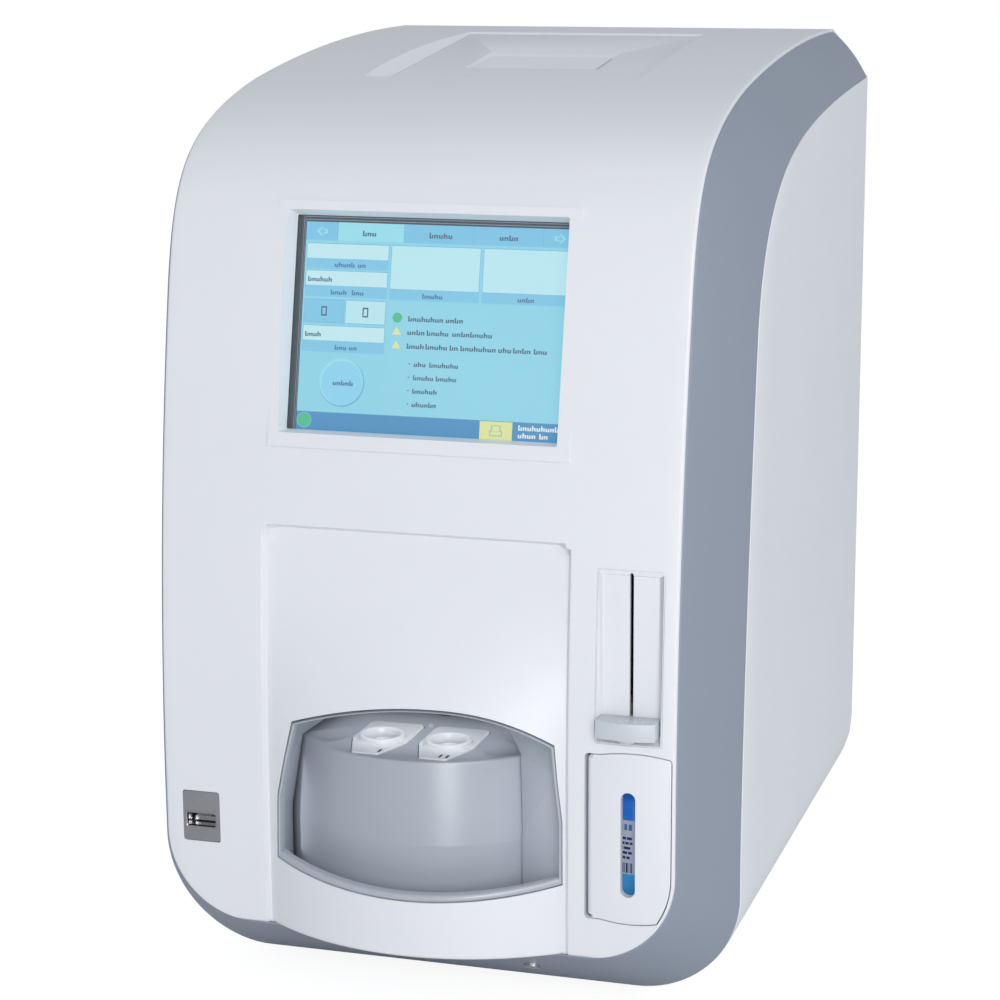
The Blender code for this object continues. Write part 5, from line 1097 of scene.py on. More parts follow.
@dataclass
class Hood(Workshop):
    """The white moulding: fascia, column, apron, shoulder and roof, with all its openings."""

    wall: float = 0.0035
    edge: float = 0.0012
    edge_steps: int = 5
    toe: float = 0.0015
    toe_top: float = 0.0355
    even_half: float = 0.0740
    least_step: float = 0.0004
    least_rim: float = 0.0016
    roof_low: float = 0.300
    plain_low: float = 0.215
    roof_steps: tuple = (22, 26, 40)
    across: tuple = ((0.0, 0.0), (0.0650, 0.0030), (0.0690, 0.0004), (0.0740, 0.0025), (0.1116, 0.0042))
    down: tuple = ((0.300, 0.0), (0.2125, 0.0035), (0.2070, 0.0004), (0.0600, 0.0032),
                   (0.0450, 0.0025), (0.0380, 0.0014), (0.0352, 0.0006), (0.034, 0.0003))
    door_gap: float = 0.0005
    usb_gap: float = 0.0003
    cut_from: float = -0.20
    cut_deep: float = 0.012
    track_deep: float = 0.022
    screen_place: Vec3 = (0.0, FORM.fascia_y + 0.027, 0.2905)
    screen_tilt: Vec3 = (-math.radians(12), 0.0, 0.0)
    mouth_rect: Rect = (-0.0588, 0.0580, -0.0431, 0.0453)
    mouth_corner: float = 0.0006
    mouth_slope: float = 0.0024 / 0.0083
    mouth_rounding: float = 0.2
    mouth_stops: tuple = (0.0003, -0.0006, -0.02)
    frame_low: Vec3 = (-0.0652, -0.0079, -0.0512)
    frame_high: Vec3 = (0.0652, -0.0021, 0.0512)
    floor_steps: int = 40
    floor_cut: float = 0.0014
    floor_back: float = 0.006
    floor_levels: Vec2 = (FORM.fascia_bottom + 0.0001, 0.0362)
    sharp: float = 28.0

    def rows(self) -> list[tuple[float, float, Vec2]]:
        """Places down the hood: (y, z, inward normal), from the rear of the roof to the bottom.

        Returns:
            The places.
        """
        path = [point for point in FORM.path(FORM.hood_shares, self.roof_steps) if point[1] > self.roof_low]
        path += [(FORM.face_y(z), z) for z in Outline.graded(self.down)]
        rows = [(y, z, (-run.y, run.x)) for (y, z), run in zip(path, Outline.runs(path))]
        return [(*rows[0][:2], (0.0, -1.0)), *rows[1:]]

    def places(self, half: float) -> list[Vec2]:
        """Places across the hood at a half width, with how far the rounded edge has fallen there.

        Args:
            half: Half the width there.

        Returns:
            Pairs of place and fall.
        """
        right = Outline.graded(self.across)
        inner = []
        for x in [-x for x in right[:0:-1]] + right:
            if abs(x) > self.even_half:
                share = (abs(x) - self.even_half) / (FORM.half_hood - self.edge - self.even_half)
                width = max(half - self.edge - self.even_half, self.least_step)
                x = math.copysign(self.even_half + share * width, x)
            inner.append((x, 0.0))
        rim = []
        for share in shares(self.edge_steps)[1:]:
            angle = math.pi / 2 * share
            x = max(half, self.even_half + self.least_rim) - self.edge * (1 - math.sin(angle))
            rim.append((x, self.edge * (1 - math.cos(angle))))
        return [(-x, drop) for x, drop in rim[::-1]] + inner + rim

    def grid(self, depth: float) -> list[list[Vec3]]:
        """Points of the hood's face or of its inner wall.

        Args:
            depth: How far under the face, 0 or the wall's thickness.

        Returns:
            Rows of points.
        """
        grid = []
        for y, z, normal in self.rows():
            front, toe = z < self.plain_low, 0.0
            if not depth and z < self.toe_top:
                toe = self.toe - math.sqrt(max(self.toe ** 2 - (self.toe_top - z) ** 2, 0.0))
            row = []
            for x, drop in self.places(FORM.half_width(z)):
                under = depth if depth else drop
                step = FORM.sink(x, z) - FORM.bulge(x, z) if front else 0.0
                row.append((x, y + normal[0] * under + step + toe, z + normal[1] * under))
            grid.append(row)
        return grid

    def mouth(self) -> Object:
        """The tool that opens the screen's mouth: straight over the glass, then flared to the face.

        Returns:
            The tool.
        """
        deep, straight, near = self.mouth_stops
        rings = []
        for y, grow in ((deep, 0.0), (straight, 0.0), (near, (straight - near) * self.mouth_slope)):
            corner = self.mouth_corner + grow * self.mouth_rounding
            loop = Outline.rounded(self.mouth_rect, corner, grow=grow)
            rings.append(self.upright(loop, y))
        return self.move(self.loft("tool", rings), self.screen_place, self.screen_tilt)

    def cutters(self) -> list[Object]:
        """Solids that open the hood: carousel, door, lever track, USB plate, screen and printer.

        Returns:
            The tools.
        """
        deep = self.cut_deep
        loops = ((CarouselWell().outline(0.0)[::-1], deep), (ReagentDoor().outline(self.door_gap), deep),
                 (LeverTrack().outline(0.0), self.track_deep), (UsbPort().outline(self.usb_gap), deep))
        tools = [self.plate("tool", loop, self.cut_from, FORM.fascia_y + end, Plane.XZ)
                 for loop, end in loops]
        return [*tools, self.mouth(), *PrinterLid().cutters()]

    def build(self) -> None:
        """Makes the hood, and the floor of its apron."""
        hood = self.skin("hood", self.grid(0.0), self.grid(self.wall))
        border = self.box("frame", self.frame_low, self.frame_high)
        self.move(border, self.screen_place, self.screen_tilt)
        self.combine(hood, Join.ADD, [border, PrinterLid().collar(), PrinterLid().rail()])
        self.combine(hood, Join.CUT, self.cutters())
        self.hand_over(hood, Body.HOUSING, "white", ["front_hood"], sharp=self.sharp)
        half, back = FORM.column_half, FORM.fascia_y + self.floor_back
        across = [half * (2 * t - 1) for t in shares(self.floor_steps)]
        outline = [(x, FORM.front_y(x, FORM.fascia_bottom) + self.floor_cut) for x in across]
        outline += [(half, back), (-half, back)]
        floor = self.plate("apron_floor", outline, *self.floor_levels, Plane.XY)
        self.hand_over(floor, Body.HOUSING, "white")


@dataclass
class Surround(Workshop):
    """The grey chamfer band and the two side panels."""

    wall: float = 0.003
    panel_wall: float = 0.0026
    seam: float = 0.0004
    proud: float = 0.0010
    bulge: float = 0.0016
    soft: float = 0.0006
    soft_share: float = 0.012
    steps: tuple = (22, 26, 34)
    turns: int = 20
    across: tuple = (0.0, 0.004, 0.012, 0.03, 0.08, 0.2, 0.35, 0.5, 0.65, 0.8, 0.92, 0.97, 0.988, 0.996, 1.0)
    bottom_shares: tuple = (0.66, 0.33, 0.0)
    panel_edge: tuple = ((0.0, 0.0008), (0.0002, 0.00035), (0.0005, 0.0001), (0.0009, 0.0))
    panel_rear: float = 0.002
    panel_steps: int = 12
    corner_rise: float = 0.008
    sharp: float = 40.0

    def stations(self) -> list[tuple[Vec3, Vec3, Vec3, Vec3]]:
        """Matching places of the band's four edges, from the rear of the roof to the bottom's middle.

        Returns:
            Four places for each station.
        """
        hood, side = (FORM.path(curves, self.steps) for curves in (FORM.hood_shares, FORM.side_shares))
        near, far = FORM.shifted(hood, self.proud), FORM.shifted(hood, self.proud + self.wall)
        edge = FORM.half_hood + self.seam
        stations = [((edge, *a), (edge, *b), (FORM.half_body - self.wall, *c), (FORM.half_body, *c))
                    for a, b, c in zip(near, far, side)]
        front, back = FORM.fascia_y + self.proud, FORM.fascia_y + FORM.setback
        low, radius = FORM.fascia_bottom - self.seam, FORM.fascia_corner + self.seam
        outer, inner = FORM.body_corner, FORM.body_corner - self.wall
        middle = (FORM.half_body - outer, FORM.floor + outer)
        for share in shares(self.turns):
            angle = -math.pi / 2 * share
            c, s = math.cos(angle), math.sin(angle)
            hood_x, hood_z = edge - radius + radius * c, low + radius + radius * s
            body_in, body_out = ((middle[0] + r * c, back, middle[1] + r * s) for r in (inner, outer))
            stations.append(((hood_x, front, hood_z), (hood_x, front + self.wall, hood_z), body_in, body_out))
        last = stations[-1]
        return stations + [tuple((x * share, y, z) for x, y, z in last) for share in self.bottom_shares]

    def section(self, station: tuple[Vec3, Vec3, Vec3, Vec3]) -> list[Vector]:
        """The band's closed cross-section, gently bulged, with softened edges.

        Args:
            station: The places of the band's four edges.

        Returns:
            The section's points.
        """
        hood_out, hood_in, side_in, side_out = (Vector(spot) for spot in station)
        lean = ((hood_out - hood_in).normalized() + (side_out - side_in).normalized()).normalized()
        outer, inner = [], []
        for t in self.across:
            soft = self.soft * (1 - min(min(t, 1 - t) / self.soft_share, 1.0)) ** 2
            swell = lean * self.bulge * 4 * t * (1 - t)
            outer.append(hood_out.lerp(side_out, t) + swell - lean * soft)
            inner.append(hood_in.lerp(side_in, t) + swell)
        return outer + inner[::-1]

    def build_band(self) -> None:
        """Makes the band as a loft, right half first, then its mirror image."""
        right = [self.section(station) for station in self.stations()]
        band = self.loft("surround", right + [self.mirrored(ring) for ring in right[-2::-1]])
        self.hand_over(band, Body.HOUSING, "grey", ["surround_band"], sharp=self.sharp)

    def panel_rows(self, depth: float) -> list[list[Vec3]]:
        """Rows of a right side panel's face, down its front edge, each from there to the rear.

        Args:
            depth: How far under the face.

        Returns:
            Rows of points.
        """
        path = FORM.shifted(FORM.path(FORM.side_shares, self.steps), self.seam)
        front = FORM.fascia_y + FORM.setback + self.seam
        centre = FORM.floor + FORM.body_corner
        spots = [(y, z, None) for y, z in [*path, (front, centre + self.corner_rise)]]
        spots += [(front, centre, math.radians(90.0 * share)) for share in shares(self.turns)]
        rows = []
        for y, z, angle in spots:
            start = min(y, FORM.rear_y - self.panel_rear)
            places = [(start + step, fall) for step, fall in self.panel_edge]
            edge = self.panel_edge[-1][0]
            span = FORM.rear_y - start - edge
            places += [(start + edge + span * share, 0.0) for share in shares(self.panel_steps)[1:]]
            row = []
            for level, fall in places:
                under = depth if depth else fall
                if angle is None:
                    row.append((FORM.half_body - under, level, z))
                else:
                    radius = FORM.body_corner - under
                    x = FORM.half_body - FORM.body_corner + radius * math.cos(angle)
                    row.append((x, level, z - radius * math.sin(angle)))
            rows.append(row)
        return rows

    def build(self) -> None:
        """Makes the band and both panels."""
        self.build_band()
        outer, inner = self.panel_rows(0.0), self.panel_rows(self.panel_wall)
        for name in ("right_side_panel", "left_side_panel"):
            panel = self.skin(name + "_skin", outer, inner)
            self.hand_over(panel, Body.HOUSING, "panel", [name], sharp=self.sharp)
            outer, inner = ([self.mirrored(row) for row in grid] for grid in (outer, inner))


# Carousel


@dataclass
class CarouselWell(Workshop):
    """The opening in the apron, and the grey faceted funnel with its rolled lip."""

    low_left: Vec2 = (-0.0614, 0.0648)
    side_left: Vec2 = (-0.0608, 0.0930)
    point_left: Vec2 = (-0.0570, 0.1100)
    top_left: Vec2 = (-0.0533, 0.1263)
    crown: Vec2 = (0.0100, 0.1379)
    top_right: Vec2 = (0.0614, 0.1250)
    point_right: Vec2 = (0.0628, 0.1095)
    side_right: Vec2 = (0.0647, 0.0920)
    low_right: Vec2 = (0.0648, 0.0645)
    left_power: float = 2.0
    right_power: float = 2.4
    sill_drop: float = 0.0061
    seam: float = 0.0003
    side_lip: float = 0.0014
    arch_lip: float = 0.0006
    sill_lip: float = 0.0030
    arch_seam: float = 0.0006
    lip_back: float = 0.0043
    side_back: float = 0.0046
    side_extra: float = 0.0005
    lip_section: tuple = ((0.001, 0.0010), (0.06, 0.00045), (0.2, 0.0001), (0.4, 0.0), (0.6, 0.0001),
                          (0.8, 0.0004), (0.93, 0.0009), (1.0, 0.0017))
    wall: float = 0.002
    left_x: float = -0.0640
    left_top_x: float = -0.0575
    right_x: float = 0.0422
    right_top_x: float = 0.0408
    floor: float = 0.055
    facet_low: float = 0.0812
    facet_high: float = 0.1135
    ceiling: float = 0.1392
    arch_power: float = 4.5
    drum_clearance: float = 0.0012
    vault_front: float = 0.022
    back_depth: float = 0.093
    bow_power: float = 2.5
    bow_root: float = 0.4
    vault_share: float = 0.8
    hem: float = 0.0019
    hem_from: float = 0.030
    hem_to: float = 0.060
    steps: int = 24
    side_steps: int = 5
    sharp: float = 30.0

    def outline(self, share: float) -> list[Vec2]:
        """The opening, clockwise from its lower left corner.

        Args:
            share: How far across the lip it lies: 0 at the hood, 1 at the lip's inner edge.

        Returns:
            Points (x, z): left side and facet point, arch, facet point and right side, sill.
        """
        gap = self.seam if share > 0 else 0.0
        side, arch, sill = (gap + share * width for width in (self.side_lip, self.arch_lip, self.sill_lip))
        edges = []
        for low, high, point, inward in ((self.low_left, self.side_left, self.point_left, side),
                                         (self.low_right, self.side_right, self.point_right, -side)):
            edge = [(low[0] + (high[0] - low[0]) * t + inward, low[1] + sill + (high[1] - low[1] - sill) * t)
                    for t in shares(self.side_steps)]
            edges.append(edge + [(point[0] + inward, point[1])])
        (left, right), top = edges, []
        for t in (2 * share - 1 for share in shares(self.steps)):
            end, power = (self.top_left, self.left_power) if t < 0 else (self.top_right, self.right_power)
            reach = abs(end[0] - self.crown[0]) - side
            fall = (self.crown[1] - end[1]) * abs(t) ** power + arch + (self.arch_seam if gap else 0.0)
            top.append((self.crown[0] + t * reach, self.crown[1] - fall))
        (x, z), (end_x, end_z) = right[0], left[0]
        floor = [(x + (end_x - x) * t, z + (end_z - z) * t - self.sill_drop * 4 * t * (1 - t))
                 for t in shares(self.steps)[1:-1]]
        return left + top + right[::-1] + floor

    def ring(self, share: float, depth: float, side_depth: Optional[float] = None) -> list[Vec3]:
        """The opening's outline laid behind the apron's face.

        Args:
            share: How far across the lip it lies.
            depth: How far behind the face.
            side_depth: The same for the side edges, where it differs.

        Returns:
            The ring.
        """
        points = [[x, FORM.front_y(x, z) + depth, z] for x, z in self.outline(share)]
        n, m = self.side_steps, self.steps
        for index in [*range(n + 1), *range(n + m + 4, 2 * n + m + 5)]:
            points[index][1] += (side_depth or depth) - depth
        return [tuple(spot) for spot in points]

    def drum_gap(self, x: float, z: float) -> float:
        """World Y just in front of the drum's skin."""
        return Drum.y - math.sqrt((Drum().radius(z) + self.drum_clearance) ** 2 - (x - Drum.x) ** 2)

    def shelf(self) -> list[Vec3]:
        """The funnel's inner ring, against the drum: left edge, ceiling, right edge and floor.

        Returns:
            The ring.
        """
        levels = [self.floor + (self.facet_low - self.floor) * t for t in shares(self.side_steps)]
        points = [(self.left_x, self.drum_gap(self.left_x, z), z) for z in levels]
        left_y = self.drum_gap(self.left_top_x, self.facet_high)
        right_y = self.drum_gap(self.right_top_x, self.facet_high)
        for share in shares(self.steps):
            t = 2 * share - 1
            x = (self.left_top_x + self.right_top_x + t * (self.right_top_x - self.left_top_x)) / 2
            rise = (self.ceiling - self.facet_high) * (1 - abs(t) ** self.arch_power)
            points.append((x, left_y + (right_y - left_y) * (t + 1) / 2, self.facet_high + rise))
        points += [(self.right_x, self.drum_gap(self.right_x, z), z) for z in levels[::-1]]
        floor = [self.right_x + (self.left_x - self.right_x) * t for t in shares(self.steps)[1:-1]]
        return points + [(x, self.drum_gap(x, self.floor), self.floor) for x in floor]

    def vault(self) -> list[list[Vec3]]:
        """Two rings behind the ceiling's front edge: the rear wall's top, and its foot at the drum's top.

        Returns:
            The rings.
        """
        middle, half = (self.left_top_x + self.right_top_x) / 2, (self.right_top_x - self.left_top_x) / 2
        rings, low = [], self.facet_high
        for lift in (1.0, 0.0):
            ring = []
            for x, y, z in self.shelf()[self.side_steps + 1:self.side_steps + 2 + self.steps]:
                bow = max(1 - abs((x - middle) / half) ** self.bow_power, 0.0) ** self.bow_root
                back = max(y, FORM.fascia_y + self.vault_front + (self.back_depth - self.vault_front) * bow)
                reach = math.hypot(x - Drum.x, back - Drum.y)
                hem = self.hem if self.hem_from < reach < self.hem_to else 0.0
                ring.append((x, back, low + hem + (z - low - hem) * self.vault_share * lift))
            rings.append(ring)
        return rings

    def seams(self) -> list[tuple[int, int]]:
        """Pairs of the opening's and the shelf's points that the funnel's facets run between.

        Returns:
            Pairs of numbers of points.
        """
        n, m = self.side_steps, self.steps
        pairs = [(k, k) for k in range(n + 1)] + [(n + 1, n), (n + 1, n + 1)]
        pairs += [(n + 2 + k, n + 1 + k) for k in range(m + 1)]
        pairs += [(n + m + 3, n + m + 1), (n + m + 3, n + m + 2)]
        return pairs + [(n + m + 4 + k, n + m + 2 + k) for k in range(n + m)]

    def build_lip(self) -> None:
        """Makes the rolled lip round the opening."""
        back, side = self.lip_back, self.side_back + self.side_extra
        first, last = self.lip_section[0][0], self.lip_section[-1][0]
        rings = [self.ring(share, depth) for share, depth in self.lip_section]
        rings = [self.ring(first, back, side), *rings, self.ring(last, back, side)]
        lip = self.loft("lip", rings, closed=True)
        self.hand_over(lip, Body.HOUSING, "drum", ["carousel_bezel"], Look.BEZEL, self.sharp)

    def build_funnel(self) -> None:
        """Makes the funnel from the lip to the drum's skin, with its corner creases kept sharp."""
        start, shelf = self.ring(1.0, self.lip_back, self.side_back), self.shelf()
        size, row = len(start), self.steps + 1
        first, deep = size + self.side_steps + 1, size + len(shelf)
        seams, faces = self.seams(), []
        for (lip_a, shelf_a), (lip_b, shelf_b) in zip(seams, seams[1:] + seams[:1]):
            faces.append(tuple(dict.fromkeys((lip_a, lip_b, size + shelf_b, size + shelf_a))))
        for near, far in ((first, deep), (deep, deep + row)):
            faces += [(near + k, near + k + 1, far + k + 1, far + k) for k in range(row - 1)]
        points = start + shelf + [spot for ring in self.vault() for spot in ring]
        funnel = self.from_faces("funnel", points, faces)
        if max(funnel.data.polygons, key=lambda face: face.center.y).normal.y > 0:
            funnel.data.flip_normals()
        wall = funnel.modifiers.new("wall", "SOLIDIFY")
        wall.thickness = self.wall
        wall.offset = -1
        wall.use_even_offset = True
        self.hand_over(self.settle(funnel), Body.HOUSING, "drum", look=Look.BEZEL)
        corners = (self.side_steps + 1, self.side_steps + self.steps + 3)
        creases = {(a, size + b) for a, b in seams if a in corners}
        for edge in funnel.data.edges:
            if tuple(sorted(edge.vertices)) in creases:
                edge.use_edge_sharp = True

    def build(self) -> None:
        """Makes lip and funnel."""
        self.build_lip()
        self.build_funnel()


@dataclass
class Cassette(Workshop):
    """A test cassette: an elongated plate with a raised cup, a membrane, pin dimples and slot marks."""

    name: str
    body: Body
    centre_x: float
    marks: int
    width: float = 0.0250
    length: float = 0.0440
    top: float = 0.1126
    height: float = 0.0058
    front_y: float = -0.1427
    edge: float = 0.0005
    corner_cut: float = 0.0011
    corners: tuple = ((-0.24, 0.0), (0.24, 0.0), (0.5, 0.43), (0.5, 0.93), (0.43, 1.0), (-0.43, 1.0),
                      (-0.5, 0.93), (-0.5, 0.43))
    cup_y: float = 0.0222
    cup_radius: float = 0.0078
    cup_deep: float = 0.0051
    above: float = 0.01
    dimples: tuple = (-0.0101, 0.0099)
    dimple_y: float = 0.0160
    dimple_radius: float = 0.0013
    dimple_deep: float = 0.0010
    mark_x: float = 0.0054
    mark_pitch: float = 0.0030
    mark_half: float = 0.00055
    mark_from: float = 0.0019
    mark_to: float = 0.0062
    ink_low: float = 0.0012
    ink_top: float = 0.0001
    cup_wall: tuple = ((0.0106, -0.0002), (0.0101, 0.0002), (0.0100, 0.0014), (0.0097, 0.0017),
                       (0.0094, 0.0018), (0.0085, 0.0018), (0.0080, 0.0015), (0.0077, 0.0009),
                       (0.0074, -0.0030), (0.0079, -0.0040))
    nozzle: tuple = ((0.0046, -0.0050), (0.0046, -0.0018), (0.0043, -0.0014), (0.0038, -0.0014),
                     (0.0036, -0.0018), (0.0032, -0.0050))
    disc: tuple = ((0, -0.0048), (0.0032, -0.0048), (0.0032, -0.0042), (0, -0.0040))

    def outline(self, grow: float = 0.0) -> list[Vec2]:
        """The plate's outline, front edge first.

        Args:
            grow: How far every edge is moved outwards.

        Returns:
            The outline.
        """
        wide, long = self.width + 2 * grow, self.length + 2 * grow
        middle = self.front_y + self.length / 2
        corners = [(self.centre_x + x * wide, middle + (y - 0.5) * long) for x, y in self.corners]
        return Outline.softened(corners, self.corner_cut)

    def mark(self, name: str, index: int, low: float, high: float) -> Object:
        """One slot mark's block between two heights from the top.

        Args:
            name: The piece's name.
            index: Which mark it is, from the right.
            low: Its lower end, from the top.
            high: Its upper end, from the top.

        Returns:
            The block.
        """
        x, y, top = self.centre_x + self.mark_x - index * self.mark_pitch, self.front_y, self.top
        corner = (x - self.mark_half, y + self.mark_from, top + low)
        return self.box(name, corner, (x + self.mark_half, y + self.mark_to, top + high))

    def build(self) -> None:
        """Makes the cassette."""
        edge, top, low = self.edge, self.top, self.top - self.height
        rings = [self.flat(Outline.inset(self.outline(), inset), z) for inset, z in (
            (edge, low), (0.0, low + edge), (0.0, top - edge), (edge * 0.3, top - edge * 0.3), (edge, top))]
        plate = self.loft("plate", rings)
        middle = (self.centre_x, self.front_y + self.cup_y, 0)
        tools = [self.pin(self.cup_radius, top - self.cup_deep, top + self.above, middle, 64)]
        for across in self.dimples:
            spot = (self.centre_x + across, self.front_y + self.dimple_y, 0.0)
            tools.append(self.pin(self.dimple_radius, top - self.dimple_deep, top + self.above, spot, 24))
        tools += [self.mark("tool", index, -self.dimple_deep, self.above) for index in range(self.marks)]
        inks = [self.mark("mark", index, -self.ink_low, -self.ink_top) for index in range(self.marks)]
        self.combine(plate, Join.CUT, tools)
        turned, profiles = [], ((self.cup_wall, 72, True), (self.nozzle, 48, True), (self.disc, 32, False))
        for profile, steps, closed in profiles:
            lifted = [(r, top + z) for r, z in profile]
            turned.append(self.lathe("turned", lifted, middle, steps, closed=closed))
        looks = [Look.CASSETTE] * 3 + [Look.MEMBRANE] + [Look.INK] * self.marks
        pieces = [self.paint(piece, look) for piece, look in zip([plate, *turned, *inks], looks)]
        self.hand_over(self.merge(self.name + "_shape", pieces), self.body, "cassette", [self.name])


@dataclass
class Drum(Workshop):
    """The tapered carousel drum with pockets for the cassettes and two finger dents."""

    x: float = -0.0084
    y: float = -0.0775
    top: float = 0.112
    bottom: float = 0.049
    crease: float = 0.076
    outer: float = 0.073
    top_radius: float = 0.070
    edge: float = 0.0010
    bore: float = 0.0053
    hub: float = 0.013
    hub_low: float = 0.060
    inner: float = 0.070
    inner_top: float = 0.0685
    roof: float = 0.008
    pocket_gap: float = 0.0003
    pocket_top: float = 0.13
    dent_at: Vec2 = (0.038, -0.0440)
    dent: tuple = ((0, -0.0009), (0.0060, -0.0008), (0.0080, 0.0), (0.0080, 0.01), (0, 0.01))
    stud_at: Vec2 = (-0.0014, -0.0203)
    stud: tuple = ((0, -0.002), (0.0016, -0.002), (0.0016, 0.0004), (0.0012, 0.0010), (0, 0.0012))
    steps: int = 192
    sharp: float = 35.0
    near_crease: float = 0.0001
    near_skin: float = 0.001

    def radius(self, z: float) -> float:
        """The drum's radius at a height.

        Args:
            z: The height.

        Returns:
            The radius.
        """
        if z <= self.crease:
            return self.outer
        return self.outer + (z - self.crease) / (self.top - self.crease) * (self.top_radius - self.outer)

    def turned(self, profile: tuple, across: float, along: float, steps: int) -> Object:
        """A form turned round a place on the drum's top, with heights from there."""
        lifted = [(r, self.top + z) for r, z in profile]
        return self.lathe("turned", lifted, (self.x + across, self.y + along, 0), steps)

    def build(self, cassettes: Sequence[Cassette]) -> None:
        """Makes the drum, with a pocket for each cassette.

        Args:
            cassettes: The cassettes that have a pocket.
        """
        reach, rise, edge = self.top_radius - self.edge, self.top - self.edge, self.edge
        angles = [math.radians(step * 18) for step in range(6)]
        corner = [(reach + edge * math.sin(angle), rise + edge * math.cos(angle)) for angle in angles]
        roof = self.top - self.roof
        profile = [(self.bore, self.top), *corner, (self.outer, self.crease), (self.outer, self.bottom),
                   (self.inner, self.bottom), (self.inner, self.crease), (self.inner_top, roof),
                   (self.hub, roof), (self.hub, self.hub_low), (self.bore, self.hub_low)]
        drum = self.lathe("drum", profile, (self.x, self.y, 0), self.steps, closed=True)
        tools = []
        for cassette in cassettes:
            low, loop = cassette.top - cassette.height - self.pocket_gap, cassette.outline(self.pocket_gap)
            tools.append(self.plate("tool", loop, low, self.pocket_top, Plane.XY))
        tools += [self.turned(self.dent, side * self.dent_at[0], self.dent_at[1], 48) for side in (-1, 1)]
        self.combine(drum, Join.CUT, tools)
        drum = self.merge("drum_shape", [drum, self.turned(self.stud, *self.stud_at, 24)])
        self.hand_over(drum, Body.CAROUSEL, "drum", ["carousel_drum"], sharp=self.sharp)
        centre, spots = Vector((self.x, self.y, self.crease)), drum.data.vertices
        for edge in drum.data.edges:
            ends = [spots[index].co - centre for index in edge.vertices]
            skin = self.outer - self.near_skin
            if all(abs(end.z) < self.near_crease and math.hypot(end.x, end.y) > skin for end in ends):
                edge.use_edge_sharp = True


# Screen


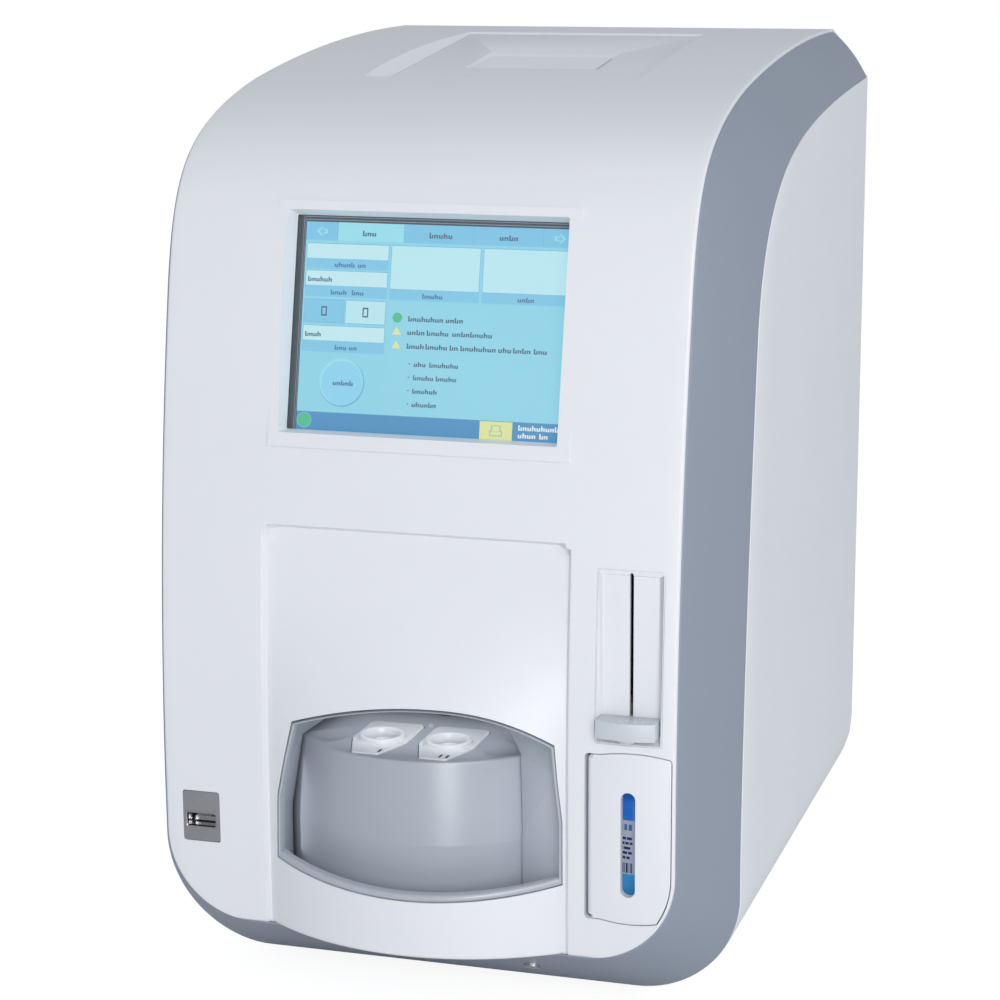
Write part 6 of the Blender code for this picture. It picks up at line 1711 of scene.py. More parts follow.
@dataclass
class Screen(Workshop):
    """The lit picture behind the touch glass: tabs, fields, tiles, a round button, lamps and rows."""

    wide: float = 0.1152
    tall: float = 0.0864
    stretch: float = 1.012
    middle: Vec2 = (0.4854, 0.5)
    depth: float = -0.00006
    layer: float = 0.00002
    word_gap: float = 0.010
    stroke_pitch: float = 0.52
    stroke_thin: float = 0.32
    tall_stroke: float = 0.78
    short_stroke: float = 0.5
    bar_low: float = 0.14
    bar_tall: float = 0.15
    bar_wide: float = 0.6
    arrow_size: float = 0.0022
    arrow_neck: float = 0.45
    arrow_tip: float = 1.2
    arrow_hollow: float = 0.60
    lamp_shape: tuple = ((-0.0019, -0.0015), (0.0019, -0.0015), (0.0, 0.0019))
    inks: dict = field(default_factory=lambda: {
        "ground": (0.28, 0.73, 0.90), "sky": (0.27, 0.73, 0.89), "tab": (0.19, 0.60, 0.88),
        "tab_lit": (0.33, 0.82, 0.95), "strip": (0.20, 0.62, 0.88), "field": (0.60, 0.93, 0.99),
        "box": (0.54, 0.92, 1.0), "tile": (0.54, 0.90, 0.98), "edge": (0.13, 0.50, 0.78),
        "bar": (0.03, 0.27, 0.57), "button": (0.26, 0.72, 0.95), "button_rim": (0.14, 0.50, 0.78),
        "ink": (0.03, 0.11, 0.20), "title": (0.02, 0.16, 0.38), "green": (0.04, 0.55, 0.22),
        "yellow": (0.85, 0.88, 0.32), "icon": (0.35, 0.62, 0.55), "pale": (0.85, 0.95, 0.98),
        "rim": (0.004, 0.006, 0.010), "rim_line": (0.22, 0.27, 0.36),
    })
    shapes: list = field(default_factory=list)

    def spot(self, u: float, v: float) -> Vec2:
        """A place on the picture in metres, from shares across and down."""
        return ((u * self.stretch - self.middle[0]) * self.wide, (self.middle[1] - v) * self.tall)

    def area(self, ink: str, left: float, right: float, top: float, low: float, level: int) -> None:
        """Adds a rectangle, given in shares across and down."""
        (x0, z1), (x1, z0) = self.spot(left, top), self.spot(right, low)
        self.shapes.append((ink, [(x1, z1), (x0, z1), (x0, z0), (x1, z0)], level))

    def areas(self, *rows: tuple) -> None:
        """Adds several rectangles."""
        for row in rows:
            self.area(*row)

    def disc(self, ink: str, u: float, v: float, radius: float, level: int) -> None:
        """Adds a disc."""
        self.shapes.append((ink, Outline.arc(self.spot(u, v), radius, 0.0, 360.0, 40)[:-1], level))

    def row(self, u: float, v: float, lengths: Sequence[float], height: float = 0.030,
            ink: str = "ink") -> None:
        """Adds a row of small upright strokes that stands for a line of words.

        Args:
            u: Where it starts.
            v: Its middle.
            lengths: The words' lengths.
            height: The strokes' height.
            ink: Their colour.
        """
        pitch, level = height * self.stroke_pitch, 7
        low, thin = v + height / 2, pitch * self.stroke_thin
        for length in lengths:
            for index in range(max(2, round(length / pitch))):
                left = u + index * pitch
                rises = (index * 7 + round(length * 1000)) % 5 < 2
                tall = height * (self.tall_stroke if rises else self.short_stroke)
                second = left + pitch * self.stroke_pitch
                bar = low - height * (self.short_stroke if index % 2 else self.bar_low)
                end = left + pitch * self.bar_wide
                self.areas((ink, left, left + thin, low - tall, low, level),
                           (ink, second, second + thin, low - height * self.short_stroke, low, level),
                           (ink, left + thin / 2, end, bar, bar + height * self.bar_tall, level))
            u += length + self.word_gap

    def centred(self, middle: float, v: float, lengths: Sequence[float]) -> None:
        """Adds a title, centred on a place."""
        self.row(middle - sum(lengths) / 2, v, lengths, ink="title")

    def arrow(self, u: float, v: float, side: int) -> None:
        """Adds a small hollow arrow to a tab.

        Args:
            u: Its place across.
            v: Its place down.
            side: 1 when it points right, else -1.
        """
        x, z = self.spot(u, v)
        for scale, ink, level in ((1.0, "tab_lit", 5), (self.arrow_hollow, "tab", 6)):
            s = self.arrow_size * scale
            tail, neck, tip = x - side * s, s * self.arrow_neck, x + side * s * self.arrow_tip
            self.shapes.append((ink, [(tail, z + neck), (x, z + neck), (x, z + s), (tip, z),
                                      (x, z - s), (x, z - neck), (tail, z - neck)], level))

    def warning(self, u: float, v: float) -> None:
        """Adds a small yellow triangle lamp."""
        x, z = self.spot(u, v)
        self.shapes.append(("yellow", [(x + across, z + up) for across, up in self.lamp_shape], 4))

    def compose(self) -> None:
        """Lays out the whole picture: the dark rim, the tabs, both columns and the lower bar."""
        self.area("rim", -0.04, 0.99, -0.06, 1.02, 0)
        for inset in (0.011, 0.005):
            top = -inset * 2.4
            self.areas(("rim_line", -inset, -inset + 0.0018, top, 1.02, 1),
                       ("rim_line", -inset, 0.99, top, top + 0.004, 1))
        self.areas(("sky", 0.0, 0.99, 0.0, 1.02, 2), ("ground", 0.325, 1.02, 0.37, 0.915, 3))
        for left, right in ((0.0, 0.118), (0.122, 0.37), (0.374, 0.628), (0.632, 0.884), (0.888, 1.0)):
            ink = "tab_lit" if left == 0.122 else "tab"
            self.areas((ink, left, right, 0.0, 0.088, 3), ("edge", right, right + 0.003, 0.0, 0.088, 4))
        self.arrow(0.062, 0.045, -1)
        self.arrow(0.945, 0.045, 1)
        for u, length in ((0.215, 0.05), (0.465, 0.085), (0.725, 0.062)):
            self.row(u, 0.046, (length,), 0.034)
        self.left_column()
        self.right_column()
        self.area("bar", 0.0, 1.02, 0.915, 1.02, 3)
        self.disc("button_rim", 0.030, 0.957, 0.0033, 4)
        self.disc("green", 0.030, 0.957, 0.0029, 5)
        self.areas(("yellow", 0.69, 0.81, 0.918, 1.02, 4), ("icon", 0.732, 0.768, 0.935, 0.962, 5),
                   ("yellow", 0.737, 0.763, 0.939, 0.964, 6), ("icon", 0.726, 0.774, 0.960, 0.988, 5),
                   ("yellow", 0.731, 0.769, 0.966, 0.982, 6))
        self.row(0.832, 0.938, (0.150,), 0.032, "pale")
        self.row(0.832, 0.974, (0.068, 0.036), 0.032, "pale")

    def left_column(self) -> None:
        """Lays out the left column: fields, tiles and the round button."""
        fields = ((0.105, 0.175, 0.225, (0.078, 0.022)), (0.235, 0.305, 0.360, (0.070, 0.050)),
                  (0.500, 0.570, 0.625, (0.045, 0.022)))
        for top, low, strip, lengths in fields:
            self.areas(("edge", 0.006, 0.318, top - 0.003, low, 3), ("field", 0.008, 0.316, top, low, 4),
                       ("strip", 0.006, 0.318, low, strip, 4))
            self.centred(0.165, (low + strip) / 2, lengths)
        self.row(0.016, 0.272, (0.090,))
        self.row(0.016, 0.537, (0.055,))
        for left, right, ink in ((0.009, 0.158, "strip"), (0.166, 0.315, "tile")):
            middle = (left + right) / 2
            self.areas(("edge", left - 0.002, right + 0.002, 0.371, 0.486, 3),
                       (ink, left, right, 0.374, 0.483, 4),
                       ("ink", middle - 0.011, middle + 0.011, 0.405, 0.452, 5),
                       (ink, middle - 0.006, middle + 0.006, 0.413, 0.444, 6))
        self.disc("button_rim", 0.166, 0.771, 0.0100, 3)
        self.disc("tab_lit", 0.163, 0.766, 0.0097, 4)
        self.disc("button", 0.166, 0.770, 0.0090, 5)
        self.row(0.132, 0.768, (0.072,))

    def right_column(self) -> None:
        """Lays out the two large boxes, the lamps and the rows of strokes."""
        for left, right, length in ((0.328, 0.658, 0.085), (0.672, 0.997, 0.062)):
            self.areas(("edge", left - 0.002, right + 0.002, 0.101, 0.312, 3),
                       ("box", left, right, 0.104, 0.310, 4),
                       ("strip", left - 0.002, right + 0.002, 0.312, 0.362, 4))
            self.centred((left + right) / 2, 0.336, (length,))
        self.disc("green", 0.362, 0.446, 0.0021, 4)
        self.row(0.403, 0.446, (0.130, 0.072), 0.032)
        self.warning(0.362, 0.510)
        self.row(0.403, 0.510, (0.062, 0.085, 0.142), 0.032)
        self.warning(0.362, 0.576)
        self.row(0.403, 0.576, (0.060, 0.080, 0.030, 0.130, 0.044, 0.066, 0.055), 0.032)
        for index, lengths in enumerate(((0.048, 0.105), (0.075, 0.085), (0.100,), (0.088,))):
            v = 0.662 + index * 0.064
            self.area("ink", 0.413, 0.420, v, v + 0.004, 4)
            self.row(0.433, v, lengths)

    def build(self) -> None:
        """Makes the picture."""
        self.compose()
        names, points, faces = sorted(self.inks), [], []
        for _, loop, level in self.shapes:
            faces.append(tuple(range(len(points), len(points) + len(loop))))
            points += self.upright(loop, self.depth - level * self.layer)
        picture = self.from_faces("screen_picture", points, faces, outward=False)
        for name in names:
            picture.data.materials.append(LitInk("lit_" + name, self.inks[name]).material())
        for face, (ink, _, _) in zip(picture.data.polygons, self.shapes):
            face.material_index = names.index(ink)
            if face.normal.y > 0:
                face.flip()
        self.move(picture, Hood.screen_place, Hood.screen_tilt)
        self.hand_over(picture, Body.HOUSING, "display")


# Reagent door, bottle and lever


@dataclass
class ReagentDoor(Workshop):
    """The flush door with its window slot, and the reagent bottle behind it."""

    left: float = 0.075
    right: float = 0.111
    low: float = 0.0523
    top: float = 0.1229
    bow: float = 0.0013
    corner: float = 0.0012
    bow_from: float = 0.0812
    slot_x: float = 0.093
    slot_half: float = 0.0031
    slot_ends: Vec2 = (0.0625, 0.1078)
    axis: Vec3 = (0.0781, -0.1474, 0)
    barrel: float = 0.0026
    barrel_gap: float = 0.0004
    bore: float = 0.0013
    bore_ends: Vec2 = (0.04, 0.14)
    wall: float = 0.0035
    edge: float = 0.0005
    reach: Vec2 = (-0.01, 0.02)
    trim_wide: float = 0.02
    trim_ends: Vec2 = (0.03, 0.15)
    bottle_at: Vec3 = (0.092, -0.1255, 0)
    bottle_low: float = 0.0525
    bottle_radius: float = 0.0135
    bottle_wall: float = 0.0012
    bottle_body: float = 0.046
    bottle_shoulder: float = 0.052
    neck: float = 0.005
    neck_radius: float = 0.0075
    neck_bore: float = 0.0063
    heel: float = 0.0018
    heel_edge: float = 0.0005
    dish: float = 0.0006
    print_thick: float = 0.00014
    print_lift: float = 0.00036
    label_lift: float = 0.0002
    label_area: tuple = (0.0686, 0.0921, -150.0, -30.0)
    label_rows: tuple = (
        (0.0878, 0.0026, ((-114, -107), (-104, -99), (-96, -90))),
        (0.0837, 0.0011, ((-113, -110), (-108, -101), (-99, -90))),
        (0.0816, 0.0011, ((-113, -104), (-102, -96), (-94, -89))),
        (0.0795, 0.0011, ((-113, -107), (-105, -93))),
        (0.0774, 0.0011, ((-113, -111), (-109, -99), (-97, -90))),
        (0.0753, 0.0011, ((-113, -102), (-100, -94))),
        (0.0692, 0.0043, ((-113, -111.6), (-109.5, -106), (-104.6, -103.4), (-101, -97.5),
                          (-95.6, -94.8), (-92.5, -90))),
    )

    def outline(self, grow: float) -> list[Vec2]:
        """The door's outline, grown all round.

        Args:
            grow: How far every edge is moved outwards.

        Returns:
            The outline.
        """
        left, right, low, top = self.left - grow, self.right + grow, self.low - grow, self.top + grow
        centre = (FORM.half_hood - FORM.fascia_corner, FORM.fascia_bottom + FORM.fascia_corner)
        radius = FORM.fascia_corner - (FORM.half_hood - self.right) + grow
        corner = self.corner + grow
        points = Outline.arc(centre, radius, 0.0, -math.degrees(math.asin((centre[1] - low) / radius)), 16)
        start, stop, turn = points[-1][0], right - corner, self.bow_from
        points += [(start + (turn - start) * t, low - self.bow * 4 * t * (1 - t)) for t in shares(12)[1:]]
        points += Outline.arc((left + corner, low + corner), corner, -90, -180, 6)
        points += Outline.arc((left + corner, top - corner), corner, 180, 90, 6)
        points += [(turn + (stop - turn) * t, top + self.bow * 4 * t * (1 - t)) for t in shares(16)[:-1]]
        return points + Outline.arc((stop, top - corner), corner, 90, 0, 6)

    def build_door(self) -> None:
        """Makes the door's plate with its rolled hinge edge and its window slot."""
        near, (back, front) = FORM.fascia_y, self.reach
        door = self.plate("door", self.outline(0.0), near, near + self.wall, Plane.XZ)
        x, (foot, head) = self.axis[0], self.trim_ends
        trim = self.box("tool", (x - self.trim_wide, near + back, foot), (x, near + front, head))
        self.combine(door, Join.CUT, [trim])
        self.round_over(door, self.edge)
        foot, head, r, cut = self.low + self.barrel_gap, self.top - self.barrel_gap, self.barrel, self.corner
        profile = [(0, foot), (r - cut, foot), (r, foot + cut), (r, head - cut), (r - cut, head), (0, head)]
        self.combine(door, Join.ADD, [self.lathe("barrel", profile, self.axis, 41)])
        (low, top), r = self.slot_ends, self.slot_half
        slot = (Outline.arc((self.slot_x, top - r), r, 0, 180, 16)
                + Outline.arc((self.slot_x, low + r), r, 180, 360, 16))
        window = self.plate("tool", slot, near + back, near + front, Plane.XZ)
        self.combine(door, Join.CUT, [window, self.pin(self.bore, *self.bore_ends, self.axis, 24)])
        for vertex in door.data.vertices:
            vertex.co.y += FORM.face_y(vertex.co.z) - FORM.fascia_y
        self.hand_over(door, Body.DOOR, "white", ["reagent_door"])

    def band(self, low: float, top: float, lift: float, start: float, end: float, look: Look) -> Object:
        """A thin patch that lies round the bottle.

        Args:
            low: Its lower edge.
            top: Its upper edge.
            lift: How far its face stands off the bottle.
            start: Where it starts round the bottle, in degrees.
            end: Where it ends.
            look: Its finish.

        Returns:
            The patch.
        """
        loops = [Outline.arc(self.bottle_at[:2], self.bottle_radius + lift - under, start, end, 24)
                 for under in (0.0, self.print_thick)]
        outer, inner = ([self.flat(loop, z) for z in (low, top)] for loop in loops)
        return self.paint(self.skin("band", outer, inner), look)

    def build_bottle(self) -> None:
        """Makes the bottle, and its label with rows of printed strokes."""
        low, r, w = self.bottle_low, self.bottle_radius, self.bottle_wall
        body, shoulder = low + self.bottle_body, low + self.bottle_shoulder
        neck, bore, ring = shoulder + self.neck, self.neck_bore, self.neck_radius
        curve = [(r - (r - ring) * (1 - math.cos(a)), body + (shoulder - body) * math.sin(a))
                 for a in (math.radians(step * 15) for step in range(7))]
        heel, edge, dish = self.heel, self.heel_edge, (0.0, low + w + self.dish)
        inner = [dish, (r - w, low + 2 * w), (r - w, body), (bore, shoulder), (bore, neck)]
        foot = [(r, low + heel), (r - edge, low + edge), (r - heel, low), (0.0, low + edge)]
        profile = [*inner, (ring, neck), *curve[::-1], *foot]
        bottle = self.lathe("bottle", profile, self.bottle_at, 64)
        self.hand_over(bottle, Body.HOUSING, "blue", ["reagent_bottle"])
        base, top, start, end = self.label_area
        bands = [self.band(base, top, self.label_lift, start, end, Look.LABEL)]
        for base, tall, spans in self.label_rows:
            look = Look.LABEL_TITLE if base == self.label_rows[0][0] else Look.LABEL_PRINT
            bands += [self.band(base, base + tall, self.print_lift, *span, look) for span in spans]
        self.hand_over(self.merge("bottle_label_band", bands), Body.HOUSING, "blue")

    def build(self) -> None:
        """Makes door and bottle."""
        self.build_door()
        self.build_bottle()


@dataclass
class LeverTrack(Workshop):
    """The sunk track of the lever with its slit, and the knob that slides on it."""

    mouth: Rect = (0.0784, 0.1070, 0.1277, 0.2003)
    corner: float = 0.0008
    least_corner: float = 0.0001
    floor_depth: float = 0.0056
    floor_thick: float = 0.0018
    thin: float = 0.0003
    lip: tuple = ((0.0001, 0.0006), (-0.0003, 0.00030), (-0.0007, 0.00008))
    foot: tuple = ((-0.0022, 0.0005), (-0.0027, 0.0))
    slit_x: float = 0.0928
    slit: Rect = (slit_x - 0.0008, slit_x + 0.0008, 0.1335, 0.1990)
    slit_corner: float = 0.0007
    slit_reach: Vec2 = (-0.01, 0.03)
    knob_x: float = 0.0927
    knob_wide: float = 0.0250
    knob_low: float = 0.1316
    knob_high: float = 0.0074
    knob_back: float = 0.0050
    knob_front: float = -0.0062
    knob_edge: float = 0.0011
    crown: float = 0.0020
    tab_back: float = 0.0055
    tab: tuple = ((0, -0.0018), (0.0034, -0.0018), (0.0042, -0.0010), (0.0042, 0.001), (0, 0.001))
    blade_half: float = 0.0005
    blade_reach: Vec2 = (0.0038, 0.0195)
    blade_ends: Vec2 = (0.1338, 0.1388)
    dots: int = 5
    dot_pitch: float = 0.0034
    dot_back: float = 0.0044
    dot: tuple = ((0.0007, -0.0001), (0.0006, 0.0003), (0.0, 0.0004))

    def outline(self, grow: float) -> list[Vec2]:
        """The track's mouth."""
        return Outline.rounded(self.mouth, max(self.corner + grow / 2, self.least_corner), 4, grow)

    def build_track(self) -> None:
        """Makes the tray: rounded lip, drafted walls and the slit in its floor."""
        near, floor = FORM.fascia_y, FORM.fascia_y + self.floor_depth
        rings = [self.upright(self.outline(self.lip[0][0]), floor + self.floor_thick)]
        for grow, depth in self.lip:
            rings.append([(x, FORM.face_y(z) + depth, z) for x, z in self.outline(grow)])
        for grow, rise in self.foot:
            rings.append([(x, max(floor - rise, FORM.face_y(z) + self.thin), z)
                          for x, z in self.outline(grow)])
        tray = self.loft("tray", rings)
        back, front = self.slit_reach
        loop = Outline.rounded(self.slit, self.slit_corner, 4)
        self.combine(tray, Join.CUT, [self.plate("tool", loop, near + back, near + front, Plane.XZ)])
        self.hand_over(tray, Body.HOUSING, "white", ["lever_track"])

    def build_knob(self) -> None:
        """Makes the knob with its crowned front, grip dots, lower tab and blade."""
        near, low, half = FORM.fascia_y, self.knob_low, self.knob_wide / 2
        back, front, top = near + self.knob_back, near + self.knob_front, self.knob_low + self.knob_high
        left, right = self.knob_x - half, self.knob_x + half
        loop = [(left + (right - left) * t, front + self.crown * (1 - 4 * t * (1 - t))) for t in shares(14)]
        knob = self.plate("knob", [*loop, (right, back), (left, back)], low, top, Plane.XY)
        self.round_over(knob, self.knob_edge, 4, 50)
        profile = [(r, low + z) for r, z in self.tab]
        tab = self.lathe("tab", profile, (self.knob_x, back - self.tab_back, 0), 40)
        (deep, far), (foot, head) = self.blade_reach, self.blade_ends
        start = (self.slit_x - self.blade_half, near + deep, foot)
        blade = self.box("blade", start, (self.slit_x + self.blade_half, near + far, head))
        parts = [knob, tab, blade]
        for index in range(self.dots):
            spot = (self.knob_x + (index - 2) * self.dot_pitch, front + self.dot_back, 0)
            parts.append(self.lathe("dot", [(r, top + z) for r, z in self.dot], spot, 16))
        self.hand_over(self.merge("lever_knob_shape", parts), Body.LEVER, "knob", ["lever_knob"])

    def build(self) -> None:
        """Makes track and knob."""
        self.build_track()
        self.build_knob()


@dataclass
class UsbPort(Workshop):
    """The steel plate with its USB mouth."""

    rect: Rect = (-0.1048, -0.0883, 0.0685, 0.0906)
    corner: float = 0.0012
    proud: float = 0.0003
    thick: float = 0.0014
    edge: float = 0.0007
    mouth: Rect = (-0.0968 - 0.0066, -0.0968 + 0.0066, 0.0778 - 0.0029, 0.0778 + 0.0029)
    mouth_corner: float = 0.0004
    reach: float = 0.01
    rim: tuple = ((0.0, 0.0012), (0.0, -0.00002), (0.0003, -0.0002), (0.0007, -0.00016), (0.0009, 0.0001),
                  (0.0009, 0.0012))

    def outline(self, grow: float) -> list[Vec2]:
        """The plate's outline."""
        return Outline.rounded(self.rect, self.corner, grow=grow)

    def build(self) -> None:
        """Makes the plate with a rounded rim and a rolled mouth."""
        near = FORM.fascia_y + self.proud
        plate = self.plate("plate", self.outline(0.0), near, near + self.thick, Plane.XZ)
        self.round_over(plate, self.edge, 4)
        loop = Outline.rounded(self.mouth, self.mouth_corner, 3)
        mouth = self.plate("tool", loop, near - self.reach, near + self.reach, Plane.XZ)
        self.combine(plate, Join.CUT, [mouth])
        rings = [self.upright(Outline.rounded(self.mouth, self.mouth_corner + grow, 3, grow), near + depth)
                 for grow, depth in self.rim]
        whole = self.merge("usb_plate_shape", [plate, self.loft("rim", rings, closed=True)])
        self.hand_over(whole, Body.HOUSING, "steel", ["usb_plate"], Look.SATIN)


# Printer


@dataclass
class PrinterLid(Workshop):
    """The lid in the roof with its paper scoop, and the cutters that open the roof for it."""

    place: Vec3 = (0.0, 0.1143025, 0.3998171)
    tilt: Vec3 = (math.radians(7.3), 0.0, 0.0)
    half: float = 0.0585
    top: float = 0.0016
    thick: float = 0.0032
    front: float = -0.1354
    gap: float = 0.0005
    side_gap: float = 0.0002
    seat_play: float = 0.0003
    flare: float = 0.011
    ledge: float = 0.010
    hole_low: float = -0.02
    collar_grow: float = 0.006
    collar_front: float = 0.0004
    collar_levels: Vec2 = (-0.0082, 0.0008)
    rail_grow: float = 0.014
    rail_span: Vec2 = (-0.040, 0.140)
    rail_above: float = 0.34
    rail_depths: Vec2 = (0.0010, 0.0085)
    edge: float = 0.0005
    barrel: float = 0.0016
    bore: float = 0.0011
    bore_half: float = 0.062
    long_bore_half: float = 0.07
    scoop_half: float = 0.0305
    scoop_front: float = 0.044
    scoop_long: float = 0.040
    scoop_corner: float = 0.0012
    scoop_lean: Vec2 = (0.3, 2.5)
    scoop_rings: tuple = ((-0.0004, -0.0018), (0.0, -0.0014), (0.0012, 0.0), (0.0040, 0.003))
    slit_wide: float = 0.0022
    slit_reach: float = 0.01
    lug: Vec2 = (0.02935, 0.03185)
    lug_half: float = 0.005
    lug_levels: Vec2 = (-0.013, 0.0004)
    roller_y: float = -0.0860
    roller_drop: float = 0.0053
    axle: float = 0.0018
    axle_half: float = 0.05

    def put(self, piece: Object) -> Object:
        """Brings a piece from the lid's own axes to its place."""
        return self.move(piece, self.place, self.tilt)

    def collar(self) -> Object:
        """The thick wall round the lid's seat.

        Returns:
            The solid.
        """
        half, (low, high) = self.half + self.collar_grow, self.collar_levels
        start = (-half, self.front - self.collar_grow - self.collar_front, low)
        return self.put(self.box("collar", start, (half, self.top + self.collar_grow, high)))

    def rail(self) -> Object:
        """The thicker roof that the recess is cut in.

        Returns:
            The solid.
        """
        rear, front = self.rail_span
        roof = [(y, z) for y, z in FORM.face if rear < y < front and z > self.rail_above]
        upper, lower = (FORM.shifted(roof, depth) for depth in self.rail_depths)
        half = self.half + self.rail_grow
        return self.plate("rail", [*upper[1:], *lower[:0:-1]], -half, half, Plane.YZ)

    def cutters(self) -> list[Object]:
        """The flared recess, the lid's seat, the hole to the paper bucket and the hinge's bore.

        Returns:
            The tools.
        """
        half, slim, top = self.half + self.gap, self.half + self.side_gap, self.top
        front, rear, inset = self.front - self.gap, self.top + self.gap, self.ledge
        play = self.seat_play
        seat = self.box("seat", (-slim, front, top - self.thick - play), (slim, rear, top + play))
        rings = []
        for grow in (0.0, self.flare):
            loop = Outline.rounded((-slim, slim, front, rear), self.edge + grow / 3, grow=grow)
            rings.append(self.flat(loop, top + grow))
        corner = (half - inset, rear - inset, play)
        hole = self.box("hole", (inset - half, front + inset, self.hole_low), corner)
        bore = self.pin(self.bore, -self.bore_half, self.bore_half, axis=ACROSS)
        return [self.put(tool) for tool in (seat, self.loft("flare", rings), hole, bore)]

    def build(self) -> None:
        """Makes the lid with soft edges, its drafted paper scoop, the slit and the roller's lugs."""
        half, top, under = self.half, self.top, self.top - self.thick
        lid = self.round_over(self.box("lid", (-half, self.front, under), (half, 0.0, top)), self.edge)
        wide, low_y, roller = self.scoop_half, self.front + self.scoop_front, self.roller_y
        rings = []
        for grow, rise in self.scoop_rings:
            near, far = (grow * lean for lean in self.scoop_lean)
            rect = (-wide - grow, wide + grow, low_y - near, low_y + self.scoop_long + far)
            rings.append(self.flat(Outline.rounded(rect, self.scoop_corner), top + rise))
        scoop = self.loft("scoop", rings)
        corner = (wide, low_y + self.slit_wide, top + self.slit_reach)
        slit = self.box("slit", (-wide, low_y, under - self.slit_reach), corner)
        joined = [self.pin(self.barrel, -half, half, ORIGIN, 33, ACROSS)]
        for side in (-1, 1):
            near, far = sorted(side * x for x in self.lug)
            low = (near, roller - self.lug_half, under + self.lug_levels[0])
            joined.append(self.box("lug", low, (far, roller + self.lug_half, under + self.lug_levels[1])))
        self.combine(lid, Join.ADD, joined)
        spot = (0, roller, under - self.roller_drop)
        axle = self.pin(self.axle, -self.axle_half, self.axle_half, spot, axis=ACROSS)
        bore = self.pin(self.bore, -self.long_bore_half, self.long_bore_half, axis=ACROSS)
        self.combine(lid, Join.CUT, [scoop, slit, axle, bore])
        self.hand_over(self.put(lid), Body.LID, "white", ["printer_lid"])


# Rear and inner pieces


@dataclass
class ScrewField(Workshop):
    """Recessed screws on a face, placed by a Geometry Nodes tree over a set of points."""

    name: str
    spots: Sequence[Vec3]
    turn: Vec3
    radius: float
    look: Look
    profile: tuple = ((0, 0.0), (1.0, 0.0), (1.0, 0.35), (0.9, 0.55), (0.65, 0.68), (0.42, 0.7),
                      (0.40, 0.25), (0, 0.22))

    def group(self, head: Object) -> bpy.types.NodeTree:
        """The node group: instances of a head on every point, made real and dressed.

        Args:
            head: The form that is repeated.

        Returns:
            The node group.
        """
        group = bpy.data.node_groups.new(self.name + "_tree", "GeometryNodeTree")
        for name, way, kind in (("Geometry", "INPUT", "Geometry"), ("Head turn", "INPUT", "Vector"),
                                ("Head scale", "INPUT", "Float"), ("Geometry", "OUTPUT", "Geometry")):
            group.interface.new_socket(name, in_out=way, socket_type="NodeSocket" + kind)
        tree = NodeTree(group)
        points, turn, scale = (tree.node("NodeGroupInput", output=name)
                               for name in ("Geometry", "Head turn", "Head scale"))
        form = tree.node("GeometryNodeObjectInfo", None, {"Object": head}, "Geometry")
        heads = tree.node("GeometryNodeInstanceOnPoints", None,
                          {"Points": points, "Instance": form, "Rotation": turn, "Scale": scale})
        real = tree.node("GeometryNodeRealizeInstances", None, {"Geometry": heads})
        material = self.look.value.material()
        dressed = tree.node("GeometryNodeSetMaterial", None, {"Geometry": real, "Material": material})
        tree.node("NodeGroupOutput", None, {"Geometry": dressed})
        return group

    def build(self, body: Body, slot: str) -> Object:
        """Makes the screws as one plain mesh on a body, dressed in their look's finish.

        Args:
            body: The body that they ride on.
            slot: Not used.

        Returns:
            The piece.
        """
        profile = [(r * self.radius, z * self.radius) for r, z in self.profile]
        head = self.lathe(self.name + "_head", profile, ORIGIN, 24)
        carrier = self.from_faces(self.name, self.spots, [], outward=False)
        step = carrier.modifiers.new("heads", "NODES")
        step.node_group = self.group(head)
        values = {"Head turn": self.turn, "Head scale": 1.0}
        for item in step.node_group.interface.items_tree:
            if item.name in values:
                step[item.identifier] = values[item.name]
        self.settle(carrier)
        bpy.data.objects.remove(head)
        return self.hand_over(carrier, body, slot, look=self.look)


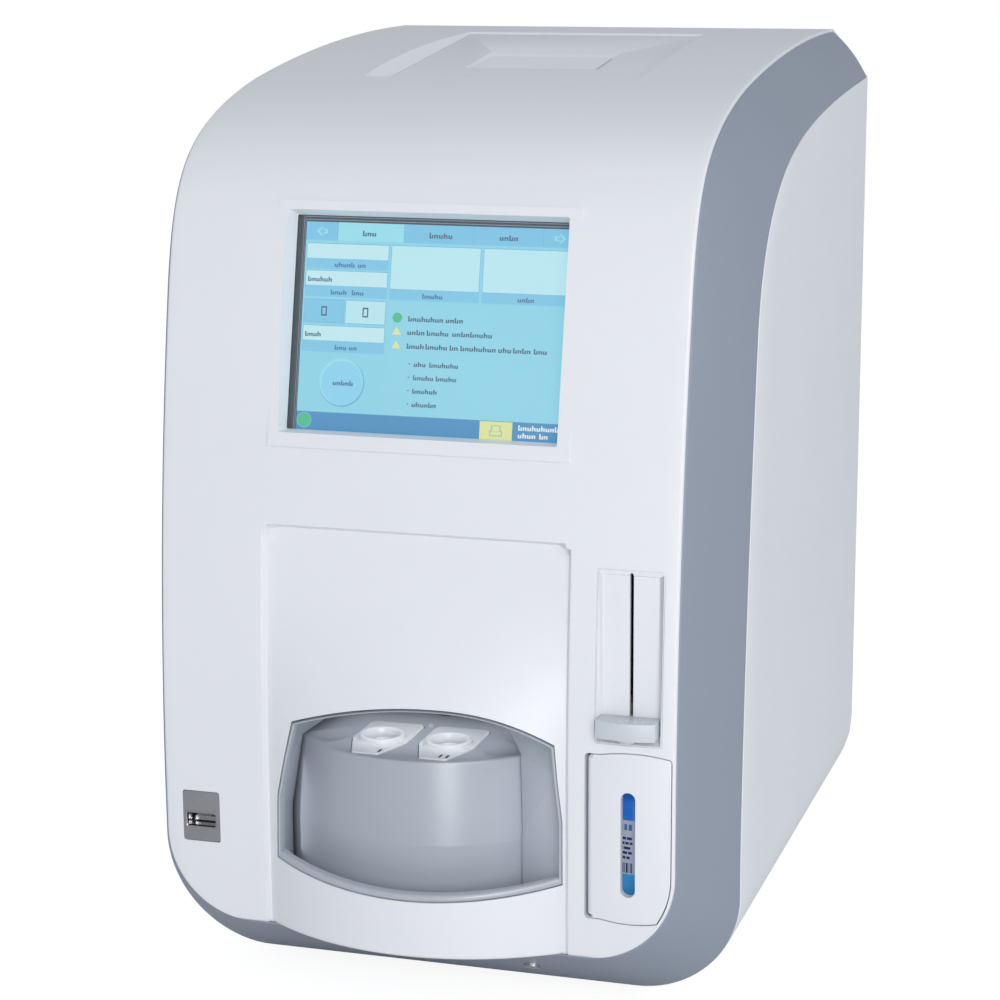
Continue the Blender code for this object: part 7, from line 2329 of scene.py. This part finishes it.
@dataclass
class RearFace(Workshop):
    """Fan rotor with twisted blades, panel screws and the feet."""

    fan: Vec3 = (0.060, 0.154, 0.290)
    length: float = 0.0107
    hub: float = 0.011
    hub_edges: Vec2 = (0.0008, 0.0012)
    tip: float = 0.0268
    root_sink: float = 0.0004
    blades: int = 7
    blade_steps: int = 8
    pitch: Vec2 = (52, -22)
    chord: Vec2 = (0.0068, 0.0028)
    sweep: float = 0.25
    blade: tuple = ((-1.0, 0.0), (-0.5, 0.0005), (0.0, 0.0007), (0.5, 0.0005), (1.0, 0.0), (0.5, -0.0003),
                    (0.0, -0.0004), (-0.5, -0.0003))
    screw_y: float = 0.1684
    screw_radius: float = 0.0022
    screws: tuple = ((0.108, 0.372), (0.118, 0.200), (0.092, 0.026))
    feet: tuple = (("foot_front_left", -0.068, -0.080), ("foot_front_right", 0.068, -0.080),
                   ("foot_rear_left", -0.068, 0.145), ("foot_rear_right", 0.068, 0.145))
    foot: tuple = ((0, 0.0037), (0.0086, 0.0037), (0.0090, 0.0033), (0.0090, 0.0018), (0.0084, 0.0003),
                   (0.0081, 0.0), (0.0068, 0.0), (0.0064, 0.0006), (0.0058, 0.0006), (0.0054, 0.0),
                   (0.0040, 0.0), (0.0036, 0.0006), (0, 0.0006))

    def blade_ring(self, base: float, share: float) -> list[Vec3]:
        """A blade's section at a share of its length, at an angle round the hub.

        Args:
            base: The blade's angle round the hub.
            share: How far out the section lies, from root to tip.

        Returns:
            The section's points.
        """
        x, y, z = self.fan
        radius = self.hub - self.root_sink + (self.tip - self.hub) * share
        pitch = math.radians(self.pitch[0] + self.pitch[1] * share)
        half = (self.chord[0] + self.chord[1] * share) / 2
        ring = []
        for along, across in self.blade:
            deep = along * half * math.cos(pitch) + across * math.sin(pitch)
            around = along * half * math.sin(pitch) - across * math.cos(pitch)
            angle = base + around / radius + share * self.sweep
            middle = y + self.length / 2
            ring.append((x + radius * math.cos(angle), middle + deep, z + radius * math.sin(angle)))
        return ring

    def build_rotor(self) -> None:
        """Makes the rotor: a cupped hub and blades that twist from root to tip."""
        r, deep, (near, far) = self.hub, self.length, self.hub_edges
        profile = [(0, 0.0), (r - near, 0.0), (r, near), (r, deep - far), (r - far, deep), (0, deep)]
        parts = [self.lathe("hub", profile, self.fan, 48, BACKWARDS)]
        for index in range(self.blades):
            base = 2 * math.pi * index / self.blades
            rings = [self.blade_ring(base, share) for share in shares(self.blade_steps)]
            parts.append(self.loft("blade", rings))
        self.hand_over(self.merge("fan_rotor_shape", parts), Body.FAN, "black", ["fan_rotor"])

    def build(self) -> None:
        """Makes the rotor, the rear panel's screws and the feet with their ringed tread."""
        self.build_rotor()
        spots = [(side * x, self.screw_y, z) for side in (-1, 1) for x, z in self.screws]
        screws = ScrewField("panel_screws", spots, (-math.pi / 2, 0.0, 0.0), self.screw_radius, Look.STEEL)
        screws.build(Body.HOUSING, "steel")
        for name, x, y in self.feet:
            foot = self.lathe(name + "_shape", self.foot, (x, y, 0), 56)
            self.hand_over(foot, Body.HOUSING, "rubber", [name])


class InnerPieces(Workshop):
    """The CAD nodes that stay, dressed by the slot that the record gives them."""

    def build(self) -> None:
        """Puts a finish on every CAD node."""
        for entry in frame["record"]["subparts"]:
            self.paint(frame["nodes"][entry["node"]], Look[entry["material_slot"].upper()])


# Stage, light and camera


@dataclass(frozen=True)
class Lamp:
    """A soft box that the camera doesn't see: its place, aim, size, power in watts and colour."""

    name: str
    place: Vec3
    aim: Vec3
    size: Vec2
    power: float
    colour: Vec3 = WHITE
    diffuse: bool = True
    gloss: bool = True

    def build(self) -> None:
        """Puts the lamp in the scene."""
        data = bpy.data.lights.new(self.name, "AREA")
        data.shape = "RECTANGLE"
        data.size, data.size_y = self.size
        data.energy = self.power
        data.color = self.colour
        lamp = Workshop.link(self.name, data)
        lamp.location = self.place
        lamp.rotation_euler = (Vector(self.aim) - Vector(self.place)).to_track_quat("-Z", "Y").to_euler()
        lamp.visible_camera = False
        lamp.visible_diffuse = self.diffuse
        lamp.visible_glossy = self.gloss


@dataclass
class Studio(Workshop):
    """The pale floor, the soft lights, the world and the camera at the photograph's angle."""

    floor_half: float = 3.0
    floor_colour: Vec3 = (0.88, 0.88, 0.89)
    floor_roughness: float = 0.7
    floor_glow: float = 1.24
    floor_seen: float = 0.72
    sky_colour: Vec3 = (0.90, 0.95, 1.0)
    sky_level: float = 0.52
    lens: float = 92.331
    sensor: float = 36.0
    shift: Vec2 = (-0.06394, 0.01806)
    clip: Vec2 = (0.05, 50.0)
    eye: Vec3 = (0.345, -1.11299, 0.44877)
    right: Vec3 = (0.96053277, 0.27816547, -0.00087008)
    up: Vec3 = (-0.06075437, 0.21284116, 0.97519616)
    back: Vec3 = (0.27145108, -0.93665501, 0.22134068)
    lamps: tuple = (
        Lamp("key_box", (1.1, -2.1, 0.95), (0.0, 0.0, 0.18), (1.2, 1.2), 27.0, (1.0, 0.99, 0.98)),
        Lamp("side_box", (2.2, -0.2, 0.6), (0.0, 0.0, 0.2), (1.2, 1.2), 4.5),
        Lamp("top_box", (0.0, 0.1, 2.2), (0.0, 0.0, 0.2), (1.2, 1.2), 1.6),
        Lamp("well_lamp", (-0.0084, -0.113, 0.1230), (-0.0084, -0.113, 0.0), (0.080, 0.050), 0.0100,
             gloss=False),
        Lamp("well_wall", (-0.0600, -0.138, 0.086), (0.0, -0.144, 0.086), (0.018, 0.050), 0.0022,
             gloss=False),
        Lamp("well_right", (0.046, -0.150, 0.086), (0.044, -0.120, 0.082), (0.022, 0.055), 0.0014,
             gloss=False),
        Lamp("drum_strip", (0.163, -0.62, 0.155), (0.0138, -0.145, 0.100), (0.12, 0.30), 0.9,
             diffuse=False),
    )

    def floor(self) -> None:
        """Makes the floor, which shows near white and keeps the object's shadow."""
        half = self.floor_half
        corners = [(-half, -half, 0), (half, -half, 0), (half, half, 0), (-half, half, 0)]
        floor = self.from_faces("floor", corners, [(0, 1, 2, 3)], outward=False)
        material = bpy.data.materials.new("pale_floor")
        material.use_nodes = True
        tree = NodeTree(material.node_tree)
        tree.dress(Base_Color=self.floor_colour, Roughness=self.floor_roughness)
        glow = tree.node("ShaderNodeEmission", None, {"Color": WHITE, "Strength": self.floor_glow})
        matt = Wire(tree, tree.tree.nodes["Principled BSDF"].outputs[0])
        tree.show("Material Output", tree.rays("Is Camera Ray") * self.floor_seen, matt, glow)
        floor.data.materials.append(material)

    def world(self) -> None:
        """Makes the world: white where it is seen, and a soft even light on everything else."""
        world = bpy.data.worlds.new("studio_world")
        bpy.context.scene.world = world
        world.use_nodes = True
        tree = NodeTree(world.node_tree)
        lit = tree.node("ShaderNodeBackground", None, {"Color": self.sky_colour, "Strength": self.sky_level})
        seen = tree.node("ShaderNodeBackground", None, {"Color": WHITE})
        sockets = {0: tree.rays("Is Camera Ray"), 1: tree.rays("Is Transmission Ray")}
        either = tree.node("ShaderNodeMath", {"operation": "MAXIMUM"}, sockets)
        tree.show("World Output", either, lit, seen)

    def camera(self) -> None:
        """Makes the camera that the photograph was taken with."""
        data = bpy.data.cameras.new("studio_camera")
        data.lens, data.sensor_width, data.sensor_fit = self.lens, self.sensor, "HORIZONTAL"
        data.shift_x, data.shift_y = self.shift
        data.clip_start, data.clip_end = self.clip
        camera = self.link("studio_camera", data)
        turn = Matrix((self.right, self.up, self.back)).transposed().to_4x4()
        camera.matrix_world = Matrix.Translation(self.eye) @ turn
        bpy.context.scene.camera = camera

    def build(self) -> None:
        """Makes them all."""
        self.floor()
        self.world()
        for lamp in self.lamps:
            lamp.build()
        self.camera()


def main() -> None:
    """Builds every sub-assembly in order."""
    logging.basicConfig(level=logging.INFO, format="%(message)s")
    bpy.context.scene.view_settings.view_transform = "Standard"
    InnerPieces().build()
    Hood().build()
    Surround().build()
    CarouselWell().build()
    cassettes = [
        Cassette("cassette_one", Body.FIRST_CASSETTE, -0.0240, 1),
        Cassette("cassette_two", Body.SECOND_CASSETTE, 0.0061, 2),
    ]
    Drum().build(cassettes)
    rest = (Screen(), ReagentDoor(), LeverTrack(), UsbPort(), PrinterLid(), RearFace(), Studio())
    for assembly in (*cassettes, *rest):
        assembly.build()


if __name__ == "__main__":
    main()
